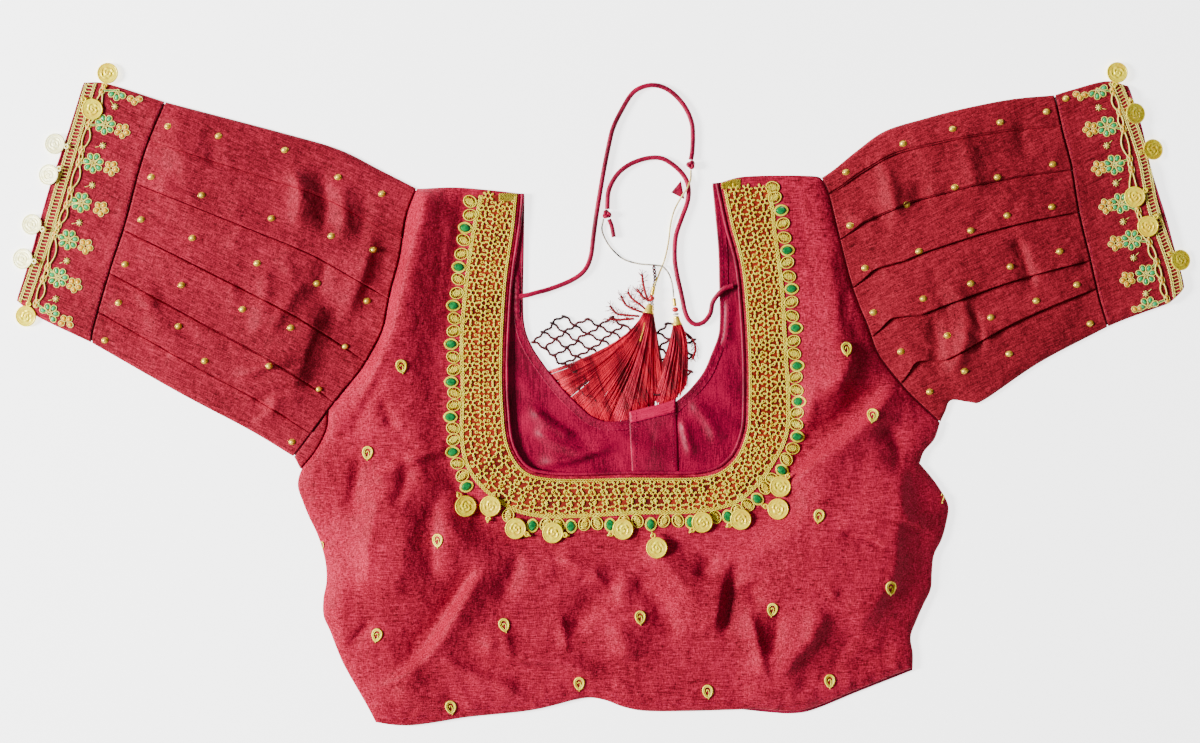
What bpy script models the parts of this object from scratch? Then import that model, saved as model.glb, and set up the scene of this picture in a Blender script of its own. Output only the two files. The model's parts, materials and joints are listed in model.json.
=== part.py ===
"""A choli blouse laid flat, front up, with its tie cords, tassels, neck band and coins.

Lengths in the tables are millimetres: X runs across the blouse, Y up the body, Z up from the
surface that it lies on. Meshes are made in metres.
"""

import math
from collections import namedtuple

import bmesh
import bpy
import numpy as np
from mathutils import Vector
from mathutils.bvhtree import BVHTree
from mathutils.geometry import delaunay_2d_cdt

MM = 0.001
SEAM_GAP = 0.3
CLOTH = 1.4  # a silk panel with its lining
SLEEVE_CLOTH = 1.0
EDGE_STEP = 12.0  # between the outline points of a large panel
FINE_STEP = 6.0  # between the points of a line that distances are taken from
GRID_STEP = 16.0  # between the inner points of a large panel
BACK_STEP = 26.0  # between those of the back, which lies flat
STRIP_STEP = 30.0  # wider than a narrow strip, which then has no inner points
CENTRE_SHIFT = (-0.66, -0.56)  # puts the middle of the whole blouse on the origin

CRIMSON = (0.42, 0.018, 0.040)
MAGENTA = (0.33, 0.004, 0.045)
TASSEL_RED = (0.62, 0.010, 0.018)
ZARI_GOLD = (0.62, 0.42, 0.10)
COIN_GOLD = (0.75, 0.52, 0.08)
COIN_PALE = (0.72, 0.66, 0.42)
NET_BLACK = (0.06, 0.010, 0.012)

# ---------------------------------------------------------------- outlines of the cut pieces

SHOULDER_LEFT = [(-54.5, 143.5), (-79, 146), (-104.5, 148), (-131, 147)]
ARMHOLE_LEFT = [
    (-131, 147), (-137, 132.5), (-140, 120), (-143.5, 97), (-150, 73), (-155, 47.5),
    (-162.5, 32), (-171, 17.5), (-182.5, 3.5), (-194, -11), (-205, -26), (-219, -44.5),
]
ARMHOLE_LEFT_TO_GUSSET = ARMHOLE_LEFT[:10]
GUSSET_LEFT_INNER = [(-194, -11), (-194.5, -21), (-199, -33), (-206, -44), (-213.5, -53.5)]
GUSSET_LEFT_TIP = (-195.3, -12.5)
GUSSET_LEFT_HEEL = (-214.4, -52.9)
GUSSET_LEFT_SEAM = [(-218.6, -44.4), (-205, -26)]
SIDE_LEFT = [
    (-213.5, -53.5), (-216.5, -60.5), (-215, -69.5), (-209, -85.5), (-200, -105.5),
    (-195.5, -129), (-198.5, -154), (-191.5, -172.5), (-184, -191.5), (-166.5, -222.5),
    (-160.5, -234),
]
HEM_LEFT = [
    (-160.5, -234), (-141.5, -236.5), (-120, -234.5), (-96, -230.5), (-49.5, -225.5),
    (-18, -218), (-7, -216.5), (2.5, -218), (16, -223), (32.5, -226), (65.5, -226), (98.5, -225),
]
HEM_RIGHT = [(98.5, -225), (136, -228), (155.5, -224), (180, -214), (223, -197)]
SIDE_RIGHT = [
    (223, -197), (223, -181.5), (221.5, -173), (229, -153.5), (236, -138.5), (237.5, -117),
    (244, -102.5), (248.5, -82.5), (245.5, -72.5), (236, -58.5), (227.5, -48.5), (226, -43.5),
    (236, -37), (242.5, -20),
]
ARMHOLE_RIGHT = [
    (157.5, 154.5), (162.5, 144), (169, 117.5), (178, 82), (185.5, 60.5), (190.5, 49),
    (197, 30.5), (205, 19), (213, 9), (221.5, -0.5), (230.5, -9), (242.5, -20),
]
SHOULDER_RIGHT = [(157.5, 154.5), (152.5, 156), (129.5, 156.5), (101, 155.5), (82, 151)]
FRONT_NECK = [
    (-54.5, 143.5), (-57, 118.5), (-62, 84), (-64.5, 49.5), (-65.5, 14.5), (-64.5, -11),
    (-61.5, -34), (-52.5, -49.5), (-39, -54.5), (-14.5, -55.5), (21, -54.5), (71, -54),
    (90, -45.5), (99, -28), (101, -7.5), (100.5, 36), (96.5, 87.5), (88.5, 120), (82, 151),
]
BACK_NECK_LEFT = [
    (-54.5, 143.5), (-55, 101.5), (-55.5, 69.5), (-54.5, 49.5), (-49.5, 35), (-40, 20.5),
    (-28.5, 5.5), (-16.5, -7), (-6.5, -15.5), (4.5, -19.5), (19, -18.5), (27, -17),
]
BACK_NECK_RIGHT = [
    (27, -17), (45.5, -12), (55, -4.5), (63.5, 3), (73.5, 15.5), (79.5, 29), (84.5, 42.5),
    (85.5, 57.5), (85, 78), (84.5, 101.5), (82.5, 125.5), (80, 151),
]
BACK_SPLIT_X = 27.0  # where the two back halves meet, under the placket
SPLIT_CLEAR = 4.0  # from the split to the next point of the hem
PLACKET = [(20, -12.5), (46, -6), (54, -3), (56, -68), (23, -68)]
BACK_TOP = CLOTH
PLACKET_LOW = BACK_TOP + SEAM_GAP
PLACKET_THICK = 1.1
FACING_WIDTH = 4.0
FACING_START = 2.0  # how far beyond the hem's low point the facing begins
HEM_SHOWS = 1.8  # how much of the facing shows below the front

# ---------------------------------------------------------------- sleeves and cuffs

SLEEVE_LEFT_TOP = [(-131, 147), (-157.5, 160.5), (-186.5, 175), (-225.5, 186.5), (-311, 209)]
SLEEVE_LEFT_BOTTOM = [(-219, -44.5), (-250.5, -25.5), (-300.5, 1), (-363.5, 37)]
CUFF_SEAM_LEFT = [
    (-311, 209), (-323, 180), (-330.5, 156), (-339.5, 121.5), (-349.5, 91), (-362, 47.5),
    (-363.5, 37),
]
CUFF_LEFT_TOP = [(-311, 209), (-352, 222), (-369, 223)]
CUFF_LEFT_EDGE = [(-369, 223), (-380, 187.5), (-394, 146), (-409, 92), (-417, 67)]
CUFF_LEFT_BOTTOM = [(-363.5, 37), (-402, 55.5), (-417, 67)]
SLEEVE_RIGHT_TOP = [
    (157.5, 154.5), (167, 161), (183.5, 174.5), (203.5, 188.5), (232.5, 197.5), (257.5, 204),
    (293, 211), (324.5, 214),
]
SLEEVE_RIGHT_BOTTOM = [
    (242.5, -20), (246.5, -12), (250.5, -4), (264, -5.5), (274, -4), (314, 23), (362.5, 48.5),
]
CUFF_SEAM_RIGHT = [
    (324.5, 214), (329.5, 189.5), (336, 164.5), (341.5, 131), (349.5, 97), (356, 69),
    (362.5, 48.5),
]
CUFF_RIGHT_TOP = [(324.5, 214), (337.5, 218), (361.5, 224), (377, 220.5)]
CUFF_RIGHT_EDGE = [
    (377, 220.5), (386.5, 191), (393, 161.5), (403.5, 127.5), (410, 103.5), (416, 81),
    (415.5, 74.5), (406, 65),
]
CUFF_RIGHT_BOTTOM = [(362.5, 48.5), (377, 54.5), (406, 65)]

# Share of the way down the sleeve at which a pleat's folded edge lies.
Pleat = namedtuple("Pleat", "at_armhole at_cuff")
PLEATS_LEFT = [Pleat(0.17, 0.16), Pleat(0.375, 0.34), Pleat(0.60, 0.53), Pleat(0.77, 0.71),
               Pleat(0.90, 0.87)]
PLEATS_RIGHT = [Pleat(0.06, 0.13), Pleat(0.23, 0.32), Pleat(0.41, 0.50), Pleat(0.60, 0.71),
                Pleat(0.80, 0.83)]
PLEAT_RISE = 1.1
PLEAT_DEPTH = 0.075  # share of the sleeve's width over which a pleat climbs to its edge
PLEAT_DROP = 0.008  # and over which it falls again
PLEAT_LEAST = 0.3  # share of a pleat's rise that is left where it runs into a seam
SLEEVE_EDGE_HEIGHT = 2.6
SLEEVE_PUFF = 3.2
CUFF_TOP = 3.8
UNDER_SHARES = np.linspace(0.985, 0.015, 11)  # points on the flat underside of a tube
TUBE_PINCH = 3.2  # how much narrower a tube is inside, in thicknesses of its cloth
SLEEVE_WIDTH = 180.0
CUFF_WIDTH = 170.0
SLEEVE_STATIONS = [0.0, 0.08, 0.2, 0.38, 0.56, 0.74, 0.9, 1 - 0.6 / 190]
CUFF_STATIONS = [0.01, 0.35, 0.7, 1.0]

# ---------------------------------------------------------------- relief of the front

Fold = namedtuple("Fold", "name start middle end height width")
FOLDS = [
    Fold("left_diagonal", (-80, -113), (-110, -170), (-162, -206), 5.5, 9),
    Fold("left_diagonal_valley", (-92, -108), (-124, -160), (-164, -190), -3.0, 9),
    Fold("left_armhole_valley", (-150, 20), (-167, -8), (-180, -34), -2.0, 10),
    Fold("left_bust_valley", (-166, -46), (-169, -63), (-171, -80), -2.0, 8),
    Fold("left_dart_crease", (-136, -52), (-122, -47), (-110, -42), 2.5, 6),
    Fold("left_hem_ridge", (-113, -190), (-73, -205), (-50, -218), 3.0, 8),
    Fold("middle_valley", (-4, -138), (-11, -149), (-19, -160), -2.5, 10),
    Fold("hem_pucker", (-7, -212), (-3, -203), (3, -193), 2.0, 7),
    Fold("right_dart_valley", (96, -115), (90, -150), (85, -178), -3.0, 9),
    Fold("right_hem_ridge", (105, -197), (134, -185), (152, -166), 3.0, 11),
    Fold("right_side_roll", (206, -70), (205, -119), (180, -168), 4.0, 14),
    Fold("armpit_ridge", (209, 4), (193, -11), (160, -40), 4.5, 7),
    Fold("armpit_valley", (201, 8), (184, -8), (156, -28), -3.0, 7),
    Fold("armpit_hollow", (199, -11), (211, -24), (222, -36), -2.5, 8),
]
Dome = namedtuple("Dome", "centre height radius")
DOMES = [Dome((-124, -104), 9.0, 50.0), Dome((150, -112), 9.0, 52.0)]
EASE = 3.6  # how far the front lies above the back away from its seams
EASE_REACH = 11.0  # from a seam to where the front has most of that height
BAND_REACH = 34.0  # how far the stiff neck band keeps the cloth flat
BAND_CLEAR = 14.0  # from there to where the relief begins
RELIEF_RISE = 30.0  # and over which it comes to its full height
UNDER_BAND_LIFT = 1.5  # the placket lies under the band at the bottom of the neck
LIFT_FROM_Y = 90.0  # down from here the front rises to that lift

# ---------------------------------------------------------------- neck band

BAND_OUTER = [
    (-86.5, 143), (-90.5, 124), (-94, 104), (-97.5, 75.5), (-99.5, 54.5), (-100.5, 33),
    (-99.5, 5), (-100.5, -23), (-98.5, -44.5), (-90.5, -63.5), (-83.5, -72.5), (-70.5, -78.5),
    (-55, -86), (-40.5, -88), (-17, -88), (28, -85.5), (62.5, -85), (89, -81), (104.5, -73.5),
    (117, -59.5), (128.5, -44), (134, -32.5), (135.5, -4.5), (134, 22), (132.5, 48.5),
    (131, 74.5), (127.5, 103.5), (124.5, 131), (120, 153),
]
STONES = [
    (-96.5, 119), (-101, 91), (-105, 63.5), (-106.5, 36), (-106.5, 9), (-107, -16),
    (-105.5, -41), (-95.5, -65.5), (-48.5, -93.5), (-21, -94), (7, -93), (36, -92.5),
    (64.5, -91), (91, -87), (112, -74.5), (129.5, -54), (140.5, -30), (141.5, -5),
    (140.5, 20.5), (139.5, 47.5), (136.5, 75.5), (133.5, 103), (129, 131.5),
]
BAND_INSET = 3.0  # from the neckline's piping
BAND_THICK = 0.9
STONE_RADIUS = 3.9
STONE_RISE = 1.2
STONE_HALF_LENGTH = 2.5  # of its raised face, along the band
STONE_HALF_WIDTH = 1.7
PETAL_RADIUS = 4.2
PETALS_BETWEEN_STONES = 2
PIPING_RADIUS = 1.1
BACK_PIPING_RADIUS = 0.8
CUFF_BAND_WIDTH = 8.0
CUFF_BAND_INSET = 1.4
CUFF_BAND_THICK = 0.7

# ---------------------------------------------------------------- coins

COIN_RADIUS = 7.5
COIN_THICK = 1.1
COIN_SIDES = 14
EYE_RADIUS = 2.1
EYE_HOLE = 0.85
EYE_REACH = 8.9  # from the coin's middle to the eye's
Coin = namedtuple("Coin", "name centre eye pale")
COINS = [
    Coin("neck_1", (-96, -79.5), (-100.5, -72), False),
    Coin("neck_2", (-78.5, -79.5), (-80, -88), False),
    Coin("neck_3", (-60.5, -95.5), (-52.5, -99.5), False),
    Coin("neck_4", (-34, -98.5), (-25.5, -100), False),
    Coin("neck_5", (16, -96), (7, -99.5), False),
    Coin("neck_6", (40, -109), (37.5, -100.5), False),
    Coin("neck_7", (72.5, -91), (65.5, -96.5), False),
    Coin("neck_8", (100, -89), (92, -93), False),
    Coin("neck_9", (126.5, -81.5), (117, -79.5), False),
    Coin("neck_10", (128, -65.5), (133, -58.5), False),
    Coin("cuff_left_1", (-352, 229.5), (-354, 221), False),
    Coin("cuff_left_2", (-362.5, 203.5), (-368, 210), False),
    Coin("cuff_left_3", (-389.5, 179), (-381, 177), True),
    Coin("cuff_left_4", (-394, 157), (-386, 161), True),
    Coin("cuff_left_5", (-406, 121.5), (-398, 118), True),
    Coin("cuff_left_6", (-412.5, 97), (-404, 95), True),
    Coin("cuff_left_7", (-410.5, 56), (-408, 65), False),
    Coin("cuff_right_1", (369, 230), (367, 221), False),
    Coin("cuff_right_2", (381.5, 200.5), (378, 209), False),
    Coin("cuff_right_3", (394.5, 175), (386, 173), False),
    Coin("cuff_right_4", (381, 141), (389, 146), False),
    Coin("cuff_right_5", (390.5, 120), (396, 127), False),
    Coin("cuff_right_6", (414, 96), (406, 100), False),
]

# ---------------------------------------------------------------- tie cords and tassels

CORD_RADIUS = 1.75
STRING_RADIUS = 0.6
# Routes of the cords' middle lines: across, up, and height above the surface.
DORI_LEFT = [
    (-58, 70, 4.5), (-52, 71, 4.5), (-45, 73, 3.4), (-36, 75.5, 1.85), (-21, 81.5, 1.85),
    (-11.5, 88.5, 1.85), (-7, 98.5, 1.85), (-5, 113.5, 1.85), (-3, 128, 1.85),
    (-0.5, 143.5, 1.85), (2.5, 161, 1.85), (6, 178.5, 1.85), (9, 190.5, 1.85),
    (15, 203, 1.85), (23, 215.5, 1.85), (32.5, 220.5, 1.85), (42, 220.5, 1.85),
    (51.5, 215.5, 1.85), (60, 206, 1.85), (65, 195, 1.85), (66, 185, 1.85),
    (65.5, 173, 1.9), (64.5, 167.8, 2.6),
]
DORI_RIGHT = [
    (94.5, 77.5, 4.5), (89, 76, 4.5), (84, 71.5, 3.7), (80, 65.5, 2.2), (78.5, 58, 1.85),
    (74, 52, 1.85), (68, 50, 1.85), (63, 53.5, 1.85), (60.2, 60, 1.85), (58.6, 68, 1.85),
    (56.6, 77, 1.85), (54.4, 87, 1.85), (53, 98, 1.85), (53.8, 113, 1.85), (58, 126, 1.85),
    (62, 137, 1.85), (63, 146, 1.85), (61, 154, 1.85), (54.5, 162, 1.85), (44.5, 168.5, 1.85),
    (34.5, 169, 1.85), (23, 165.5, 1.85), (14, 159.5, 1.85), (8.5, 152, 1.85),
    (5.5, 144, 1.85), (4.9, 132.4, 2.6),
]
DORI_TAIL = [(6, 125.3, 2.0), (8, 120.5, 1.85), (9.5, 112.5, 1.85)]
STRING_LEFT = [
    (64.6, 160.3, 2.8), (64.2, 153, 3.6), (61, 146, 4.6), (56.5, 139, 3.9), (52.5, 131, 1.6),
    (50, 121, 0.7), (48.6, 109, 0.7), (46, 97, 0.7), (42.5, 88, 0.8), (40, 81.5, 2.2),
    (38.2, 77.4, 3.3),
]
STRING_RIGHT = [
    (2.2, 125.5, 2.3), (1, 118, 0.9), (4, 110, 0.7), (9.5, 102.5, 0.7), (17, 96.5, 0.7),
    (27, 93.5, 0.7), (35, 92.8, 0.9), (40, 92.3, 2.0), (45, 91, 2.3), (49, 86, 1.5),
    (51, 80, 1.6), (51.9, 74.2, 2.8), (52.2, 69.4, 3.3),
]
KNOT_RADIUS = 3.4
KNOT_LEFT = (64.5, 164.0, 3.45)
KNOT_RIGHT = (4.5, 128.6, 3.45)
DORI_TAB = [(57.5, 153), (50.5, 144.5), (60.0, 139.5)]

Turn = namedtuple("Turn", "along radius")  # one ring of a turned profile, from the string down
TASSEL_BEADS = [Turn(0, 1.4), Turn(5.6, 1.5), Turn(6, 1.2), Turn(7.2, 2.2), Turn(9, 2.3),
                Turn(10.4, 1.4), Turn(10.9, 2.3), Turn(12.6, 2.3)]
TASSEL_CAP = [Turn(0, 0.4), Turn(0.6, 0.55), Turn(4.2, 0.75), Turn(6.5, 1.0)]  # of the mouth
TURN_SIDES = 10
Tassel = namedtuple("Tassel", "name start toward mouth fan")
TASSELS = [
    # mouth: the radius of the cap's open end. fan: where the locks end, from left to right.
    Tassel("left", (38, 76.9), (34.2, 57.5), 3.5,
           [(-33, 16), (-22, 3), (-9, -8), (5, -12.5), (18, -10.5), (30, -5), (38, 10)]),
    Tassel("right", (52.3, 68.9), (55, 49), 2.8,
           [(41, 4), (46, -2.5), (52, -0.5), (58, 7)]),
]
TASSEL_HEIGHT = 3.6  # of the axis
LOCK_LAYERS = 5
LOCK_PITCH = 0.58
LOCK_ROOT = 0.2
LOCK_WIDTH = 0.75
LOCK_STEPS = 3
LOCK_LOWEST = 1.5
LOCK_LAYER = 1.25

# ---------------------------------------------------------------- net under the tassels

NET_EDGE = [
    (-46, 42), (-36, 43), (-26, 50), (-14, 54), (4, 53), (18, 51), (30, 46), (44, 44),
    (57, 47), (66, 38), (66, 20), (60, 8), (50, 3), (34, 5), (18, 1), (5, -3), (-8, 4),
    (-18, 15), (-30, 29),
]
NET_PITCH = (16.5, 11.0)
NET_ROWS = 14
NET_COLUMNS = 10  # to each side of X = 0
NET_STRAND = 0.9  # taken from each diamond's half length and half width
NET_THICK = 0.9


# ---------------------------------------------------------------- lines and areas

def array(points):
    return np.array(points, dtype=float)


def smooth_line(points, step):
    """Points about step apart on the Catmull-Rom curve through the given ones."""
    p = array(points)
    p = np.vstack([2 * p[0] - p[1], p, 2 * p[-1] - p[-2]])
    fine = []
    for a, b, c, d in zip(p, p[1:], p[2:], p[3:]):
        for t in np.linspace(0, 1, 12, endpoint=False):
            fine.append(0.5 * (2 * b + (c - a) * t + (2 * a - 5 * b + 4 * c - d) * t**2
                               + (3 * b - a - 3 * c + d) * t**3))
    fine.append(p[-2])
    fine = array(fine)
    along = np.concatenate([[0], np.cumsum(np.linalg.norm(np.diff(fine, axis=0), axis=1))])
    count = max(2, int(round(along[-1] / step)) + 1)
    at = np.linspace(0, along[-1], count)
    return np.stack([np.interp(at, along, fine[:, k]) for k in range(fine.shape[1])], axis=1)


def line_at(points, shares):
    """Points at the given shares of the smooth curve's length."""
    line = smooth_line(points, 2.0)
    along = np.concatenate([[0], np.cumsum(np.linalg.norm(np.diff(line, axis=0), axis=1))])
    at = np.asarray(shares) * along[-1]
    return np.stack([np.interp(at, along, line[:, k]) for k in range(line.shape[1])], axis=1)


def beside(line, distance):
    """The line moved sideways; a positive distance is to its left."""
    line = array(line)
    direction = np.gradient(line[:, :2], axis=0)
    direction /= np.linalg.norm(direction, axis=1)[:, None]
    moved = line.copy()
    moved[:, 0] -= direction[:, 1] * distance
    moved[:, 1] += direction[:, 0] * distance
    return moved


def joined(*lines):
    """One closed outline from lines that share their end points."""
    return np.vstack([array(line)[:-1] for line in lines])


def distance_to(points, line):
    """Each point's distance to the nearest stretch of the line."""
    points, line = array(points)[:, None, :], array(line)
    a, b = line[None, :-1], line[None, 1:]
    along = ((points - a) * (b - a)).sum(2) / np.maximum(((b - a) ** 2).sum(2), 1e-9)
    nearest = a + np.clip(along, 0, 1)[..., None] * (b - a)
    return np.linalg.norm(points - nearest, axis=2).min(1)


def inside(points, outline):
    """True for each point inside the closed outline."""
    points, a = array(points), array(outline)
    b = np.roll(a, -1, axis=0)
    x, y = points[:, 0, None], points[:, 1, None]
    crosses = (a[None, :, 1] > y) != (b[None, :, 1] > y)
    rise = np.where(b[:, 1] == a[:, 1], 1e-9, b[:, 1] - a[:, 1])
    meets = a[None, :, 0] + (y - a[None, :, 1]) * (b - a)[None, :, 0] / rise[None]
    return (crosses & (x < meets)).sum(1) % 2 == 1


def eased(x):
    """0 up to 0, 1 from 1, and a smooth rise between."""
    x = np.clip(x, 0, 1)
    return x * x * (3 - 2 * x)


def grid_inside(outline, step, clear, keep_off):
    """Points of a triangular grid inside the outline, clear of it and of other points."""
    low, high = outline.min(0), outline.max(0)
    rows = np.arange(low[1], high[1], step * math.sqrt(0.75))
    points = [(x + (k % 2) * step / 2, y) for k, y in enumerate(rows)
              for x in np.arange(low[0], high[0], step)]
    points = array(points)
    points = points[inside(points, outline)]
    points = points[distance_to(points, np.vstack([outline, outline[:1]])) > clear]
    if len(keep_off):
        apart = np.linalg.norm(points[:, None] - array(keep_off)[None], axis=2).min(1)
        points = points[apart > clear]
    return points


# ---------------------------------------------------------------- objects

def material(name, colour, roughness, metallic):
    made = bpy.data.materials.new(name)
    made.use_nodes = True
    shader = made.node_tree.nodes["Principled BSDF"]
    shader.inputs["Base Color"].default_value = (*colour, 1.0)
    shader.inputs["Roughness"].default_value = roughness
    shader.inputs["Metallic"].default_value = metallic
    return made


def solid(name, points, faces, colour, roughness=0.6, metallic=0.0):
    """An object from points in millimetres, its faces turned outwards."""
    shift = array([CENTRE_SHIFT[0], CENTRE_SHIFT[1], 0.0])
    mesh = bpy.data.meshes.new(name)
    mesh.from_pydata([tuple(p) for p in (array(points) + shift) * MM], [],
                     [tuple(int(i) for i in f) for f in faces])
    shape = bmesh.new()
    shape.from_mesh(mesh)
    bmesh.ops.recalc_face_normals(shape, faces=shape.faces)
    shape.to_mesh(mesh)
    shape.free()
    made = bpy.data.objects.new(name, mesh)
    bpy.context.collection.objects.link(made)
    mesh.materials.append(material(name, colour, roughness, metallic))
    return made


def triangulated(outline, inner, holes):
    """Triangles over the outline's area through the inner points, less the holes."""
    loops = [array(outline)] + [array(h) for h in holes]
    points, edges = [], []
    for loop in loops:
        first = len(points)
        points += [Vector(p[:2]) for p in loop]
        edges += [(first + i, first + (i + 1) % len(loop)) for i in range(len(loop))]
    points += [Vector(p) for p in inner]
    flat, _, faces, *_ = delaunay_2d_cdt(points, edges, [], 1, 1e-5)
    flat, faces = array([tuple(p) for p in flat]), np.array([tuple(f) for f in faces])
    middles = flat[faces].mean(1)
    keep = np.ones(len(faces), bool)
    for hole in holes:
        keep &= ~inside(middles, array(hole))
    return flat, faces[keep]


def wall(flat, faces, low, high):
    """Points and faces of a closed wall between two heights over the same triangles."""
    count = len(flat)
    points = np.vstack([np.column_stack([flat, high]), np.column_stack([flat, low])])
    sides = {}
    for a, b, c in faces:
        for edge in ((a, b), (b, c), (c, a)):
            if edge[::-1] in sides:
                del sides[edge[::-1]]
            else:
                sides[edge] = True
    made = [tuple(f) for f in faces] + [tuple(f[::-1] + count) for f in faces]
    for a, b in sides:
        made += [(b, a, a + count), (b, a + count, b + count)]
    return points, made


def panel(name, outline, low, high, colour, step=GRID_STEP, extra=(), edge_clear=2.5, **looks):
    """A cloth wall over the outline; low and high give its heights at flat points."""
    outline = array(outline)
    clear = step * 0.5
    extra = array(extra).reshape(-1, 2)
    if len(extra):
        extra = extra[inside(extra, outline)]
        border = np.vstack([outline, outline[:1]])
        extra = extra[distance_to(extra, border) > edge_clear]
    inner = np.vstack([extra, grid_inside(outline, step, clear, extra)])
    flat, faces = triangulated(outline, inner, [])
    points, made = wall(flat, faces, low(flat), high(flat))
    return solid(name, points, made, colour, **looks)


def turned(start, axis, turns):
    """Rings of points about the axis, one for each row of a turned profile."""
    axis = Vector(axis).normalized()
    side = axis.cross(Vector((0, 0, 1))).normalized()
    up = side.cross(axis)
    rings = []
    for along, radius in turns:
        middle = Vector(start) + axis * along
        for k in range(TURN_SIDES):
            angle = 2 * math.pi * k / TURN_SIDES
            rings.append(middle + side * math.cos(angle) * radius + up * math.sin(angle) * radius)
    return rings


def ring_faces(rings, sides, first=0):
    return [(first + r * sides + k, first + r * sides + (k + 1) % sides,
             first + (r + 1) * sides + (k + 1) % sides, first + (r + 1) * sides + k)
            for r in range(rings - 1) for k in range(sides)]


def cord(name, route, radius, spacing, colour, **looks):
    """A round cord: a curve object with a bevel and filled ends along a smooth route."""
    points = smooth_line(route, spacing)
    points[:, 2] = np.maximum(points[:, 2], radius + 0.05)
    curve = bpy.data.curves.new(name, "CURVE")
    curve.dimensions = "3D"
    curve.bevel_depth = radius * MM
    curve.bevel_resolution = 2
    curve.use_fill_caps = True
    spline = curve.splines.new("POLY")
    spline.points.add(len(points) - 1)
    for place, (x, y, z) in zip(spline.points, points):
        place.co = ((x + CENTRE_SHIFT[0]) * MM, (y + CENTRE_SHIFT[1]) * MM, z * MM, 1.0)
    made = bpy.data.objects.new(name, curve)
    bpy.context.collection.objects.link(made)
    curve.materials.append(material(name, colour, looks.get("roughness", 0.5),
                                    looks.get("metallic", 0.0)))
    return made


# ---------------------------------------------------------------- back

def level(height):
    return lambda flat: np.full(len(flat), float(height))


def make_back():
    """Two halves that meet under the placket, their satin lining upwards."""
    neck_inset = 2 * BACK_PIPING_RADIUS + SEAM_GAP
    left_neck = beside(smooth_line(BACK_NECK_LEFT, EDGE_STEP), -neck_inset)
    right_neck = beside(smooth_line(BACK_NECK_RIGHT, EDGE_STEP), -neck_inset)
    left_neck[0] = (SHOULDER_LEFT[0][0] - neck_inset, SHOULDER_LEFT[0][1])
    right_neck[-1] = (SHOULDER_RIGHT[-1][0] + neck_inset, SHOULDER_RIGHT[-1][1])
    half_gap = SEAM_GAP / 2
    left_neck[-1][0] = BACK_SPLIT_X - half_gap
    right_neck[0][0] = BACK_SPLIT_X + half_gap
    hem = smooth_line(HEM_LEFT, EDGE_STEP)
    hem_left = hem[hem[:, 0] < BACK_SPLIT_X - SPLIT_CLEAR]
    hem_right = hem[hem[:, 0] > BACK_SPLIT_X + SPLIT_CLEAR]
    split_y = float(np.interp(BACK_SPLIT_X, hem[:, 0], hem[:, 1]))
    left = joined(
        np.vstack([left_neck[:1], array(SHOULDER_LEFT)[1:]]),
        smooth_line(ARMHOLE_LEFT, EDGE_STEP),
        [ARMHOLE_LEFT[-1], SIDE_LEFT[0]],
        smooth_line(SIDE_LEFT, EDGE_STEP),
        np.vstack([hem_left, [(BACK_SPLIT_X - half_gap, split_y)]]),
        [(BACK_SPLIT_X - half_gap, split_y), tuple(left_neck[-1])],
        left_neck[::-1],
    )
    facing = facing_inner_line()
    right = joined(
        np.vstack([[(BACK_SPLIT_X + half_gap, split_y)], hem_right]),
        np.vstack([hem_right[-1:], facing]),
        np.vstack([facing[-1:], smooth_line(SIDE_RIGHT, EDGE_STEP)[1:]]),
        smooth_line(ARMHOLE_RIGHT, EDGE_STEP)[::-1],
        np.vstack([array(SHOULDER_RIGHT)[:-1], right_neck[-1:]]),
        right_neck[::-1],
        [tuple(right_neck[0]), (BACK_SPLIT_X + half_gap, split_y)],
    )
    panel("back_left", left, level(0), level(BACK_TOP), MAGENTA, step=BACK_STEP, roughness=0.4)
    panel("back_right", right, level(0), level(BACK_TOP), MAGENTA, step=BACK_STEP, roughness=0.4)


def facing_inner_line():
    """The back's own hem where the facing strip continues it."""
    line = beside(smooth_line(HEM_RIGHT, EDGE_STEP), FACING_WIDTH + SEAM_GAP)
    line[0] = (HEM_RIGHT[0][0] + FACING_START, line[0][1])
    line[-1] = (HEM_RIGHT[-1][0], HEM_RIGHT[-1][1] + FACING_WIDTH + SEAM_GAP)
    return line


def make_hem_facing():
    """The satin strip that turns up the hem and shows below the front's right part."""
    outer = smooth_line(HEM_RIGHT, EDGE_STEP)
    inner = beside(outer, FACING_WIDTH)
    inner[-1] = (HEM_RIGHT[-1][0], HEM_RIGHT[-1][1] + FACING_WIDTH)
    start = SEAM_GAP + FACING_START
    outer[0][0] += start
    inner[0][0] += start
    panel("hem_facing", np.vstack([outer, inner[::-1]]), level(0), level(BACK_TOP), MAGENTA,
          step=STRIP_STEP, roughness=0.4)


def make_placket():
    """The doubled strip for the hooks, over the meeting of the back halves."""
    panel("placket", PLACKET, level(PLACKET_LOW), level(PLACKET_LOW + PLACKET_THICK), MAGENTA,
          step=STRIP_STEP, roughness=0.4)


# ---------------------------------------------------------------- front

OUTER_EDGES = [
    *[smooth_line(line, FINE_STEP) for line in (ARMHOLE_LEFT_TO_GUSSET, GUSSET_LEFT_INNER,
                                                SIDE_LEFT, HEM_LEFT, HEM_RIGHT, SIDE_RIGHT,
                                                ARMHOLE_RIGHT)],
    array(SHOULDER_LEFT), array(SHOULDER_RIGHT),
]
FRONT_LOW = BACK_TOP + SEAM_GAP


def fold_line(fold):
    return smooth_line([fold.start, fold.middle, fold.end], FINE_STEP)


def front_relief(flat):
    """Height of the folds and of the bust above the plain cloth."""
    height = np.zeros(len(flat))
    for dome in DOMES:
        away = np.linalg.norm(flat - array(dome.centre), axis=1)
        height += dome.height * np.exp(-((away / dome.radius) ** 2))
    for fold in FOLDS:
        height += fold.height * np.exp(-((distance_to(flat, fold_line(fold)) / fold.width) ** 2))
    return height


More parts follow.
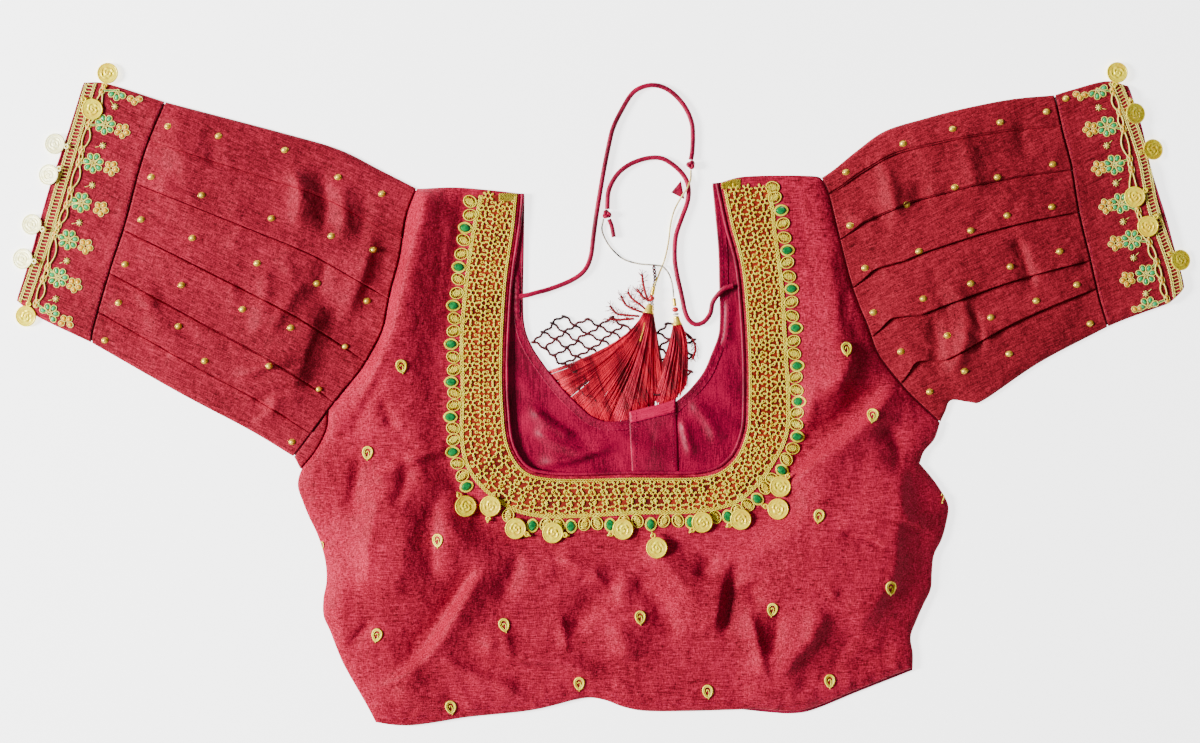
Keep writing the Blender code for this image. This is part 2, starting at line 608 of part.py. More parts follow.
def front_low(flat):
    """Height of the front's underside."""
    edge = np.min([distance_to(flat, line) for line in OUTER_EDGES], axis=0)
    from_neck = distance_to(flat, smooth_line(FRONT_NECK, 5.0))
    free = eased((from_neck - BAND_REACH - BAND_CLEAR) / RELIEF_RISE)
    lift = UNDER_BAND_LIFT * eased((LIFT_FROM_Y - flat[:, 1]) / LIFT_FROM_Y)
    raised = lift + free * (EASE + np.maximum(front_relief(flat), -EASE))
    return FRONT_LOW + (1 - np.exp(-edge / EASE_REACH)) * raised


def front_high(flat):
    return front_low(flat) + CLOTH


FOLD_STEP = 9.0  # between the points along a fold
FOLD_FOOT = 1.25  # from a fold's crest to its foot, in widths of the fold
POINTS_APART = 5.5


def fold_points():
    """Points that carry each fold: its crest and its two feet."""
    points = []
    for fold in FOLDS:
        line = smooth_line([fold.start, fold.middle, fold.end], FOLD_STEP)
        for distance in (-FOLD_FOOT * fold.width, 0.0, FOLD_FOOT * fold.width):
            points += [tuple(p) for p in beside(line, distance)]
    kept = []
    for p in points:
        if all(math.dist(p, q) > POINTS_APART for q in kept):
            kept.append(p)
    return kept


def front_outline():
    neck = beside(smooth_line(FRONT_NECK, EDGE_STEP), -(2 * PIPING_RADIUS + SEAM_GAP))
    neck[0] = (neck[0][0], FRONT_NECK[0][1])
    neck[-1] = (neck[-1][0], FRONT_NECK[-1][1])
    hem_right = beside(smooth_line(HEM_RIGHT, EDGE_STEP), HEM_SHOWS)
    hem_right[0] = HEM_RIGHT[0]
    hem_right[-1] = (HEM_RIGHT[-1][0], HEM_RIGHT[-1][1] + HEM_SHOWS)
    return joined(
        np.vstack([neck[:1], array(SHOULDER_LEFT)[1:]]),
        smooth_line(ARMHOLE_LEFT_TO_GUSSET, EDGE_STEP),
        smooth_line(GUSSET_LEFT_INNER, EDGE_STEP),
        smooth_line(SIDE_LEFT, EDGE_STEP),
        smooth_line(HEM_LEFT, EDGE_STEP),
        hem_right,
        np.vstack([hem_right[-1:], smooth_line(SIDE_RIGHT, EDGE_STEP)[1:]]),
        smooth_line(ARMHOLE_RIGHT, EDGE_STEP)[::-1],
        np.vstack([array(SHOULDER_RIGHT)[:-1], neck[-1:]]),
        neck[::-1],
    )


GUARD_STEP = 11.0
GUARD_CLEAR = 3.0  # from the stones to the points that keep the cloth flat under them


def make_front():
    guard = beside(smooth_line(BAND_OUTER, GUARD_STEP), -(2 * STONE_RADIUS + GUARD_CLEAR))
    return panel("front", front_outline(), front_low, front_high, CRIMSON,
                 extra=np.vstack([guard, fold_points()]))


def make_gusset():
    """The folded strip between the front and the left sleeve's seam."""
    inner = smooth_line(GUSSET_LEFT_INNER, EDGE_STEP)
    inner = beside(inner, -SEAM_GAP * 2)
    outline = np.vstack([[GUSSET_LEFT_TIP], inner[1:-1], [GUSSET_LEFT_HEEL], GUSSET_LEFT_SEAM])
    panel("gusset_left", outline, level(FRONT_LOW), level(FRONT_LOW + CLOTH), CRIMSON,
          step=EDGE_STEP)


# ---------------------------------------------------------------- sleeves and cuffs

def patch(start, end, top, bottom):
    """A function from shares along and down a sleeve to its flat points."""
    start_line = line_at(start, np.linspace(0, 1, 61))
    end_line = line_at(end, np.linspace(0, 1, 61))
    top_line = line_at(top, np.linspace(0, 1, 61))
    bottom_line = line_at(bottom, np.linspace(0, 1, 61))
    top_line[0], top_line[-1] = start_line[0], end_line[0]
    bottom_line[0], bottom_line[-1] = start_line[-1], end_line[-1]

    def on(line, share):
        at = np.linspace(0, 1, len(line))
        return array([np.interp(share, at, line[:, 0]), np.interp(share, at, line[:, 1])])

    def place(along, down):
        corners = ((1 - along) * (1 - down) * start_line[0] + (1 - along) * down * start_line[-1]
                   + along * (1 - down) * end_line[0] + along * down * end_line[-1])
        return ((1 - along) * on(start_line, down) + along * on(end_line, down)
                + (1 - down) * on(top_line, along) + down * on(bottom_line, along) - corners)

    return place


def pleat_height(along, down, pleats):
    """The rise of the knife pleats: a slow climb to the folded edge, then a drop."""
    height = 0.0
    for pleat in pleats:
        edge = pleat.at_armhole + (pleat.at_cuff - pleat.at_armhole) * along
        if edge - PLEAT_DEPTH < down <= edge:
            height += PLEAT_RISE * (down - edge + PLEAT_DEPTH) / PLEAT_DEPTH
        elif edge < down < edge + PLEAT_DROP:
            height += PLEAT_RISE * (1 - (down - edge) / PLEAT_DROP)
    return height


def top_shares(along, pleats):
    """Where a sleeve's top has points, from its upper fold to its lower one."""
    shares = [0.012, 0.05]
    for pleat in pleats:
        edge = pleat.at_armhole + (pleat.at_cuff - pleat.at_armhole) * along
        shares += [edge - PLEAT_DEPTH, edge, edge + PLEAT_DROP]
    shares += [0.955, 0.988]
    return sorted(shares)


def tube(name, place, stations, shares, top_height, thick, width, colour):
    """A flattened tube of cloth, open at both ends, through one ring for each station."""
    pinch = 1 - TUBE_PINCH * thick / width
    outer, inner = [], []
    for along in stations:
        ring = [(0.0, SLEEVE_EDGE_HEIGHT / 2, 0.0)]
        ring += [(d, top_height(along, d), -1.0) for d in shares(along)]
        ring += [(1.0, SLEEVE_EDGE_HEIGHT / 2, 0.0)]
        ring += [(d, 0.0, 1.0) for d in UNDER_SHARES]
        for down, height, inward in ring:
            outer.append((*place(along, down), height))
            inner.append((*place(along, 0.5 + (down - 0.5) * pinch), height + inward * thick))
    sides, rings = len(ring), len(stations)
    count = rings * sides
    faces = ring_faces(rings, sides) + [f[::-1] for f in ring_faces(rings, sides, count)]
    for first in (0, (rings - 1) * sides):
        for k in range(sides):
            a, b = first + k, first + (k + 1) % sides
            faces.append((a, b, b + count, a + count))
    return solid(name, outer + inner, faces, colour)


def make_sleeve(name, armhole, cuff_seam, top, bottom, pleats, toward):
    """A pleated sleeve between the armhole and the cuff seam."""
    clear = 2.6 * SEAM_GAP * toward
    armhole = beside(line_at(armhole, np.linspace(0, 1, 25)), -clear)
    place = patch(armhole, cuff_seam, top, bottom)

    def height(along, down):
        bulge = SLEEVE_PUFF * float(eased(along / 0.35) * eased((1 - along) / 0.3))
        round_over = max(0.0, math.sin(math.pi * down)) ** 0.6
        base = SLEEVE_EDGE_HEIGHT + (CUFF_TOP - SLEEVE_EDGE_HEIGHT) * min(1.0, round_over * 1.6)
        fade = float(eased(along / 0.12) * eased((1 - along) / 0.06))
        pleated = PLEAT_LEAST + (1 - PLEAT_LEAST) * fade
        return base + bulge * round_over + pleated * pleat_height(along, down, pleats)

    tube(name, place, SLEEVE_STATIONS, lambda along: top_shares(along, pleats), height,
         SLEEVE_CLOTH, SLEEVE_WIDTH, CRIMSON)


CUFF_SHARES = [0.012, 0.04, 0.27, 0.5, 0.73, 0.96, 0.988]


def cuff_height(down):
    return CUFF_TOP if 0.03 < down < 0.97 else SLEEVE_EDGE_HEIGHT


def make_cuff(name, seam, edge, top, bottom):
    place = patch(seam, edge, top, bottom)
    tube(name, place, CUFF_STATIONS, lambda along: CUFF_SHARES,
         lambda along, down: cuff_height(down), SLEEVE_CLOTH, CUFF_WIDTH, CRIMSON)


def make_cuff_band(name, edge, inward):
    """The raised metal-thread band along a cuff's edge."""
    line = line_at(edge, np.linspace(0.055, 0.945, 15))
    outer = beside(line, inward * CUFF_BAND_INSET)
    inner = beside(line, inward * (CUFF_BAND_INSET + CUFF_BAND_WIDTH))
    low = CUFF_TOP + SEAM_GAP
    return panel(name, np.vstack([outer, inner[::-1]]), level(low), level(low + CUFF_BAND_THICK),
                 ZARI_GOLD, step=40.0, roughness=0.35, metallic=0.8)


# ---------------------------------------------------------------- trims on the neck

PIPING_SIDES = 6


def make_piping(name, line, radius, height, colour=MAGENTA):
    """A corded edge: a six-sided strip along a line, with flat ends."""
    line = array(line)
    heights = height(line[:, :2])
    points = []
    for k in range(PIPING_SIDES):
        angle = math.pi / 6 + k * math.pi / 3
        moved = beside(line, radius * math.cos(angle))
        points.append(np.column_stack([moved[:, :2], heights + radius * math.sin(angle)]))
    points = np.stack(points, axis=1).reshape(-1, 3)
    faces = ring_faces(len(line), PIPING_SIDES)
    faces += [tuple(range(PIPING_SIDES)), tuple(range(len(points) - PIPING_SIDES, len(points)))]
    return solid(name, points, faces, colour, roughness=0.4)


def make_neck_pipings():
    front = beside(smooth_line(FRONT_NECK, EDGE_STEP), -PIPING_RADIUS)
    front[0][1], front[-1][1] = FRONT_NECK[0][1], FRONT_NECK[-1][1]
    make_piping("neck_piping_front", front, PIPING_RADIUS,
                lambda flat: front_low(beside(flat, -PIPING_RADIUS - SEAM_GAP)) + PIPING_RADIUS)
    left = beside(smooth_line(BACK_NECK_LEFT, EDGE_STEP), -BACK_PIPING_RADIUS)
    right = beside(smooth_line(BACK_NECK_RIGHT, EDGE_STEP), -BACK_PIPING_RADIUS)
    left[-1][0], right[0][0] = BACK_SPLIT_X - SEAM_GAP, BACK_SPLIT_X + SEAM_GAP
    centre = level(BACK_PIPING_RADIUS)
    make_piping("neck_piping_back_left", left[1:], BACK_PIPING_RADIUS, centre)
    make_piping("neck_piping_back_right", right[:-1], BACK_PIPING_RADIUS, centre)


def scallops():
    """The band's outer edge: a lobe for each stone and for each petal between two stones."""
    spine = smooth_line(BAND_OUTER, 1.0)
    marks = []
    for stone in STONES:
        marks.append((int(np.linalg.norm(spine - array(stone), axis=1).argmin()), STONE_RADIUS))
    petals = []
    for (a, _), (b, _) in zip(marks, marks[1:]):
        for k in range(PETALS_BETWEEN_STONES):
            at = a + (b - a) * (k + 1) / (PETALS_BETWEEN_STONES + 1)
            petals.append((int(round(at)), PETAL_RADIUS))
    return spine, sorted(marks + petals)


def band_outer_line():
    """The scalloped line, lobe by lobe."""
    spine, lobes = scallops()
    outward = beside(spine, -1.0) - spine
    points = [tuple(spine[0])]
    for at, radius in lobes:
        tangent = array([outward[at][1], -outward[at][0]])
        middle = spine[at] + outward[at] * radius * 0.9
        for angle in (-65, 0, 65):
            turn = math.radians(angle)
            points.append(tuple(middle + radius * (math.cos(turn) * outward[at]
                                                   - math.sin(turn) * tangent) * 0.93))
    points.append(tuple(spine[-1]))
    return array(points)


def stone_points():
    """The corners of each stone's raised face, and the two points at its foot inside the band."""
    spine, lobes = scallops()
    outward = beside(spine, -1.0) - spine
    face, foot = [], []
    for at, radius in lobes:
        if radius != STONE_RADIUS:
            continue
        tangent = array([outward[at][1], -outward[at][0]])
        middle = spine[at] + outward[at] * radius * 0.8
        for share in (-1, 1):
            face.append(tuple(middle + share * STONE_HALF_LENGTH * tangent))
            face.append(tuple(middle + share * STONE_HALF_WIDTH * outward[at]))
            foot.append(tuple(middle - radius * outward[at] + share * radius * 0.75 * tangent))
    return face, foot


def make_neck_band():
    """The stiff metal-thread band with its row of stones, on the front."""
    inner = beside(smooth_line(FRONT_NECK, EDGE_STEP), -(2 * PIPING_RADIUS + BAND_INSET))
    inner[0] = (inner[0][0], FRONT_NECK[0][1] - 0.6)
    inner[-1] = (inner[-1][0], FRONT_NECK[-1][1] - 0.6)
    outer = band_outer_line()
    outer[0][1] = min(outer[0][1], 144.0)
    face, foot = stone_points()

    def low(flat):
        return front_high(flat) + SEAM_GAP + 0.15

    def high(flat):
        near = np.linalg.norm(flat[:, None] - array(face)[None], axis=2).min(1)
        return low(flat) + BAND_THICK + STONE_RISE * (near < 0.1)

    outline = np.vstack([outer, inner[::-1]])
    return panel("neck_band", outline, low, high, ZARI_GOLD, step=18.0, extra=face + foot,
                 edge_clear=0.8, roughness=0.35, metallic=0.8)


# ---------------------------------------------------------------- coins

def tree(objects):
    """One search tree over several mesh objects."""
    points, faces = [], []
    for made in objects:
        first = len(points)
        points += [v.co.copy() for v in made.data.vertices]
        faces += [tuple(first + i for i in p.vertices) for p in made.data.polygons]
    return BVHTree.FromPolygons(points, faces)


def height_under(below, x, y):
    """Height in millimetres of what lies under a flat point, 0 on the bare surface."""
    start = Vector(((x + CENTRE_SHIFT[0]) * MM, (y + CENTRE_SHIFT[1]) * MM, 0.2))
    hit = below.ray_cast(start, Vector((0, 0, -1)))[0]
    return 0.0 if hit is None else max(0.0, hit.z / MM)


def coin_outline():
    """The coin with its cast eye, seen from above, the eye towards +X."""
    reach = math.acos((COIN_RADIUS**2 + EYE_REACH**2 - EYE_RADIUS**2)
                      / (2 * COIN_RADIUS * EYE_REACH))
    disc = [(COIN_RADIUS * math.cos(t), COIN_RADIUS * math.sin(t))
            for t in np.linspace(reach, 2 * math.pi - reach, COIN_SIDES)]
    meet_x, meet_y = disc[0]
    turn = math.atan2(meet_y, meet_x - EYE_REACH)
    eye = [(EYE_REACH + EYE_RADIUS * math.cos(t), EYE_RADIUS * math.sin(t))
           for t in np.linspace(-turn, turn, 6)[1:-1]]
    hole = [(EYE_REACH + 0.2 + EYE_HOLE * math.cos(t), EYE_HOLE * math.sin(t))
            for t in np.linspace(0, 2 * math.pi, 5, endpoint=False)]
    return disc + eye, hole


def seated_plane(below, centre, ahead, across, outline):
    """The flattest plane just above what lies under a coin: its tilt and its height."""
    rows, heights = [], []
    around = [share * (array(p) * t + array(q) * (1 - t)) for p, q in zip(outline, outline[1:])
              for t in (0.0, 0.33, 0.67) for share in (1.03, 0.88, 0.72, 0.5, 0.25)]
    samples = around + [array((0, 0))]
    for u, v in samples:
        x, y = centre + u * ahead + v * across
        rows.append((u, v, 1.0))
        heights.append(height_under(below, x, y))
    rows, heights = array(rows), array(heights)
    plane = np.linalg.lstsq(rows, heights, rcond=None)[0]
    lift = (heights - rows @ plane).max() + SEAM_GAP + 0.1
    lowest = (rows @ plane).min() + lift
    return plane[0], plane[1], plane[2] + lift + max(0.0, 0.05 - lowest)


def make_coin(coin, below):
    outline, hole = coin_outline()
    centre = array(coin.centre)
    ahead = array(coin.eye) - centre
    ahead /= np.linalg.norm(ahead)
    across = array([-ahead[1], ahead[0]])
    slope_u, slope_v, base = seated_plane(below, centre, ahead, across, outline)
    flat, faces = triangulated(array(outline), [], [hole])
    points, made = wall(flat, faces, np.zeros(len(flat)), np.full(len(flat), COIN_THICK))
    placed = []
    for u, v, rise in points:
        x, y = centre + u * ahead + v * across
        placed.append((x, y, base + slope_u * u + slope_v * v + rise))
    colour = COIN_PALE if coin.pale else COIN_GOLD
    return solid("coin_" + coin.name, placed, made, colour, roughness=0.3, metallic=1.0)


# ---------------------------------------------------------------- cords, tassels, net

def make_knot(name, centre):
    ball = bmesh.new()
    bmesh.ops.create_icosphere(ball, subdivisions=2, radius=KNOT_RADIUS)
    points = [(v.co.x + centre[0], v.co.y + centre[1], v.co.z * 0.95 + centre[2])
              for v in ball.verts]
    faces = [tuple(v.index for v in f.verts) for f in ball.faces]
    ball.free()
    return solid(name, points, faces, MAGENTA, roughness=0.5)


def make_cords():
    cord("dori_left", DORI_LEFT, CORD_RADIUS, 9.0, MAGENTA)
    cord("dori_right", DORI_RIGHT, CORD_RADIUS, 6.5, MAGENTA)
    cord("dori_tail", DORI_TAIL, CORD_RADIUS * 0.9, 6.0, MAGENTA)
    cord("string_left", STRING_LEFT, STRING_RADIUS, 3.4, ZARI_GOLD, metallic=0.8)
    cord("string_right", STRING_RIGHT, STRING_RADIUS, 3.4, ZARI_GOLD, metallic=0.8)
    make_knot("knot_left", KNOT_LEFT)
    make_knot("knot_right", KNOT_RIGHT)
    panel("dori_tab", DORI_TAB, level(0.3), level(1.6), MAGENTA, step=STRIP_STEP)


def tassel_axis(tassel):
    start, toward = array(tassel.start), array(tassel.toward)
    return Vector((*((toward - start) / np.linalg.norm(toward - start)), 0.0))


def make_tassel_beads(tassel):
    """The tube, the bead and the ring above the cap, turned as one piece."""
    axis = tassel_axis(tassel)
    start = (*tassel.start, TASSEL_HEIGHT)
    points = turned(start, axis, TASSEL_BEADS)
    faces = ring_faces(len(TASSEL_BEADS), TURN_SIDES)
    faces += [tuple(range(TURN_SIDES)), tuple(range(len(points) - TURN_SIDES, len(points)))]
    solid("tassel_beads_" + tassel.name, points, faces, ZARI_GOLD, roughness=0.3, metallic=0.9)


def lock_roots(radius):
    """Where the locks leave the cap: across it and up it, and their places in the fan."""
    roots = []
    for layer in range(LOCK_LAYERS):
        up = radius * 0.8 * (2 * (layer + 0.5) / LOCK_LAYERS - 1)
        half = math.sqrt(radius**2 - up**2) - 1.5 * LOCK_ROOT - 0.1
        columns = int(2 * half / LOCK_PITCH)
        for column in range(columns):
            share = (column + 0.5) / columns
            roots.append((half * (2 * share - 1), up, share, layer))
    return roots


def make_tassel(tassel):
    """The cap and the locks of silk that grow out of its open end."""
    axis = tassel_axis(tassel)
    side = axis.cross(Vector((0, 0, 1))).normalized()
    start = Vector((*tassel.start, TASSEL_HEIGHT)) + axis * (TASSEL_BEADS[-1].along + SEAM_GAP)
    radius = tassel.mouth
    points = turned(start, axis, [Turn(t.along, t.radius * radius) for t in TASSEL_CAP])
    faces = ring_faces(len(TASSEL_CAP), TURN_SIDES) + [tuple(range(TURN_SIDES))]
    mouth = start + axis * TASSEL_CAP[-1].along
    rim_first = len(points) - TURN_SIDES
    rim = [(radius * math.cos(2 * math.pi * k / TURN_SIDES),
            radius * math.sin(2 * math.pi * k / TURN_SIDES)) for k in range(TURN_SIDES)]
    roots = lock_roots(radius)
    sections = []
    for across, up, _, _ in roots:
        sections.append([(across + LOCK_ROOT * math.cos(t), up + LOCK_ROOT * math.sin(t))
                         for t in (math.pi / 2, math.pi * 7 / 6, math.pi * 11 / 6)])
    flat, cap_faces = triangulated(array(rim), [], sections)
    index = []
    for k, (u, v) in enumerate(flat):
        on_rim = [i for i, p in enumerate(rim) if math.dist(p, (u, v)) < 1e-4]
        if on_rim:
            index.append(rim_first + on_rim[0])
        else:
            index.append(len(points))
            points.append(mouth + side * u + Vector((0, 0, v)))
    faces += [tuple(index[i] for i in f) for f in cap_faces]
    fan = line_at(tassel.fan, np.linspace(0, 1, 41))
    for (across, up, share, layer), section in zip(roots, sections):
        ring = [index[min(range(len(flat)), key=lambda i: math.dist(flat[i], p))]
                for p in section]
        root = mouth + side * across + Vector((0, 0, up))
        from_left = 1 - share if side.x < 0 else share
        end_x = np.interp(from_left, np.linspace(0, 1, 41), fan[:, 0])
        end_y = np.interp(from_left, np.linspace(0, 1, 41), fan[:, 1])
        end = Vector((end_x, end_y, LOCK_LOWEST + layer * LOCK_LAYER * 0.62))
        bend = root + axis * (end - root).length * 0.3
        bend.z = (root.z + LOCK_LOWEST + layer * LOCK_LAYER) / 2
        for step in range(1, LOCK_STEPS + 1):
            t = step / LOCK_STEPS
            middle = root * (1 - t) ** 2 + bend * 2 * t * (1 - t) + end * t * t
            heading = ((bend - root) * (1 - t) + (end - bend) * t).normalized()
            out = heading.cross(Vector((0, 0, 1))).normalized()
            width = LOCK_WIDTH * (0.55 + 0.45 * math.sin(math.pi * t))
            first = len(points)
            for angle in (math.pi / 2, math.pi * 7 / 6, math.pi * 11 / 6):
                points.append(middle + out * math.cos(angle) * width
                              + Vector((0, 0, 0.55 * math.sin(angle) * LOCK_WIDTH)))
            new = [first, first + 1, first + 2]
            for k in range(3):
                faces.append((ring[k], ring[(k + 1) % 3], new[(k + 1) % 3], new[k]))
            ring = new
        faces.append(tuple(ring))
    solid("tassel_" + tassel.name, points, faces, TASSEL_RED, roughness=0.5)


def net_cells():
    """Columns and rows of the net's diamonds, none of which hangs on by a corner alone."""
    width, height = NET_PITCH
    cells = set()
    for row in range(NET_ROWS):
        for column in range(-NET_COLUMNS, NET_COLUMNS):
            middle = array([[column * width / 2, row * height / 2]])
            if (column + row) % 2 == 0 and inside(middle, array(NET_EDGE))[0]:
                cells.add((column, row))
    loose = {None}
    while loose:
        loose = {(c, r) for c, r in cells
                 if sum((c + i, r + j) in cells for i in (-1, 1) for j in (-1, 1)) < 2}
        for c, r in cells:
            beyond = (((c + 2, r), (c + 1, r - 1), (c + 1, r + 1)),
                      ((c, r + 2), (c - 1, r + 1), (c + 1, r + 1)))
            loose |= {far for far, *sides in beyond
                      if far in cells and not cells.intersection(sides)}
        cells -= loose
    return sorted(cells)


def slack(x, y):
    """A net point moved a little, since the meshes of a loose net are uneven."""
    return (x + 1.3 * math.sin(y / 5.0 + 1.0) + 0.8 * math.sin(x / 11.0),
            y + 0.9 * math.sin(x / 7.0) + 0.6 * math.sin((x + y) / 13.0))


def make_net():
    """A knotted net: a frame of four strands round each diamond, joined to its neighbours'."""
    width, height = NET_PITCH
    flat, faces, corners = [], [], {}
    for column, row in net_cells():
        x, y = column * width / 2, row * height / 2
        rim, hole = [], []
        for i, j in ((1, 0), (0, 1), (-1, 0), (0, -1)):
            corner = (column + i, row + j)
            if corner not in corners:
                corners[corner] = len(flat)
                flat.append(slack(x + i * width / 2, y + j * height / 2))
            rim.append(corners[corner])
            hole.append(len(flat))
            flat.append(slack(x + i * (width / 2 - NET_STRAND), y + j * (height / 2 - NET_STRAND)))
        for k in range(4):
            n = (k + 1) % 4
            faces += [(rim[k], rim[n], hole[n]), (rim[k], hole[n], hole[k])]
    flat = array(flat)
    points, made = wall(flat, np.array(faces), np.zeros(len(flat)), np.full(len(flat), NET_THICK))
    solid("tassel_net", points, made, NET_BLACK, roughness=0.7)


# ---------------------------------------------------------------- assembly

def clear_scene():
    for old in list(bpy.data.objects):
        bpy.data.objects.remove(old, do_unlink=True)


def main():
    clear_scene()
    make_back()
    make_hem_facing()
    make_placket()
    front = make_front()
    make_gusset()
    make_sleeve("sleeve_left", ARMHOLE_LEFT, CUFF_SEAM_LEFT, SLEEVE_LEFT_TOP,
                SLEEVE_LEFT_BOTTOM, PLEATS_LEFT, 1)
    make_sleeve("sleeve_right", ARMHOLE_RIGHT, CUFF_SEAM_RIGHT, SLEEVE_RIGHT_TOP,
                SLEEVE_RIGHT_BOTTOM, PLEATS_RIGHT, -1)
    make_cuff("cuff_left", CUFF_SEAM_LEFT, CUFF_LEFT_EDGE, CUFF_LEFT_TOP, CUFF_LEFT_BOTTOM)
    make_cuff("cuff_right", CUFF_SEAM_RIGHT, CUFF_RIGHT_EDGE, CUFF_RIGHT_TOP, CUFF_RIGHT_BOTTOM)
    cuff_bands = [make_cuff_band("cuff_band_left", CUFF_LEFT_EDGE, 1),
                  make_cuff_band("cuff_band_right", CUFF_RIGHT_EDGE, -1)]
    make_neck_pipings()
    neck_band = make_neck_band()
    below = tree([front, neck_band, *cuff_bands,
                  bpy.data.objects["cuff_left"], bpy.data.objects["cuff_right"]])
    for coin in COINS:
        make_coin(coin, below)
    make_cords()
    for tassel in TASSELS:
        make_tassel_beads(tassel)
        make_tassel(tassel)
    make_net()


main()
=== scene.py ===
"""The looks of a choli blouse laid flat: silk, satin, metal-thread embroidery, coins, tassels.

Lengths in the tables are millimetres: X runs across the blouse, Y up the body, Z up from the
surface that it lies on. Pieces are made in metres. The outlines and routes repeat those of the
part's source, so that each piece lies where its solid does.
"""

import json
import math
from collections import namedtuple

import bmesh
import bpy
import numpy as np
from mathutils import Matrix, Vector
from mathutils.bvhtree import BVHTree
from mathutils.geometry import delaunay_2d_cdt

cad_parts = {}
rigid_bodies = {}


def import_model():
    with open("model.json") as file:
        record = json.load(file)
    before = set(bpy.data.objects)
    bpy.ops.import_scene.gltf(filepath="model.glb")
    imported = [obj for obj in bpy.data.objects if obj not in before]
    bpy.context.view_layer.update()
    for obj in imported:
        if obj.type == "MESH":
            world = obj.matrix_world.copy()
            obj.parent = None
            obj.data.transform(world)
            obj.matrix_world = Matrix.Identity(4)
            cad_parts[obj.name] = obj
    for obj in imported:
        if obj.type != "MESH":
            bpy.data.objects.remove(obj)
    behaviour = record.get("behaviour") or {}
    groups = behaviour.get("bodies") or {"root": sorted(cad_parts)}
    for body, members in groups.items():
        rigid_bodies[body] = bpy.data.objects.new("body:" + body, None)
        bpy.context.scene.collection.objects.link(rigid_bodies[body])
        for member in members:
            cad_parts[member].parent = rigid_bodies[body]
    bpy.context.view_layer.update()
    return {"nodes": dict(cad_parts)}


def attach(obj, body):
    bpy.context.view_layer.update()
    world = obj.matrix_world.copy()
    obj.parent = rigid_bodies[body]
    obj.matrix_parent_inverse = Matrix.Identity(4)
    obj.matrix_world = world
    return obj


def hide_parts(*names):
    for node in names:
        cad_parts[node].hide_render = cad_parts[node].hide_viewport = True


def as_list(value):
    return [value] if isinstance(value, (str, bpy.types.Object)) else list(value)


MM = 0.001
CENTRE_SHIFT = np.array([-0.66, -0.56, 0.0])  # puts the whole blouse's middle on the origin
SEED = 11

# ---------------------------------------------------------------- outlines and routes

ARMHOLE_LEFT = [
    (-131, 147), (-137, 132.5), (-140, 120), (-143.5, 97), (-150, 73), (-155, 47.5),
    (-162.5, 32), (-171, 17.5), (-182.5, 3.5), (-194, -11), (-205, -26), (-219, -44.5),
]
ARMHOLE_RIGHT = [
    (157.5, 154.5), (162.5, 144), (169, 117.5), (178, 82), (185.5, 60.5), (190.5, 49),
    (197, 30.5), (205, 19), (213, 9), (221.5, -0.5), (230.5, -9), (242.5, -20),
]
FRONT_NECK = [
    (-54.5, 143.5), (-57, 118.5), (-62, 84), (-64.5, 49.5), (-65.5, 14.5), (-64.5, -11),
    (-61.5, -34), (-52.5, -49.5), (-39, -54.5), (-14.5, -55.5), (21, -54.5), (71, -54),
    (90, -45.5), (99, -28), (101, -7.5), (100.5, 36), (96.5, 87.5), (88.5, 120), (82, 151),
]
BACK_NECK_LEFT = [
    (-54.5, 143.5), (-55, 101.5), (-55.5, 69.5), (-54.5, 49.5), (-49.5, 35), (-40, 20.5),
    (-28.5, 5.5), (-16.5, -7), (-6.5, -15.5), (4.5, -19.5), (19, -18.5), (27, -17),
]
BACK_NECK_RIGHT = [
    (27, -17), (45.5, -12), (55, -4.5), (63.5, 3), (73.5, 15.5), (79.5, 29), (84.5, 42.5),
    (85.5, 57.5), (85, 78), (84.5, 101.5), (82.5, 125.5), (80, 151),
]
BACK_SPLIT_X = 27.0
HEM = [
    (-160.5, -234), (-141.5, -236.5), (-120, -234.5), (-96, -230.5), (-49.5, -225.5),
    (-18, -218), (-7, -216.5), (2.5, -218), (16, -223), (32.5, -226), (65.5, -226),
    (98.5, -225), (136, -228), (155.5, -224), (180, -214), (223, -197),
]

SLEEVE_LEFT_TOP = [(-131, 147), (-157.5, 160.5), (-186.5, 175), (-225.5, 186.5), (-311, 209)]
SLEEVE_LEFT_BOTTOM = [(-219, -44.5), (-250.5, -25.5), (-300.5, 1), (-363.5, 37)]
CUFF_SEAM_LEFT = [
    (-311, 209), (-323, 180), (-330.5, 156), (-339.5, 121.5), (-349.5, 91), (-362, 47.5),
    (-363.5, 37),
]
CUFF_LEFT_TOP = [(-311, 209), (-352, 222), (-369, 223)]
CUFF_LEFT_EDGE = [(-369, 223), (-380, 187.5), (-394, 146), (-409, 92), (-417, 67)]
CUFF_LEFT_BOTTOM = [(-363.5, 37), (-402, 55.5), (-417, 67)]
SLEEVE_RIGHT_TOP = [
    (157.5, 154.5), (167, 161), (183.5, 174.5), (203.5, 188.5), (232.5, 197.5), (257.5, 204),
    (293, 211), (324.5, 214),
]
SLEEVE_RIGHT_BOTTOM = [
    (242.5, -20), (246.5, -12), (250.5, -4), (264, -5.5), (274, -4), (314, 23), (362.5, 48.5),
]
CUFF_SEAM_RIGHT = [
    (324.5, 214), (329.5, 189.5), (336, 164.5), (341.5, 131), (349.5, 97), (356, 69),
    (362.5, 48.5),
]
CUFF_RIGHT_TOP = [(324.5, 214), (337.5, 218), (361.5, 224), (377, 220.5)]
CUFF_RIGHT_EDGE = [
    (377, 220.5), (386.5, 191), (393, 161.5), (403.5, 127.5), (410, 103.5), (416, 81),
    (415.5, 74.5), (406, 65),
]
CUFF_RIGHT_BOTTOM = [(362.5, 48.5), (377, 54.5), (406, 65)]

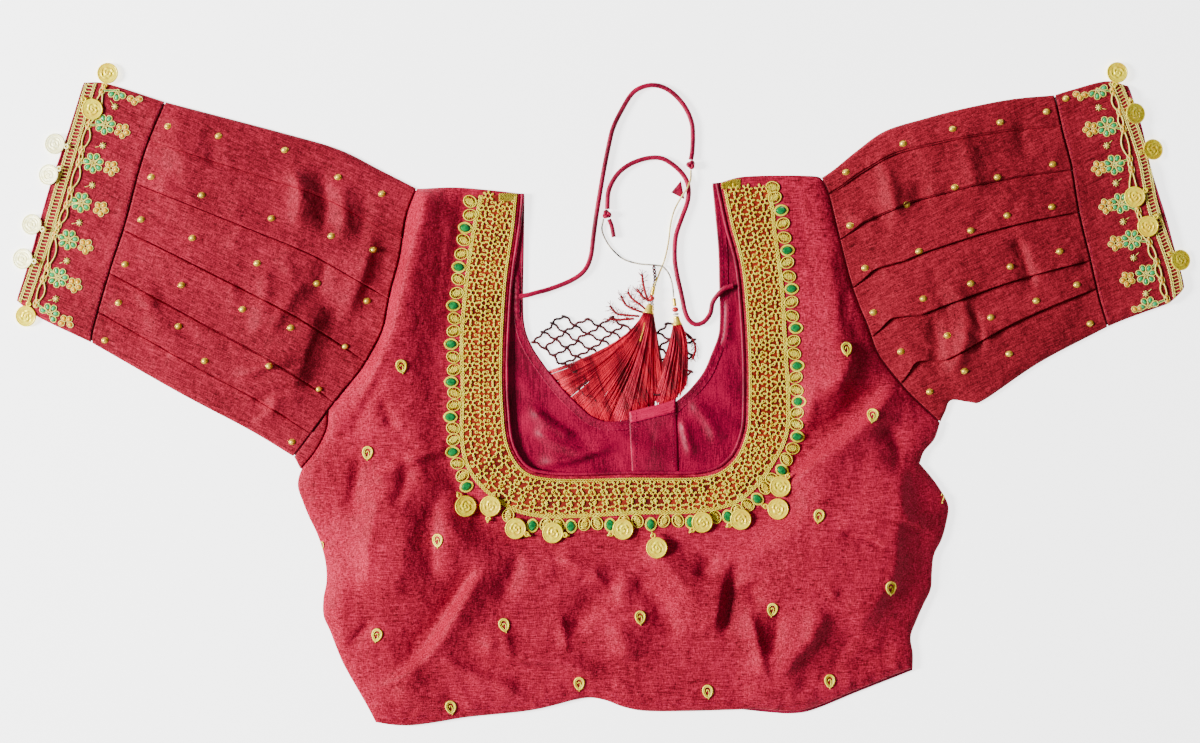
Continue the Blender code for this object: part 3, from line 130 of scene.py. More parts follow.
BAND_OUTER = [
    (-86.5, 143), (-90.5, 124), (-94, 104), (-97.5, 75.5), (-99.5, 54.5), (-100.5, 33),
    (-99.5, 5), (-100.5, -23), (-98.5, -44.5), (-90.5, -63.5), (-83.5, -72.5), (-70.5, -78.5),
    (-55, -86), (-40.5, -88), (-17, -88), (28, -85.5), (62.5, -85), (89, -81), (104.5, -73.5),
    (117, -59.5), (128.5, -44), (134, -32.5), (135.5, -4.5), (134, 22), (132.5, 48.5),
    (131, 74.5), (127.5, 103.5), (124.5, 131), (120, 153),
]
STONES = [
    (-96.5, 119), (-101, 91), (-105, 63.5), (-106.5, 36), (-106.5, 9), (-107, -16),
    (-105.5, -41), (-95.5, -65.5), (-48.5, -93.5), (-21, -94), (7, -93), (36, -92.5),
    (64.5, -91), (91, -87), (112, -74.5), (129.5, -54), (140.5, -30), (141.5, -5),
    (140.5, 20.5), (139.5, 47.5), (136.5, 75.5), (133.5, 103), (129, 131.5),
]

DORI_LEFT = [
    (-58, 70, 4.5), (-52, 71, 4.5), (-45, 73, 3.4), (-36, 75.5, 1.85), (-21, 81.5, 1.85),
    (-11.5, 88.5, 1.85), (-7, 98.5, 1.85), (-5, 113.5, 1.85), (-3, 128, 1.85),
    (-0.5, 143.5, 1.85), (2.5, 161, 1.85), (6, 178.5, 1.85), (9, 190.5, 1.85),
    (15, 203, 1.85), (23, 215.5, 1.85), (32.5, 220.5, 1.85), (42, 220.5, 1.85),
    (51.5, 215.5, 1.85), (60, 206, 1.85), (65, 195, 1.85), (66, 185, 1.85),
    (65.5, 173, 1.9), (64.5, 167.8, 2.6),
]
DORI_RIGHT = [
    (94.5, 77.5, 4.5), (89, 76, 4.5), (84, 71.5, 3.7), (80, 65.5, 2.2), (78.5, 58, 1.85),
    (74, 52, 1.85), (68, 50, 1.85), (63, 53.5, 1.85), (60.2, 60, 1.85), (58.6, 68, 1.85),
    (56.6, 77, 1.85), (54.4, 87, 1.85), (53, 98, 1.85), (53.8, 113, 1.85), (58, 126, 1.85),
    (62, 137, 1.85), (63, 146, 1.85), (61, 154, 1.85), (54.5, 162, 1.85), (44.5, 168.5, 1.85),
    (34.5, 169, 1.85), (23, 165.5, 1.85), (14, 159.5, 1.85), (8.5, 152, 1.85),
    (5.5, 144, 1.85), (4.9, 132.4, 2.6),
]
DORI_TAIL = [(6, 125.3, 2.0), (8, 120.5, 1.85), (9.5, 112.5, 1.85)]
STRING_LEFT = [
    (64.6, 160.3, 2.8), (64.2, 153, 3.6), (61, 146, 4.6), (56.5, 139, 3.9), (52.5, 131, 1.6),
    (50, 121, 0.7), (48.6, 109, 0.7), (46, 97, 0.7), (42.5, 88, 0.8), (40, 81.5, 2.2),
    (38.2, 77.4, 3.3),
]
STRING_RIGHT = [
    (2.2, 125.5, 2.3), (1, 118, 0.9), (4, 110, 0.7), (9.5, 102.5, 0.7), (17, 96.5, 0.7),
    (27, 93.5, 0.7), (35, 92.8, 0.9), (40, 92.3, 2.0), (45, 91, 2.3), (49, 86, 1.5),
    (51, 80, 1.6), (51.9, 74.2, 2.8), (52.2, 69.4, 3.3),
]
CORD_RADIUS = 1.75
STRING_RADIUS = 0.6
KNOT_LEFT = (64.5, 164.0, 3.45)
KNOT_RIGHT = (4.5, 128.6, 3.45)

Tassel = namedtuple("Tassel", "name start toward mouth fan threads bulge pink")
TASSELS = [
    # mouth: radius of the cap's open end. fan: the line that the threads reach to, from left
    # to right. bulge: how far they swell sideways. pink: the share of the fan that is paler.
    Tassel("left", (38, 76.9), (34.2, 57.5), 4.2,
           [(-38.5, 15), (-29, 0), (-19.5, -10), (-7, -17.5), (8, -20.5), (18, -19.5), (30, -13),
            (38, -6), (46, 6)], 1450, 6.0, (0.55, 0.68)),
    Tassel("right", (52.3, 68.9), (55, 49), 3.6,
           [(37, 0), (42, -7), (49, -7), (56, 0), (61, 8)], 520, 5.0, (0.1, 0.3)),
]
TASSEL_HEIGHT = 3.6
NET_EDGE = [
    (-46, 42), (-36, 43), (-26, 50), (-14, 54), (4, 53), (18, 51), (30, 46), (44, 44),
    (57, 47), (66, 38), (66, 20), (60, 8), (50, 3), (34, 5), (18, 1), (5, -3), (-8, 4),
    (-18, 15), (-30, 29),
]
NET_PITCH = (16.5, 11.0)
NET_ROWS = 14
NET_COLUMNS = 10

# ---------------------------------------------------------------- heights of the cloth

CLOTH = 1.4  # thickness of the body's cloth and lining
SLEEVE_CLOTH = 0.9
FRONT_LOW = CLOTH + 0.3
Pleat = namedtuple("Pleat", "at_armhole at_cuff")
PLEATS_LEFT = [Pleat(0.17, 0.16), Pleat(0.375, 0.34), Pleat(0.60, 0.53), Pleat(0.77, 0.71),
               Pleat(0.90, 0.87)]
PLEATS_RIGHT = [Pleat(0.06, 0.13), Pleat(0.23, 0.32), Pleat(0.41, 0.50), Pleat(0.60, 0.71),
                Pleat(0.80, 0.83)]
PLEAT_RISE = 1.9  # height of a pleat's folded edge
PLEAT_DEPTH = 0.09  # share of the sleeve's width over which a pleat climbs to its edge
PLEAT_DROP = 0.001  # and over which it falls from it
PLEAT_SLIT = 1.7  # depth of the dark gap under a pleat's folded edge
PLEAT_DIP = 1.2  # how far the cloth next to the gap sinks towards it
SLEEVE_EDGE_HEIGHT = 2.6  # of a sleeve where it is folded at its sides
SLEEVE_PUFF = 3.2  # how much more a sleeve's middle stands up
CUFF_TOP = 3.8

# A crease is a ridge, or a trough where its height is negative. Its width is given for the
# side to the left and to the right of its own direction, so that one side can be steep.
Crease = namedtuple("Crease", "name line height left right")
FRONT_CREASES = [
    Crease("diagonal_crest", [(-78, -119), (-92, -138), (-107, -163), (-122, -185), (-142, -200),
                              (-169, -213)], 3.6, 15, 2.2),
    Crease("diagonal_valley", [(-84, -115), (-99, -137), (-114, -161), (-129, -182), (-149, -196)],
           -4.2, 2.4, 16),
    Crease("left_hem_ridge", [(-122, -185), (-92, -198), (-67, -208), (-47, -221)], 3.0, 5, 9),
    Crease("left_shelf", [(-98, -172), (-63, -187), (-34, -190), (-13, -196), (6, -206)],
           4.0, 13, 3.2),
    Crease("left_bust_ridge", [(-146, -52), (-154, -82), (-154, -112), (-142, -150)], 4.6, 28, 16),
    Crease("left_bust_valley", [(-171, -42), (-175, -66), (-178, -88)], -2.6, 9, 5),
    Crease("left_bust_hollow", [(-114, -62), (-120, -100), (-118, -140)], -4.4, 6, 20),
    Crease("left_star_upper", [(-142, -49), (-124, -43), (-104, -37)], 2.0, 5, 3.0),
    Crease("left_star_lower", [(-161, -61), (-150, -54), (-139, -47)], 1.8, 3.0, 5),
    Crease("left_star_down", [(-137, -50), (-140, -66), (-150, -84)], -1.6, 4, 6),
    Crease("left_side_crease", [(-213, -82), (-201, -88), (-187, -94)], -1.6, 3, 6),
    Crease("left_side_line", [(-184, -183), (-171, -169), (-161, -158)], -1.7, 2, 6),
    Crease("left_side_swell", [(-160, -100), (-163, -121), (-172, -142)], 1.6, 8, 9),
    Crease("middle_left_valley", [(-57, -109), (-63, -130), (-72, -151)], -2.4, 6, 9),
    Crease("middle_left_ridge", [(-34, -115), (-7, -127), (7, -138)], 2.6, 7, 2.4),
    Crease("middle_valley", [(18, -129), (-6, -153), (-23, -174)], -3.4, 5, 12),
    Crease("middle_accent", [(-1, -152), (7, -148), (15, -145)], -1.3, 1.4, 2.2),
    Crease("middle_lower_crease", [(-30, -154), (-26, -169), (-22, -183)], 1.5, 2.2, 5),
    Crease("below_motif_left", [(-69, -167), (-66, -178), (-61, -188)], 1.2, 1.8, 3),
    Crease("below_motif_far", [(-74, -171), (-79, -181), (-81, -190)], 1.5, 4, 5),
    Crease("right_dart_valley", [(99, -112), (93, -140), (88, -180)], -2.4, 9, 4.0),
    Crease("right_dart_ridge", [(87, -128), (84, -150), (79, -172)], 2.3, 4.0, 12),
    Crease("right_dart_edge", [(104, -150), (109, -165), (113, -182), (118, -207)], 2.6, 4, 6),
    Crease("right_dart_spot", [(79, -112), (76, -121), (70, -131)], -2.2, 7, 6),
    Crease("right_dart_hollow", [(104, -134), (109, -143), (112, -152)], -2.4, 6, 7),
    Crease("centre_ridge", [(28, -104), (54, -129), (76, -159)], 3.0, 12, 7),
    Crease("centre_valley", [(20, -127), (42, -147), (56, -177)], -3.2, 6, 11),
    Crease("centre_hem_ridge", [(9, -160), (16, -176), (20, -192)], 2.6, 11, 9),
    Crease("hem_short", [(9, -202), (15, -206), (22, -209)], 1.5, 2, 3),
    Crease("right_arc_ridge", [(155, -142), (154, -166), (138, -187), (123, -207)], 4.2, 7, 12),
    Crease("right_arc_valley", [(160, -210), (171, -187), (184, -160)], -1.2, 8, 9),
    Crease("right_wedge", [(125, -150), (126, -170), (121, -190)], -2.4, 4, 7),
    Crease("right_short_bright", [(157, -130), (163, -138), (168, -146)], 1.7, 1.8, 2.4),
    Crease("right_fan_crease", [(167, -98), (187, -101), (206, -109)], -1.9, 2.2, 4.5),
    Crease("right_side_crease", [(183, -86), (206, -85), (220, -90), (240, -98)], 2.4, 9, 1.8),
    Crease("right_side_roll", [(217, -22), (213, -60), (208, -98), (205, -126), (189, -154),
                               (172, -184)], 5.0, 12, 34),
    Crease("armpit_ridge", [(216, 12), (183, -25), (153, -47), (120, -78)], 5.4, 18, 2.0),
    Crease("armpit_valley", [(210, 16), (177, -18), (147, -41), (114, -71)], -5.0, 2.4, 12),
    Crease("armpit_chest", [(190, 44), (166, 10), (140, -16), (108, -46)], 4.4, 14, 22),
    Crease("armpit_inner", [(150, 2), (136, -16), (124, -36)], 1.8, 8, 4),
    Crease("armpit_hollow", [(197, -18), (212, -37), (211, -60)], -2.8, 8, 7),
    Crease("armpit_upper", [(183, 40), (176, 18), (163, -4)], 2.0, 6, 9),
    Crease("left_armhole_valley", [(-149, 24), (-166, -6), (-181, -36)], -1.4, 5, 5),
    Crease("left_armhole_roll", [(-116, 185), (-124, 142), (-136, 97), (-147, 53), (-165, 5),
                                 (-182, -24)], 6.0, 25, 6),
    Crease("left_armhole_short", [(-156, -1), (-151, -15), (-145, -27)], -1.6, 3, 5),
    Crease("right_chest_swell", [(162, 110), (170, 60), (176, 20)], 2.4, 9, 24),
    Crease("left_edge_swell", [(-182, -110), (-190, -150), (-180, -190)], 2.4, 12, 14),
    Crease("left_hem_lift", [(-150, -212), (-128, -216), (-106, -221)], 1.8, 7, 7),
    Crease("right_hem_trough", [(176, -196), (196, -186), (214, -176)], -1.4, 6, 8),
    Crease("right_hem_swell", [(100, -214), (124, -211), (146, -203)], 2.0, 6, 8),
]
Dome = namedtuple("Dome", "centre height radius")
DOMES = [Dome((-124, -104), 9.0, 50.0), Dome((150, -112), 9.0, 52.0),
         Dome((24, -180), 1.8, 17.0), Dome((118, -196), 2.2, 15.0)]
EASE = 3.6  # how much the whole front stands up over the back
EASE_REACH = 11.0  # over this it rises from its edge
ARMHOLE_REACH = 3.5  # less at the left armhole, where the seam holds the front up
BAND_REACH = 34.0  # from the neckline to the outside of the stiff band
BAND_CLEAR = 14.0  # beyond that, the front swells up
CREASE_CLEAR = 5.0  # and is creased
MOST_RAISED = 15.6
UNDER_BAND_LIFT = 1.5
HEM_FOLD = 5.5  # the stitched line above the hem

SLEEVE_LEFT_CREASES = [
    Crease("shoulder_ridge", [(-223, 166), (-214, 145), (-217, 116)], 2.8, 11, 5),
    Crease("shoulder_trough", [(-200, 166), (-196, 140), (-195, 110)], -2.0, 6, 9),
    Crease("lower_ridge", [(-237, 96), (-240, 66), (-246, 36)], 1.5, 8, 5),
    Crease("armhole_swell", [(-160, 120), (-170, 84), (-184, 50)], 2.4, 5, 11),
    Crease("cuff_pull_upper", [(-318, 150), (-300, 142), (-283, 140)], 1.2, 5, 4),
    Crease("cuff_pull_lower", [(-352, 66), (-332, 62), (-312, 64)], 1.2, 5, 5),
    Crease("elbow_hook", [(-232, 4), (-235, -11), (-250, -23)], 2.0, 6, 2.4),
    Crease("elbow_crease", [(-262, 10), (-236, 20), (-214, 26)], 1.7, 6, 2.4),
    Crease("elbow_trough", [(-252, -8), (-228, 2), (-206, 4)], -1.6, 5, 4),
    Crease("upper_dent", [(-281, 196), (-277, 178), (-274, 158)], -1.2, 7, 6),
    Crease("lower_bright", [(-210, 86), (-221, 66), (-238, 40)], 1.8, 5, 9),
    Crease("below_shoulder", [(-196, 104), (-199, 84), (-204, 64)], -1.4, 6, 6),
    Crease("armhole_wave", [(-186, 158), (-183, 130), (-185, 104)], 1.3, 6, 5),
    Crease("armhole_dent", [(-170, 150), (-168, 128), (-173, 100)], -1.0, 5, 6),
    Crease("cuff_wave_upper", [(-318, 190), (-306, 168), (-312, 140)], 1.0, 7, 9),
    Crease("cuff_wave_lower", [(-334, 76), (-318, 60), (-316, 40)], 1.1, 8, 6),
    Crease("middle_wave", [(-262, 150), (-258, 122), (-264, 92)], 0.9, 10, 8),
    Crease("lower_swell", [(-200, 74), (-206, 46), (-216, 14), (-226, -16)], 3.0, 8, 38),
    Crease("upper_swell", [(-306, 214), (-300, 184), (-294, 140)], 2.4, 44, 9),
]
SLEEVE_RIGHT_CREASES = [
    Crease("shoulder_ridge", [(199, 178), (206, 150), (212, 118)], 2.0, 7, 6),
    Crease("shoulder_trough", [(219, 186), (226, 160), (229, 130)], -1.5, 7, 7),
    Crease("middle_ridge", [(258, 194), (262, 168), (270, 138)], 1.9, 9, 8),
    Crease("sharp_edge", [(292, 116), (301, 104), (311, 71)], -1.9, 2.0, 8),
    Crease("lower_ridge", [(248, 84), (262, 56), (281, 30)], 1.6, 7, 6),
    Crease("armpit_pull", [(250, 10), (258, 34), (262, 58)], 1.9, 4, 6),
    Crease("armpit_trough", [(238, 8), (240, 34), (236, 62)], -1.9, 6, 6),
    Crease("elbow_dark", [(263, 66), (270, 49), (272, 30)], -1.6, 2.4, 6),
    Crease("cuff_pull", [(345, 96), (326, 90), (306, 88)], 1.1, 5, 5),
    Crease("upper_dent", [(300, 208), (301, 186), (304, 164)], -1.1, 8, 7),
    Crease("upper_swell", [(222, 204), (224, 176), (228, 140)], 2.2, 40, 8),
]
LINING_CREASES = [
    Crease("fold_left", [(-52, -6), (-34, -21), (-15, -33)], 1.0, 1.8, 7),
    Crease("fold_left_low", [(-50, -25), (-28, -37), (-8, -41)], 0.9, 6, 2.0),
    Crease("pocket_fold", [(-48, -51), (-20, -47), (-3, -41), (17, -39)], 1.2, 8, 1.8),
    Crease("beside_placket", [(58, -15), (61, -31), (66, -47)], 0.9, 5, 1.8),
    Crease("fold_right", [(62, -2), (76, -18), (86, -38)], 0.9, 6, 4),
    Crease("strap_left", [(-60, 96), (-59, 70), (-58, 48)], 0.5, 3, 3),
    Crease("strap_right", [(88, 30), (91, 50), (92, 72)], 0.6, 3, 3),
]
# How many times deeper the creases are made than their tables say.
FRONT_DEPTH = 1.75
SLEEVE_DEPTH = 2.1
LINING_DEPTH = 4.0
CREASE_POWER = 1.5  # shape of a crease's section: 2 is a soft bell, 1 a sharp ridge
CREASE_FADE = 0.28  # share of its length over which a crease fades at each end
CREASE_SPAN = 3.2  # widths from a crease's line within which it counts


# ---------------------------------------------------------------- lines and areas

def array(points):
    """The points as an array of floating-point numbers."""
    return np.array(points, dtype=float)


def pointing(heading):
    """The flat direction of a heading."""
    return array([math.cos(heading), math.sin(heading)])


def full_turn(count):
    """Evenly spaced angles all round a circle."""
    return np.linspace(0, 2 * math.pi, count, endpoint=False)


def level_at(height):
    """A height that is the same at all flat points."""
    return lambda flat: np.full(len(flat), height)


def lengths_along(line):
    """The length of a polyline up to each of its points."""
    steps = np.linalg.norm(np.diff(line, axis=0), axis=1)
    return np.concatenate([[0.0], np.cumsum(steps)])


def resampled(line, count):
    """Evenly spaced points along a polyline."""
    line = array(line)
    along = lengths_along(line)
    at = np.linspace(0, along[-1], count)
    return np.stack([np.interp(at, along, line[:, k]) for k in range(line.shape[1])], axis=1)


def smooth_line(points, step):
    """Points about step apart on the Catmull-Rom curve through the given ones."""
    p = array(points)
    p = np.vstack([2 * p[0] - p[1], p, 2 * p[-1] - p[-2]])
    t = np.linspace(0, 1, 12, endpoint=False)[:, None]
    fine = [0.5 * (2 * b + (c - a) * t + (2 * a - 5 * b + 4 * c - d) * t**2
                   + (3 * b - a - 3 * c + d) * t**3)
            for a, b, c, d in zip(p, p[1:], p[2:], p[3:])]
    fine = np.vstack(fine + [p[-2:-1]])
    return resampled(fine, max(2, int(round(lengths_along(fine)[-1] / step)) + 1))


def line_at(points, shares):
    """Points at the given shares of the smooth curve's length."""
    line = smooth_line(points, 1.0)
    along = lengths_along(line)
    at = np.asarray(shares) * along[-1]
    return np.stack([np.interp(at, along, line[:, k]) for k in range(line.shape[1])], axis=1)


def beside(line, distance):
    """The line moved sideways; a positive distance is to its left."""
    line = array(line)
    direction = np.gradient(line[:, :2], axis=0)
    direction /= np.linalg.norm(direction, axis=1)[:, None]
    moved = line.copy()
    moved[:, 0] -= direction[:, 1] * distance
    moved[:, 1] += direction[:, 0] * distance
    return moved


def nearest_on(points, line):
    """Each point's signed distance to a polyline, left positive, and its share along it."""
    points, line = array(points), array(line)
    along = lengths_along(line)
    a, b = line[:-1], line[1:]
    best = np.full(len(points), np.inf)
    signed, share = np.zeros(len(points)), np.zeros(len(points))
    for k in range(len(a)):
        run = b[k] - a[k]
        size = max(float(run @ run), 1e-9)
        t = np.clip((points - a[k]) @ run / size, 0, 1)
        away = points - a[k] - t[:, None] * run
        distance = np.linalg.norm(away, axis=1)
        side = np.sign(run[0] * away[:, 1] - run[1] * away[:, 0])
        nearer = distance < best
        best[nearer] = distance[nearer]
        signed[nearer] = (side * distance)[nearer]
        share[nearer] = ((along[k] + t * math.sqrt(size)) / along[-1])[nearer]
    return signed, share


def distance_to(points, line):
    """Each point's distance to a polyline."""
    return np.abs(nearest_on(points, line)[0])


def inside(points, outline):
    """True for each point inside the closed outline."""
    points, a = array(points), array(outline)
    b = np.roll(a, -1, axis=0)
    found = np.zeros(len(points), bool)
    for (ax, ay), (bx, by) in zip(a, b):
        if ay == by:
            continue
        crosses = (ay > points[:, 1]) != (by > points[:, 1])
        meets = ax + (points[:, 1] - ay) * (bx - ax) / (by - ay)
        found ^= crosses & (points[:, 0] < meets)
    return found


def eased(x):
    """0 up to 0, 1 from 1, and a smooth rise between."""
    x = np.clip(x, 0, 1)
    return x * x * (3 - 2 * x)


def area_of(outline):
    """The area inside a closed outline, in square metres."""
    x, y = array(outline).T
    return abs(float(np.dot(x, np.roll(y, -1)) - np.dot(y, np.roll(x, -1)))) / 2 * MM * MM


def crease_height(flat, creases, depth=1.0):
    """Height of all the creases at flat points, times depth. Each fades towards its ends."""
    height = np.zeros(len(flat))
    for crease in creases:
        line = smooth_line(crease.line, 3.0)
        reach = CREASE_SPAN * max(crease.left, crease.right)
        low, high = line.min(0) - reach, line.max(0) + reach
        near = ((flat > low) & (flat < high)).all(axis=1)
        if not near.any():
            continue
        signed, share = nearest_on(flat[near], line)
        width = np.where(signed > 0, crease.left, crease.right)
        fade = eased(share / CREASE_FADE) * eased((1 - share) / CREASE_FADE)
        section = np.exp(-(np.abs(signed / width) ** CREASE_POWER))
        height[near] += crease.height * fade * section
    return height * depth


# ---------------------------------------------------------------- pieces

def make_piece(name, points, faces, material, smooth=True, outward=False):
    """A mesh piece from points in millimetres, which rides on the blouse."""
    mesh = bpy.data.meshes.new(name)
    mesh.from_pydata(((array(points) + CENTRE_SHIFT) * MM).tolist(), [], faces)
    if outward:
        shape = bmesh.new()
        shape.from_mesh(mesh)
        bmesh.ops.recalc_face_normals(shape, faces=shape.faces)
        shape.to_mesh(mesh)
        shape.free()
    mesh.materials.append(material)
    if smooth:
        mesh.shade_smooth()
    made = bpy.data.objects.new(name, mesh)
    bpy.context.collection.objects.link(made)
    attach(made, "root")
    return made


def ring_faces(rings, sides):
    """Quads that join each ring of points to the next, with this many points to a ring."""
    return [(r * sides + k, r * sides + (k + 1) % sides, (r + 1) * sides + (k + 1) % sides,
             (r + 1) * sides + k) for r in range(rings - 1) for k in range(sides)]


class Gathered:
    """Many small shapes gathered into one mesh."""

    def __init__(self):
        self.points, self.faces, self.count = [], [], 0

    def add(self, points, faces):
        """Takes in one more shape."""
        self.points.append(array(points))
        self.faces += [tuple(int(i) + self.count for i in f) for f in faces]
        self.count += len(points)

    def tube(self, line, radius, closed=False, sides=3):
        """A thread along a line of points: a tube with its first corner on top."""
        line = array(line)
        count = len(line)
        if closed:
            heading = np.roll(line, -1, axis=0) - np.roll(line, 1, axis=0)
        else:
            heading = np.gradient(line, axis=0)
        heading /= np.maximum(np.linalg.norm(heading, axis=1), 1e-9)[:, None]
        side = np.cross(heading, (0.0, 0.0, 1.0))
        side /= np.maximum(np.linalg.norm(side, axis=1), 1e-9)[:, None]
        up = np.cross(side, heading)
        radius = np.broadcast_to(np.asarray(radius, float), (count,))[:, None]
        rings = []
        for k in range(sides):
            angle = math.pi / 2 + 2 * math.pi * k / sides
            rings.append(line + radius * (math.cos(angle) * side + math.sin(angle) * up))
        points = np.stack(rings, axis=1).reshape(-1, 3)
        faces = []
        for r in range(count if closed else count - 1):
            n = (r + 1) % count
            for k in range(sides):
                m = (k + 1) % sides
                faces.append((r * sides + m, r * sides + k, n * sides + k, n * sides + m))
        if not closed:
            faces.append(tuple(range(sides)))
            faces.append(tuple(range(count * sides - 1, (count - 1) * sides - 1, -1)))
        self.add(points, faces)

    def dome(self, centre, heading, long_half, wide_half, height, rings=4, sides=14):
        """A low oval dome with a flat foot; heading is the direction of its long axis."""
        ahead = pointing(heading)
        across = array([-ahead[1], ahead[0]])
        points = []
        for r in range(rings):
            lift = math.pi / 2 * r / rings
            for k in range(sides):
                turn = 2 * math.pi * k / sides
                flat = (long_half * math.cos(turn) * ahead + wide_half * math.sin(turn) * across)
                spot = array(centre[:2]) + flat * math.cos(lift)
                points.append((*spot, centre[2] + height * math.sin(lift)))
        points.append((centre[0], centre[1], centre[2] + height))
        faces = ring_faces(rings, sides)
        top = rings * sides
        faces += [(top - sides + k, top - sides + (k + 1) % sides, top) for k in range(sides)]
        faces.append(tuple(range(sides - 1, -1, -1)))
        self.add(points, faces)

    def piece(self, name, material, slot, smooth=True):
        """All the gathered shapes as one piece."""
        made = make_piece(name, np.vstack(self.points), self.faces, material, smooth)
        return made


ABOVE_ALL = 0.1  # metres: heights of the cloth are felt for from here downwards
TOP_FACE = 0.05  # a face whose normal points up at least this much is seen from above


class Ground:
    """What embroidery lies on: it gives the height of the cloth at flat points."""

    def __init__(self, pieces):
        points, faces = [], []
        for piece in pieces:
            first = len(points)
            points += [v.co.copy() for v in piece.data.vertices]
            faces += [tuple(first + i for i in p.vertices) for p in piece.data.polygons]
        self.tree = BVHTree.FromPolygons(points, faces)

    def height(self, flat):
        """The cloth's height at each flat point, 0 where there is none."""
        found = []
        for x, y in flat:
            start = Vector(((x + CENTRE_SHIFT[0]) * MM, (y + CENTRE_SHIFT[1]) * MM, ABOVE_ALL))
            hit = self.tree.ray_cast(start, Vector((0, 0, -1)))[0]
            found.append(0.0 if hit is None else hit.z / MM)
        return array(found)

    def laid(self, flat, lift):
        """The flat points, on the cloth and a little above it."""
        flat = array(flat)
        return np.column_stack([flat, self.height(flat) + lift])


def triangulated(outline, inner):
    """Triangles over the outline's area through the inner points."""
    points = [Vector(p) for p in outline] + [Vector(p) for p in inner]
    edges = [(i, (i + 1) % len(outline)) for i in range(len(outline))]
    flat, _, faces, *_ = delaunay_2d_cdt(points, edges, [], 1, 1e-6)
    return array([tuple(p) for p in flat]), np.array([tuple(f) for f in faces])


def wall(flat, faces, low, high):
    """Points and faces of a closed wall between two heights over the same triangles."""
    count = len(flat)
    points = np.vstack([np.column_stack([flat, high]), np.column_stack([flat, low])])
    sides = {}
    for a, b, c in faces.tolist():
        for edge in ((a, b), (b, c), (c, a)):
            if edge[::-1] in sides:
                del sides[edge[::-1]]
            else:
                sides[edge] = True
    made = faces.tolist() + (faces[:, ::-1] + count).tolist()
    for a, b in sides:
        made += [(b, a, a + count), (b, a + count, b + count)]
    return points, made


def node_outline(frame, node, step):
    """The outline of a flat node seen from above, smooth between its corners."""
    mesh = frame["nodes"][node].data
    spots, index = {}, []
    for vertex in mesh.vertices:
        key = tuple(round(c, 6) for c in vertex.co)
        index.append(spots.setdefault(key, len(spots)))
    places = array(list(spots)) / MM - CENTRE_SHIFT
    edges = {}
    for face in mesh.polygons:
        if face.normal.z < TOP_FACE:
            continue
        corners = [index[v] for v in face.vertices]
        for a, b in zip(corners, corners[1:] + corners[:1]):
            if (b, a) in edges:
                del edges[(b, a)]
            else:
                edges[(a, b)] = True
    follows = {a: b for a, b in edges}
    start = next(iter(follows))
    loop, here = [start], follows[start]
    while here != start:
        loop.append(here)
        here = follows[here]
    return smooth_loop(places[loop][:, :2], step)


CORNER_TURN = math.radians(33)  # an outline that turns more than this has a corner there


def smooth_loop(loop, step):
    """A closed loop through the given points: smooth, but for its real corners."""
    before = loop - np.roll(loop, 1, axis=0)
    after = np.roll(loop, -1, axis=0) - loop
    turn = np.arctan2(before[:, 0] * after[:, 1] - before[:, 1] * after[:, 0],
                      (before * after).sum(1))
    corners = np.nonzero(np.abs(turn) > CORNER_TURN)[0]
    if not len(corners):
        corners = np.array([0])
    loop = np.roll(loop, -corners[0], axis=0)
    corners = list(corners - corners[0]) + [len(loop)]
    loop = np.vstack([loop, loop[:1]])
    parts = [smooth_line(loop[a:b + 1], step)[:-1] for a, b in zip(corners, corners[1:])]
    return np.vstack(parts)


def grid_inside(outline, step, clear):
    """Points of a triangular grid inside the outline and clear of it."""
    low, high = outline.min(0), outline.max(0)
    rows = np.arange(low[1], high[1], step * math.sqrt(0.75))  # rows of even triangles
    across = np.arange(low[0], high[0], step)
    points = np.vstack([np.column_stack([across + (k % 2) * step / 2, np.full(len(across), y)])
                        for k, y in enumerate(rows)])
    points = points[inside(points, outline)]
    return points[distance_to(points, np.vstack([outline, outline[:1]])) > clear]


EDGE_ROLL = 0.9  # width of a panel's rolled edge
EDGE_DROP = 0.5  # how much lower a panel's top is at its very edge
LEAST_THICK = 0.3


def cloth_panel(name, node, outline, top, thick, step, material, slot, low_limit=0.0):
    """A fine closed shell of cloth with a rolled edge, in place of its node."""
    closed = np.vstack([outline, outline[:1]])
    rim = beside(closed, EDGE_ROLL)[:-1]
    rim = rim[inside(rim, outline)]
    rim = rim[distance_to(rim, closed) > EDGE_ROLL * 0.8]
    inner = np.vstack([rim, grid_inside(outline, step, EDGE_ROLL + step * 0.45)])
    flat, faces = triangulated(outline, inner)
    edge = distance_to(flat, closed) < EDGE_ROLL * 0.3
    high = top(flat)
    low = np.maximum(high - thick, low_limit)
    high = high - EDGE_DROP * edge
    points, made = wall(flat, faces, np.minimum(low, high - LEAST_THICK), high)
    piece = make_piece(name, points, made, material, outward=True)
    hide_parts(node)
    return piece


def lay_sheet(outline, rests_on, strip_width=None):
    """Works out the size of a flat panel's cut, a strip's by its width, and keeps nothing."""
    size = (array(outline).max(0) - array(outline).min(0)) * MM
    if strip_width is not None:
        size[1] = strip_width * MM
    min(area_of(outline), float(size[0] * size[1]))
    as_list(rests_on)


# ---------------------------------------------------------------- materials

Tones = namedtuple("Tones", "dark middle light")
SILK_BODY = Tones((0.085, 0.003, 0.006), (0.29, 0.0085, 0.026), (0.55, 0.018, 0.066))
# The sleeves' silk is the body's own; its darker tones are painted shade.
SILK_LEFT_SHADED = Tones((0.068, 0.003, 0.005), (0.21, 0.0090, 0.020), (0.42, 0.020, 0.049))
SILK_RIGHT_SHADED = Tones((0.066, 0.003, 0.005), (0.21, 0.0090, 0.018), (0.40, 0.020, 0.041))
SATIN_LIGHT = (0.38, 0.0006, 0.042)
SATIN_DARK = (0.09, 0.0002, 0.009)
GOLD_LIGHT = (1.0, 0.92, 0.10)
GOLD_DARK = (0.84, 0.60, 0.01)
PALE_LIGHT = (1.0, 0.94, 0.26)
PALE_DARK = (0.88, 0.70, 0.09)
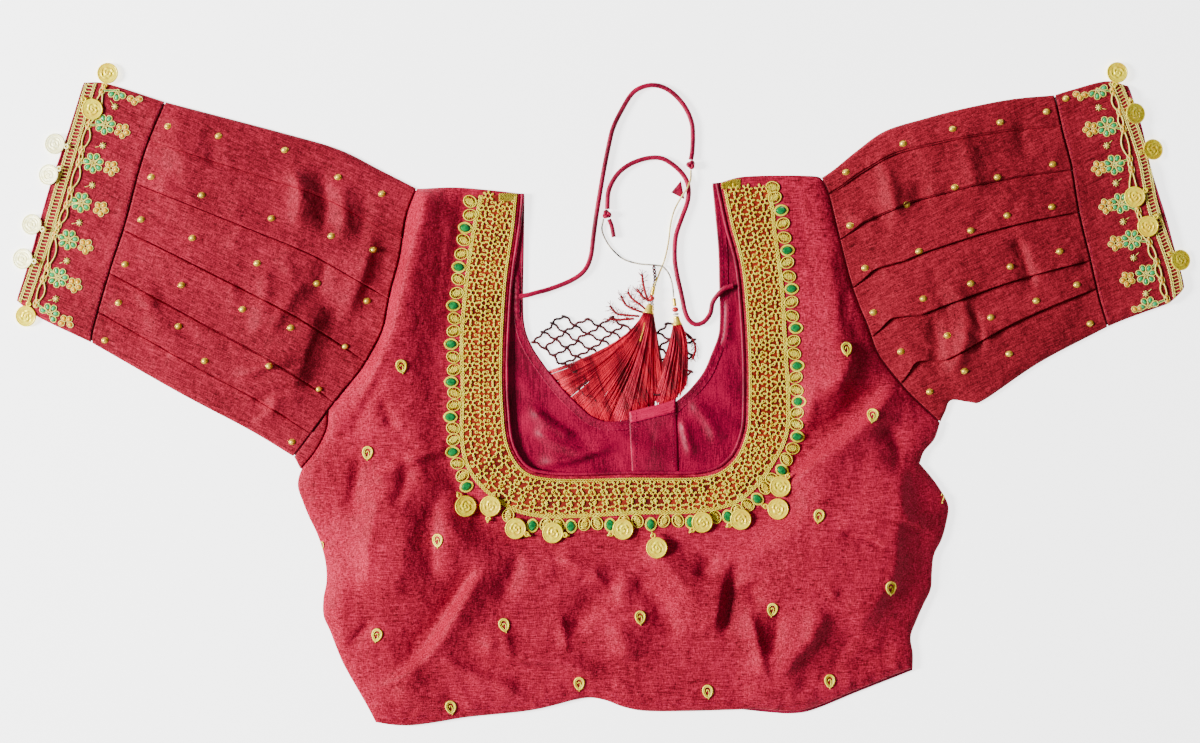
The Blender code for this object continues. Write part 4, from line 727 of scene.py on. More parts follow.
# The direction of the slubs in each cloth.
ACROSS = 0.0
SLEEVE_LEFT_ANGLE = math.radians(-24)
SLEEVE_RIGHT_ANGLE = math.radians(25)
THREADS_ANGLE = math.radians(-70)  # down the tassels
WHITE = (1.0, 1.0, 1.0, 1.0)
FLOOR_GLOW = 2.8
FLOOR_DARK = (0.86, 0.86, 0.86)
FLOOR_LIGHT = (0.9, 0.9, 0.9)


def add_node(tree, kind, inputs=(), **settings):
    """A node with these settings; each input gets a value or another node's output."""
    node = tree.nodes.new(kind)
    for key, value in settings.items():
        setattr(node, key, value)
    for socket, value in inputs:
        if isinstance(value, bpy.types.NodeSocket):
            tree.links.new(value, node.inputs[socket])
        else:
            node.inputs[socket].default_value = value
    return node


def plain(name, roughness, metallic=0.0, constants=()):
    """A new material with its tree and its shader."""
    made = bpy.data.materials.new(name)
    made.use_nodes = True
    shader = made.node_tree.nodes["Principled BSDF"]
    shader.inputs["Roughness"].default_value = roughness
    shader.inputs["Metallic"].default_value = metallic
    for socket, value in constants:
        shader.inputs[socket].default_value = value
    return made, made.node_tree, shader


def grain(tree, angle, long, short, detail=2.0):
    """Noise whose grains have this length and width in millimetres."""
    place = add_node(tree, "ShaderNodeTexCoord").outputs["Object"]
    turned = add_node(tree, "ShaderNodeMapping", vector_type="TEXTURE", inputs=[
        ("Vector", place), ("Rotation", (0.0, 0.0, angle)),
        ("Scale", (long * MM, short * MM, short * MM))])
    noise = add_node(tree, "ShaderNodeTexNoise", [
        ("Vector", turned.outputs["Vector"]), ("Scale", 1.0), ("Detail", detail)])
    return noise.outputs[0]


def weighted(tree, terms):
    """0.5, and each term's difference from 0.5 times its weight."""
    total = 0.5 - 0.5 * sum(weight for _, weight in terms)
    for source, weight in terms:
        total = add_node(tree, "ShaderNodeMath", [(0, source), (1, weight), (2, total)],
                         operation="MULTIPLY_ADD").outputs[0]
    return total


def ramp(tree, source, stops):
    """A colour for each value of the source, blended between the stops."""
    made = add_node(tree, "ShaderNodeValToRGB", [("Fac", source)])
    elements = made.color_ramp.elements
    elements.remove(elements[1])
    elements[0].position = stops[0][0]
    elements[0].color = (*stops[0][1], 1.0)
    for at, colour in stops[1:]:
        elements.new(at).color = (*colour, 1.0)
    return made.outputs["Color"]


def bump(tree, shader, heights):
    """Relief from (source, depth in millimetres) pairs, the broadest first."""
    normal = None
    for source, depth in heights:
        inputs = [("Height", source), ("Distance", depth * MM), ("Strength", 1.0)]
        if normal is not None:
            inputs.append(("Normal", normal))
        normal = add_node(tree, "ShaderNodeBump", inputs).outputs["Normal"]
    tree.links.new(normal, shader.inputs["Normal"])


def finish_look(tree, shader, tone, stops, heights):
    """Gives a shader its colour from a tone, and its relief."""
    tree.links.new(ramp(tree, tone, stops), shader.inputs["Base Color"])
    bump(tree, shader, heights)


def silk_material(name, angle, tones):
    """Raw silk: an uneven plain weave with slubs along one direction."""
    made, tree, shader = plain(name, 0.55, constants=[
        ("Sheen Weight", 0.02), ("Sheen Roughness", 0.4), ("Sheen Tint", (1.0, 0.08, 0.2, 1.0)),
        ("Specular IOR Level", 0.04)])
    crosswise = angle + math.pi / 2
    weave = weighted(tree, [(grain(tree, angle, 4.6, 0.6), 1.0),
                            (grain(tree, crosswise, 2.6, 0.6), 0.9)])
    speckle = grain(tree, angle, 0.9, 0.8)
    slub = grain(tree, angle, 15.0, 0.8, 1.0)
    patches = grain(tree, angle, 75.0, 40.0, 1.0)
    tone = weighted(tree, [(weave, 0.75), (speckle, 0.6), (slub, 0.42), (patches, 0.25)])
    crumple = weighted(tree, [(grain(tree, angle, 34.0, 15.0), 1.0),
                              (grain(tree, crosswise, 16.0, 9.0), 0.5)])
    finish_look(tree, shader, tone,
                [(0.24, tones.dark), (0.5, tones.middle), (0.76, tones.light)],
                [(crumple, 2.4), (slub, 0.08), (weave, 0.10)])
    return made


def satin_material(name, angle, dark, light):
    """Smooth satin with faint lengthwise lines and soft waves."""
    made, tree, shader = plain(name, 0.46, constants=[
        ("Anisotropic", 0.4), ("Specular IOR Level", 0.16), ("Sheen Weight", 0.03),
        ("Sheen Tint", (1.0, 0.2, 0.5, 1.0))])
    lines = grain(tree, angle, 9.0, 0.8)
    specks = grain(tree, angle, 1.0, 0.8)
    waves = grain(tree, angle + 0.6, 42.0, 20.0, 1.0)
    tone = weighted(tree, [(lines, 0.8), (specks, 1.0), (waves, 0.9)])
    finish_look(tree, shader, tone, [(0.25, dark), (0.75, light)],
                [(waves, 2.0), (lines, 0.06)])
    return made


def metal_material(name, dark, light, roughness, metallic, size, depth):
    """Metal whose tone and surface vary over grains of one size in millimetres."""
    made, tree, shader = plain(name, roughness, metallic,
                               constants=[("Specular IOR Level", 0.3)])
    tone = weighted(tree, [(grain(tree, 0.6, size, size * 0.6), 1.3),
                           (grain(tree, 0.0, size * 7, size * 7), 0.8)])
    finish_look(tree, shader, tone, [(0.3, dark), (0.7, light)],
                [(grain(tree, 0.6, size * 0.7, size * 0.5), depth)])
    return made


def thread_material(name, dark, light, angle):
    """Silk threads, each with its own tone."""
    made, tree, shader = plain(name, 0.42, constants=[
        ("Sheen Weight", 0.04), ("Sheen Tint", (1.0, 0.4, 0.4, 1.0)), ("Anisotropic", 0.3),
        ("Specular IOR Level", 0.2)])
    tone = weighted(tree, [(grain(tree, angle, 22.0, 0.7), 1.0),
                           (grain(tree, angle, 45.0, 7.0, 1.0), 1.0)])
    finish_look(tree, shader, tone, [(0.28, dark), (0.74, light)],
                [(grain(tree, angle, 4.0, 0.5), 0.05)])
    return made


def enamel_material(name, dark, light, roughness, coat):
    """A coloured stone or bead: clear, glossy, cloudy inside."""
    made, tree, shader = plain(name, roughness, constants=[
        ("Coat Weight", coat), ("Coat Roughness", 0.06), ("Specular IOR Level", 0.4)])
    tone = grain(tree, 0.3, 2.6, 2.0)
    finish_look(tree, shader, tone, [(0.3, dark), (0.7, light)],
                [(grain(tree, 0.3, 1.4, 1.4, 0.0), 0.05)])
    return made


def floor_material():
    """A pale studio floor that glows a little, as one lit from below does."""
    made, tree, shader = plain("floor_pale", 0.9, constants=[
        ("Emission Color", WHITE), ("Emission Strength", FLOOR_GLOW)])
    tone = ramp(tree, grain(tree, 0.0, 300.0, 300.0), [(0.0, FLOOR_DARK), (1.0, FLOOR_LIGHT)])
    tree.links.new(tone, shader.inputs["Base Color"])
    return made


# Short name, name, angle, dark and light.
SATINS = [
    ("satin", "satin_lining", math.pi / 2, SATIN_DARK, SATIN_LIGHT),
    ("piping", "satin_piping", math.pi / 2, SATIN_DARK, SATIN_LIGHT),
    ("cord", "satin_cord", math.pi / 4, SATIN_DARK, SATIN_LIGHT),
    ("tab", "satin_tab", 0.3, (0.26, 0.0006, 0.026), (0.60, 0.002, 0.070)),
]
# Short name, name, dark, light, roughness, metallic, size and depth of its grains.
METALS = [
    ("zari", "zari_gold", GOLD_DARK, GOLD_LIGHT, 0.36, 0.12, 0.9, 0.06),
    ("zari_pale", "zari_pale", PALE_DARK, PALE_LIGHT, 0.40, 0.1, 0.9, 0.06),
    ("coin_gold", "coin_gold", (0.86, 0.56, 0.004), (1.0, 0.86, 0.02), 0.32, 0.15, 2.0, 0.07),
    ("coin_pale", "coin_pale", (0.94, 0.88, 0.36), (1.0, 0.98, 0.60), 0.36, 0.1, 2.4, 0.05),
    ("cap", "tassel_gold", (0.72, 0.42, 0.03), (1.0, 0.78, 0.12), 0.32, 0.6, 1.2, 0.06),
    ("pearl", "tassel_pearl", (0.60, 0.58, 0.56), (0.92, 0.90, 0.88), 0.25, 0.35, 2.0, 0.03),
]
# Short name, name, dark, light, roughness and coat.
ENAMELS = [
    ("amber", "bead_amber", (0.62, 0.22, 0.001), (0.95, 0.50, 0.004), 0.3, 0.15),
    ("seed", "seed_green", (0.004, 0.26, 0.07), (0.03, 0.52, 0.17), 0.3, 0.15),
    ("stone", "stone_green", (0.0005, 0.09, 0.018), (0.001, 0.24, 0.05), 0.16, 0.6),
    ("red_bead", "tassel_bead", (0.35, 0.004, 0.010), (0.72, 0.020, 0.030), 0.16, 0.6),
]
# Short name, name, dark, light and angle.
THREADS = [
    ("tassel", "tassel_silk", (0.13, 0.0006, 0.006), (0.84, 0.004, 0.042), THREADS_ANGLE),
    # tassel_dark: painted shade on the loose threads under the locks; the frayed tufts take it
    # too.
    ("tassel_dark", "tassel_dark", (0.06, 0.001, 0.003), (0.34, 0.003, 0.012), 0.9),
    ("tassel_pink", "tassel_pink", (0.26, 0.001, 0.010), (0.95, 0.016, 0.080), THREADS_ANGLE),
    ("string_left", "string_gold", (0.40, 0.24, 0.03), (1.0, 0.85, 0.30), 0.5),
    ("string_right", "string_dark", (0.01, 0.008, 0.006), (0.75, 0.66, 0.50), 0.9),
    ("net", "net_thread", (0.008, 0.001, 0.002), (0.10, 0.002, 0.006), 0.3),
    # The band's dark sheet is painted shade in the gaps between its threads.
    ("padding", "band_padding", (0.09, 0.002, 0.003), (0.30, 0.022, 0.008), 0.7),
    # The seams' strips are coloured dark as painted shade in each seam's gap.
    ("seam", "seam_edges", (0.035, 0.0004, 0.003), (0.11, 0.001, 0.010), 1.2),
    ("stitch", "sewing_thread", (0.16, 0.001, 0.018), (0.46, 0.006, 0.075), 0.2),
]


def all_materials():
    """Every material of the scene, under its short name."""
    made = {
        "silk": silk_material("silk_body", ACROSS, SILK_BODY),
        "silk_left": silk_material("silk_sleeve_left", SLEEVE_LEFT_ANGLE, SILK_LEFT_SHADED),
        "silk_right": silk_material("silk_sleeve_right", SLEEVE_RIGHT_ANGLE, SILK_RIGHT_SHADED),
        "floor": floor_material(),
    }
    for make, table in ((satin_material, SATINS), (metal_material, METALS),
                        (enamel_material, ENAMELS), (thread_material, THREADS)):
        for short_name, *settings in table:
            made[short_name] = make(*settings)
    return made


# ---------------------------------------------------------------- camera and light

FRAME_WIDTH = 0.858  # metres across the picture at the surface
CAMERA_HEIGHT = 2.2
CAMERA_CENTRE = (-0.00102, 0.0159)
SENSOR_WIDTH = 36.0
Lamp = namedtuple("Lamp", "name place size power")
LAMPS = [Lamp("key", (-2.6, 0.15, 1.56), 0.8, 305.0), Lamp("fill", (1.4, -1.2, 1.6), 1.6, 5.0)]
SKY_STRENGTH = 0.22
FLOOR_HALF = 2.5
FLOOR_HEIGHT = -0.0005


def make_camera():
    """A camera straight above the blouse."""
    camera = bpy.data.cameras.new("camera")
    camera.type = "PERSP"
    camera.sensor_width = SENSOR_WIDTH
    camera.lens = SENSOR_WIDTH * CAMERA_HEIGHT / FRAME_WIDTH
    made = bpy.data.objects.new("camera", camera)
    made.location = (*CAMERA_CENTRE, CAMERA_HEIGHT)
    bpy.context.collection.objects.link(made)
    bpy.context.scene.camera = made


def make_light(lamp):
    """A square lamp that points at the origin."""
    light = bpy.data.lights.new(lamp.name, "AREA")
    light.size = lamp.size
    light.energy = lamp.power
    made = bpy.data.objects.new(lamp.name, light)
    made.location = lamp.place
    made.rotation_euler = (-Vector(lamp.place)).to_track_quat("-Z", "Y").to_euler()
    bpy.context.collection.objects.link(made)


def make_studio(materials):
    """The lamps, the sky's even light and the floor."""
    for lamp in LAMPS:
        make_light(lamp)
    world = bpy.data.worlds.new("studio")
    world.use_nodes = True
    sky = world.node_tree.nodes["Background"]
    sky.inputs["Color"].default_value = WHITE
    sky.inputs["Strength"].default_value = SKY_STRENGTH
    bpy.context.scene.world = world
    corners = [(x * FLOOR_HALF, y * FLOOR_HALF, FLOOR_HEIGHT)
               for x, y in ((-1, -1), (1, -1), (1, 1), (-1, 1))]
    mesh = bpy.data.meshes.new("floor")
    mesh.from_pydata(corners, [], [(0, 1, 2, 3)])
    mesh.materials.append(materials["floor"])
    floor = bpy.data.objects.new("floor", mesh)
    bpy.context.collection.objects.link(floor)


# ---------------------------------------------------------------- cords, knots and tassels

SURFACE_GAP = 0.05  # between a cord's underside and the surface
KNOT_SIZE = 0.72
KNOT_RISE = 1.25  # how far the cord in a knot goes up and down
KNOT_CORD = 1.35  # radius of the cord where it is drawn tight


def in_frame(point):
    """A point of the tables in the part's frame, in metres."""
    return tuple((array(point) + CENTRE_SHIFT) * MM)


def curve_piece(name, route, radius, spacing, material, node):
    """A round cord along its solid's own route."""
    points = smooth_line(route, spacing)
    points[:, 2] = np.maximum(points[:, 2], radius + SURFACE_GAP)
    curve = bpy.data.curves.new(name, "CURVE")
    curve.dimensions = "3D"
    curve.bevel_depth = radius * MM
    curve.bevel_resolution = 6
    curve.use_fill_caps = True
    spline = curve.splines.new("POLY")
    spline.points.add(len(points) - 1)
    for place, point in zip(spline.points, points):
        place.co = (*in_frame(point), 1.0)
    spline.use_smooth = True
    curve.materials.append(material)
    made = bpy.data.objects.new(name, curve)
    bpy.context.collection.objects.link(made)
    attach(made, "root")
    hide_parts(node)
    return made, float(lengths_along(points)[-1]) * MM


def make_knot(name, centre, turn, material):
    """A tight knot: the cord led over and under itself three times."""
    t = full_turn(90)
    local = np.column_stack([KNOT_SIZE * (np.sin(t) + 2 * np.sin(2 * t)),
                             KNOT_SIZE * (np.cos(t) - 2 * np.cos(2 * t))])
    flat = placed(local, (0.0, 0.0), turn)
    shape = Gathered()
    shape.tube(np.column_stack([flat, -KNOT_RISE * np.sin(3 * t)]) + array(centre), KNOT_CORD,
               True, 10)
    made = shape.piece(name, material, "cord")
    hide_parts(name.replace("tied_", ""))
    return made


LEAST_HEIGHT = 0.1  # of a turned shape's underside above the surface


def turned_shape(shape, start, axis, profile, sides=20):
    """A turned solid: rings along an axis, one for each (along, radius) of its profile. Where
    a ring would reach below the surface that it lies on, it is flatter than it is wide."""
    axis = axis.normalized()
    side = axis.cross(Vector((0, 0, 1))).normalized()
    up = side.cross(axis)
    points = []
    for along, radius in profile:
        rise = min(radius, start[2] - LEAST_HEIGHT)
        for k in range(sides):
            angle = 2 * math.pi * k / sides
            points.append(Vector(start) + axis * along
                          + side * math.cos(angle) * radius + up * math.sin(angle) * rise)
    faces = ring_faces(len(profile), sides)
    faces.append(tuple(range(sides - 1, -1, -1)))
    faces.append(tuple(range(len(points) - sides, len(points))))
    shape.add([tuple(p) for p in points], faces)


BEAD_HOLE = 0.12  # angle at a bead's two ends that its hole takes


def rounded(centre, half, radius, count=9):
    """The profile of a bead or a rounded ring."""
    turns = np.linspace(BEAD_HOLE, math.pi - BEAD_HOLE, count)
    return [(centre - half * math.cos(t), radius * math.sin(t) ** 0.8) for t in turns]


# Along the tube, and its radius.
TUBE_PROFILE = [(0, 0.7), (0.2, 1.3), (0.7, 1.5), (1.2, 1.25), (1.7, 1.5), (2.4, 1.3), (3.0, 1.45),
                (3.6, 1.25), (4.2, 1.5), (4.9, 1.3), (5.5, 1.45), (6.0, 1.1)]
# Where its middle is along the tassel's axis, half its length, and its radius.
RED_BEAD = (8.3, 2.0, 2.35)
PALE_RING = (11.6, 0.95, 2.35)
CAP_START = 12.9
# Along the cap, and its radius as a share of the mouth's.
CAP_PROFILE = [(0, 0.35), (0.5, 0.6), (1.0, 0.52), (1.6, 0.66), (2.4, 0.6), (3.0, 0.72),
               (3.8, 0.68), (4.4, 0.82), (5.2, 0.8), (5.8, 0.96), (6.5, 1.0)]


def tassel_frame(tassel):
    """The tassel's start, its axis, and the direction across it."""
    start = Vector((*tassel.start, TASSEL_HEIGHT))
    axis = Vector((*(array(tassel.toward) - array(tassel.start)), 0.0)).normalized()
    return start, axis, axis.cross(Vector((0, 0, 1))).normalized()


def make_tassel_metal(tassel, materials):
    """The tube, the red bead, the pale ring and the cap."""
    start, axis, _ = tassel_frame(tassel)
    parts = [("tube", TUBE_PROFILE, "cap", "tassel_beads_"),
             ("bead", rounded(*RED_BEAD), "red_bead", "tassel_beads_"),
             ("ring", rounded(*PALE_RING), "pearl", "tassel_beads_"),
             ("cap", [(CAP_START + a, r * tassel.mouth) for a, r in CAP_PROFILE], "cap",
              "tassel_")]
    made = []
    for part, profile, look, node in parts:
        shape = Gathered()
        turned_shape(shape, start, axis, profile)
        piece = shape.piece(f"tassel_{part}_{tassel.name}", materials[look], "tassel_metal")
        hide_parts(node + tassel.name)
        made.append(piece)
    return made


LOCK_SIZE = 13  # threads in a lock
THREAD_POINTS = 10
THREAD_START = 19.2  # along the tassel's axis, just inside the cap's mouth
LOCK_SPREAD = 0.5  # how far a thread strays from its lock, in locks
LOOSE_SPREAD = 2.5  # the same for the loose threads underneath
LAYER_RISE = 0.7  # how much higher each layer of locks swells
LAYER_END = 0.22  # and ends: little, so that the ends lie under the back's neckline
LEAST_THREAD_HEIGHT = 0.3
LOOSE_THREAD_HEIGHT = 0.4
LOOSE_SINK = 0.35  # share of its height that a loose thread's end keeps
PINK_RISE = 0.8  # the paler lock lies this much above its neighbours
Lock = namedtuple("Lock", "middle reach layer")


def tassel_locks(tassel, rng):
    """Where the tassel's locks lie in its fan, how far they reach and in which layer."""
    count = max(6, tassel.threads // LOCK_SIZE)
    middles = (np.arange(count) + 0.5) / count + rng.normal(0, 0.25 / count, count)
    reaches = rng.normal(0.99, 0.025, count)
    layers = rng.uniform(0.5, 3.6, count)
    return [Lock(*lock) for lock in zip(middles, reaches, layers)]


def tassel_thread(tassel, fan, lock, spread, rng):
    """One thread of a lock: its points, and its place in the fan as a share from the left."""
    start, axis, side = tassel_frame(tassel)
    mouth = start + axis * THREAD_START
    share = float(np.clip(lock.middle + rng.normal(0, spread), 0.0, 1.0))
    across = tassel.mouth * 0.85 * (2 * share - 1)
    room = math.sqrt(max(0.0, tassel.mouth**2 * 0.8 - across**2))
    root = array(mouth + side * across) + array([0, 0, rng.uniform(-room, room)])
    from_left = 1 - share if side.x < 0 else share
    at = np.linspace(0, 1, len(fan))
    tip = array([np.interp(from_left, at, fan[:, 0]), np.interp(from_left, at, fan[:, 1])])
    reach = float(np.clip(lock.reach + rng.normal(0, 0.012), 0.88, 1.05))
    tip = root[:2] + (tip - root[:2]) * reach + rng.normal(0, 0.5, 2)
    end = array([*tip, LEAST_THREAD_HEIGHT + LAYER_END * lock.layer])
    run = float(np.linalg.norm(end - root))
    bend = root + array(axis) * run * 0.32 + array(side) * tassel.bulge * (2 * share - 1)
    bend[2] = (root[2] + end[2]) / 2 + rng.uniform(-0.3, 0.8) + LAYER_RISE * lock.layer
    t = np.linspace(0, 1, THREAD_POINTS)[:, None]
    line = root * (1 - t) ** 2 + bend * 2 * t * (1 - t) + end * t * t
    sway = rng.normal(0, 0.5) * np.sin(math.pi * t * rng.uniform(1.0, 2.4)) * t
    ahead = (end - root)[:2] / max(run, 1e-6)
    line[:, :1] -= sway * ahead[1]
    line[:, 1:2] += sway * ahead[0]
    line[:, 2] = np.maximum(line[:, 2], LEAST_THREAD_HEIGHT)
    return line, from_left


def make_tassel_threads(tassel, materials, rng):
    """Fine threads that spread from the cap in locks, over loose ones coloured darker as painted
    shade.
    """
    fan = line_at(tassel.fan, np.linspace(0, 1, 61))
    threads, pink, under = Gathered(), Gathered(), Gathered()
    locks = tassel_locks(tassel, rng)
    sink = np.linspace(1.0, LOOSE_SINK, THREAD_POINTS)
    swell = PINK_RISE * np.sin(math.pi * np.linspace(0, 1, THREAD_POINTS))
    for k in range(tassel.threads):
        is_under = k % 3 == 0
        spread = (LOOSE_SPREAD if is_under else LOCK_SPREAD) / len(locks)
        line, from_left = tassel_thread(tassel, fan, locks[k % len(locks)], spread, rng)
        # The loose threads underneath are coloured darker: painted shade under the locks.
        if is_under:
            line[:, 2] = np.maximum(line[:, 2] * sink, LOOSE_THREAD_HEIGHT)
            under.tube(line, rng.uniform(0.26, 0.36))
        elif tassel.pink[0] < from_left < tassel.pink[1]:
            line[:, 2] += swell
            pink.tube(line, rng.uniform(0.22, 0.32))
        else:
            threads.tube(line, rng.uniform(0.22, 0.32))
    for part, gathered, look in (("threads", threads, "tassel"), ("lock", pink, "tassel_pink"),
                                 ("under", under, "tassel_dark")):
        piece = gathered.piece(f"tassel_{part}_{tassel.name}", materials[look], "tassel_silk")
        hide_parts("tassel_" + tassel.name)


FRINGE = [  # frayed cords of silk beside the tassels, each from its root to its tip
    [(37, 60), (34, 68), (31, 77), (29.5, 86)], [(33, 60), (28, 64), (23, 69), (19.5, 73.5)],
    [(31, 58), (24, 61), (18, 64), (15, 71)], [(28, 56), (19, 56.5), (12, 58), (6.5, 63)],
    [(24, 54), (14, 53.5), (6, 54)], [(36, 66), (30, 70), (26, 75)],
    [(58, 46), (65, 40), (68, 33), (66, 25)],
]
FRAY = 32  # loose threads round the tip of each frayed cord
FRAY_LENGTH = (2.0, 4.6)
FRAY_HEIGHT = 1.4
FRAY_RADIUS = 0.24
PLIES = (0.0, 2.1, 4.2)  # where round a plied cord its threads start
PLY_TWIST = 0.55  # from a plied cord's middle line to each thread's
PLY_PITCH = 3.4
PLY_HEIGHT = 1.5
PLY_RADIUS = 0.5
TWO_PLIES = (0.0, math.pi)
BLACK_CORD = [(37, 62), (36.5, 72), (39, 81), (38, 92)]
WIRE = [(31.5, 51.5), (30.5, 46), (28.3, 38)]
WIRE_HEIGHT = 6.4


def add_fray(shape, flat, rng):
    """Short loose threads that leave a frayed cord at all angles."""
    ahead = flat[-1] - flat[-4]
    t = np.linspace(0, 1, 6)
    for _ in range(FRAY):
        root = flat[rng.integers(len(flat) // 4, len(flat))]
        heading = math.atan2(ahead[1], ahead[0]) + rng.normal(0, 0.75)
        turn = heading + rng.normal(0, 0.5) * t
        step = rng.uniform(*FRAY_LENGTH) / (len(t) - 1)
        x = root[0] + rng.normal(0, 0.4) + np.cumsum(np.cos(turn)) * step
        y = root[1] + rng.normal(0, 0.4) + np.cumsum(np.sin(turn)) * step
        high = np.maximum(LEAST_THREAD_HEIGHT, FRAY_HEIGHT - t)
        shape.tube(np.column_stack([x, y, high]), FRAY_RADIUS)


def make_tufts(materials, rng):
    """Plied cords with frayed tips, a black cord and a gold wire, round the left tassel."""
    shape = Gathered()
    for line in FRINGE:
        flat = smooth_line(array(line) + rng.normal(0, 0.3, (len(line), 2)), 0.8)
        for start in PLIES:
            shape.tube(plied(flat, PLY_TWIST, PLY_PITCH, start, PLY_HEIGHT), PLY_RADIUS,
                       sides=5)
        add_fray(shape, flat, rng)
    shape.piece("tassel_tufts", materials["tassel_dark"], "tassel_silk")
    for name, line, radius, height, look, slot in (
            ("tassel_wire", WIRE, 0.3, WIRE_HEIGHT, "cap", "tassel_metal"),
            ("tassel_black_cord", BLACK_CORD, 0.6, PLY_HEIGHT, "net", "net")):
        part = Gathered()
        for start in TWO_PLIES:
            part.tube(plied(smooth_line(line, 0.5), radius * 1.4, radius * 8, start, height),
                      radius, sides=5)
        part.piece(name, materials[look], slot)


def plied(flat, radius, pitch, start, height):
    """One of the threads twisted round a line: flat points, and the height of its middle."""
    turn = 2 * math.pi * lengths_along(flat) / pitch + start
    side = beside(flat, 1.0) - flat
    moved = flat + side * (radius * np.cos(turn))[:, None]
    return np.column_stack([moved, height + radius * np.sin(turn)])


def declare_cord(piece, route, length):
    """Puts the route's first point in the part's frame, and keeps nothing."""
    in_frame(route[0])


TIE_TAB_TOP = 1.6


def make_cords(frame, materials, rng):
    """The two tie cords with their knots, the strings, and the tassels that these carry."""
    left, left_length = curve_piece("tie_left", DORI_LEFT, CORD_RADIUS, 3.0, materials["cord"],
                                    "dori_left")
    right, right_length = curve_piece("tie_right", DORI_RIGHT, CORD_RADIUS, 3.0,
                                      materials["cord"], "dori_right")
    tail, _ = curve_piece("tie_tail", DORI_TAIL, CORD_RADIUS * 0.9, 2.5, materials["cord"],
                          "dori_tail")
    knot_left = make_knot("tied_knot_left", KNOT_LEFT, 0.4, materials["cord"])
    knot_right = make_knot("tied_knot_right", KNOT_RIGHT, 1.3, materials["cord"])
    outline = node_outline(frame, "dori_tab", 1.2)
    tab = cloth_panel("tie_tab", "dori_tab", outline, level_at(TIE_TAB_TOP), 1.2, 1.6,
                      materials["cord"], "cord")
    declare_cord(left, DORI_LEFT, left_length)
    declare_cord(right, DORI_RIGHT, right_length)
    for tassel, route in zip(TASSELS, (STRING_LEFT, STRING_RIGHT)):
        string, length = curve_piece("tassel_string_" + tassel.name, route, STRING_RADIUS, 2.0,
                                     materials["string_" + tassel.name],
                                     "string_" + tassel.name)
        metal = make_tassel_metal(tassel, materials)
        declare_cord(string, route, length)
        make_tassel_threads(tassel, materials, rng)
    make_tufts(materials, rng)


# ---------------------------------------------------------------- net under the tassels

def net_cells():
    """Columns and rows of the net's diamonds, none of which hangs on by a corner alone."""
    width, height = NET_PITCH
    cells = set()
    for row in range(NET_ROWS):
        for column in range(-NET_COLUMNS, NET_COLUMNS):
            middle = array([[column * width / 2, row * height / 2]])
            if (column + row) % 2 == 0 and inside(middle, array(NET_EDGE))[0]:
                cells.add((column, row))
    loose = {None}
    while loose:
        loose = {(c, r) for c, r in cells
                 if sum((c + i, r + j) in cells for i in (-1, 1) for j in (-1, 1)) < 2}
        for c, r in cells:
            beyond = (((c + 2, r), (c + 1, r - 1), (c + 1, r + 1)),
                      ((c, r + 2), (c - 1, r + 1), (c + 1, r + 1)))
            loose |= {far for far, *sides in beyond
                      if far in cells and not cells.intersection(sides)}
        cells -= loose
    return sorted(cells)


def slack(x, y):
    """A net point moved a little, since the meshes of a loose net are uneven."""
    return (x + 1.3 * math.sin(y / 5.0 + 1.0) + 0.8 * math.sin(x / 11.0),
            y + 0.9 * math.sin(x / 7.0) + 0.6 * math.sin((x + y) / 13.0))


NET_THREAD = 0.62
NET_PLY = 2.8  # length of one turn of a strand's two threads
NET_TWIST = 0.45  # from a strand's middle line to each thread's
NET_HEIGHT = 1.15
LOOSE_NET_HEIGHT = 1.0
NET_KNOT = (2.3, 1.15, 1.9)  # half its length, half its width, its height
KNOT_FOOT = 0.05
LOOSE_NET = 15.0  # the second, thinner layer of net lies lower down the body than this
LOOSE_SHIFT = (4.1, 2.6)  # from the first layer of net to the second


def make_net(materials, rng):
    """Dark knotted net: two threads twisted along each side of the solid's diamonds."""
    width, height = NET_PITCH
    strands = set()
    for column, row in net_cells():
        strands |= diamond_sides(column, row)
    shape, knots = Gathered(), set()
    for start, end in sorted(strands):
        a = array(slack(start[0] * width / 2, start[1] * height / 2))
        b = array(slack(end[0] * width / 2, end[1] * height / 2))
        t = np.linspace(0, 1, 15)[:, None]
        away = array([a[1] - b[1], b[0] - a[0]]) / max(float(np.linalg.norm(b - a)), 1e-6)
        bow = np.sin(math.pi * t) * (rng.normal(0, 0.7) + 0.9 * np.sin(2 * math.pi * t))
        line = a * (1 - t) + b * t + away * bow
        low = line + array(LOOSE_SHIFT)
        for turn in TWO_PLIES:
            shape.tube(plied(line, NET_TWIST, NET_PLY, turn, NET_HEIGHT), NET_THREAD, sides=4)
            if low[:, 1].max() < LOOSE_NET:
                shape.tube(plied(low, NET_TWIST, NET_PLY, turn, LOOSE_NET_HEIGHT),
                           NET_THREAD * 0.8, sides=4)
        knots |= {start, end}
    for x, y in sorted(knots):
        spot = slack(x * width / 2, y * height / 2)
        shape.dome((*spot, KNOT_FOOT), rng.uniform(-0.5, 0.5), *NET_KNOT, 3, 8)
    piece = shape.piece("net_threads", materials["net"], "net")
    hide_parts("tassel_net")


def diamond_sides(column, row):
    """The four sides of a diamond, as pairs of its corners, each pair in order."""
    corners = [(column + 1, row), (column, row + 1), (column - 1, row), (column, row - 1)]
    return {tuple(sorted((a, b))) for a, b in zip(corners, corners[1:] + corners[:1])}


# ---------------------------------------------------------------- body panels

SMALL_HALF = (7, 19)  # half the length of a small crease, from and to
SMALL_HEIGHT = (0.2, 0.65)
SMALL_WIDTH = (1.6, 6)
PUCKER_REACH = (7, 20)  # from the hem
PUCKER_HEIGHT = (0.35, 1.1)
PUCKER_WIDTH = (1.5, 3.4)
PUCKER_STEP = (5, 16)
PUCKER_CLEAR = 6.0  # from the hem's ends


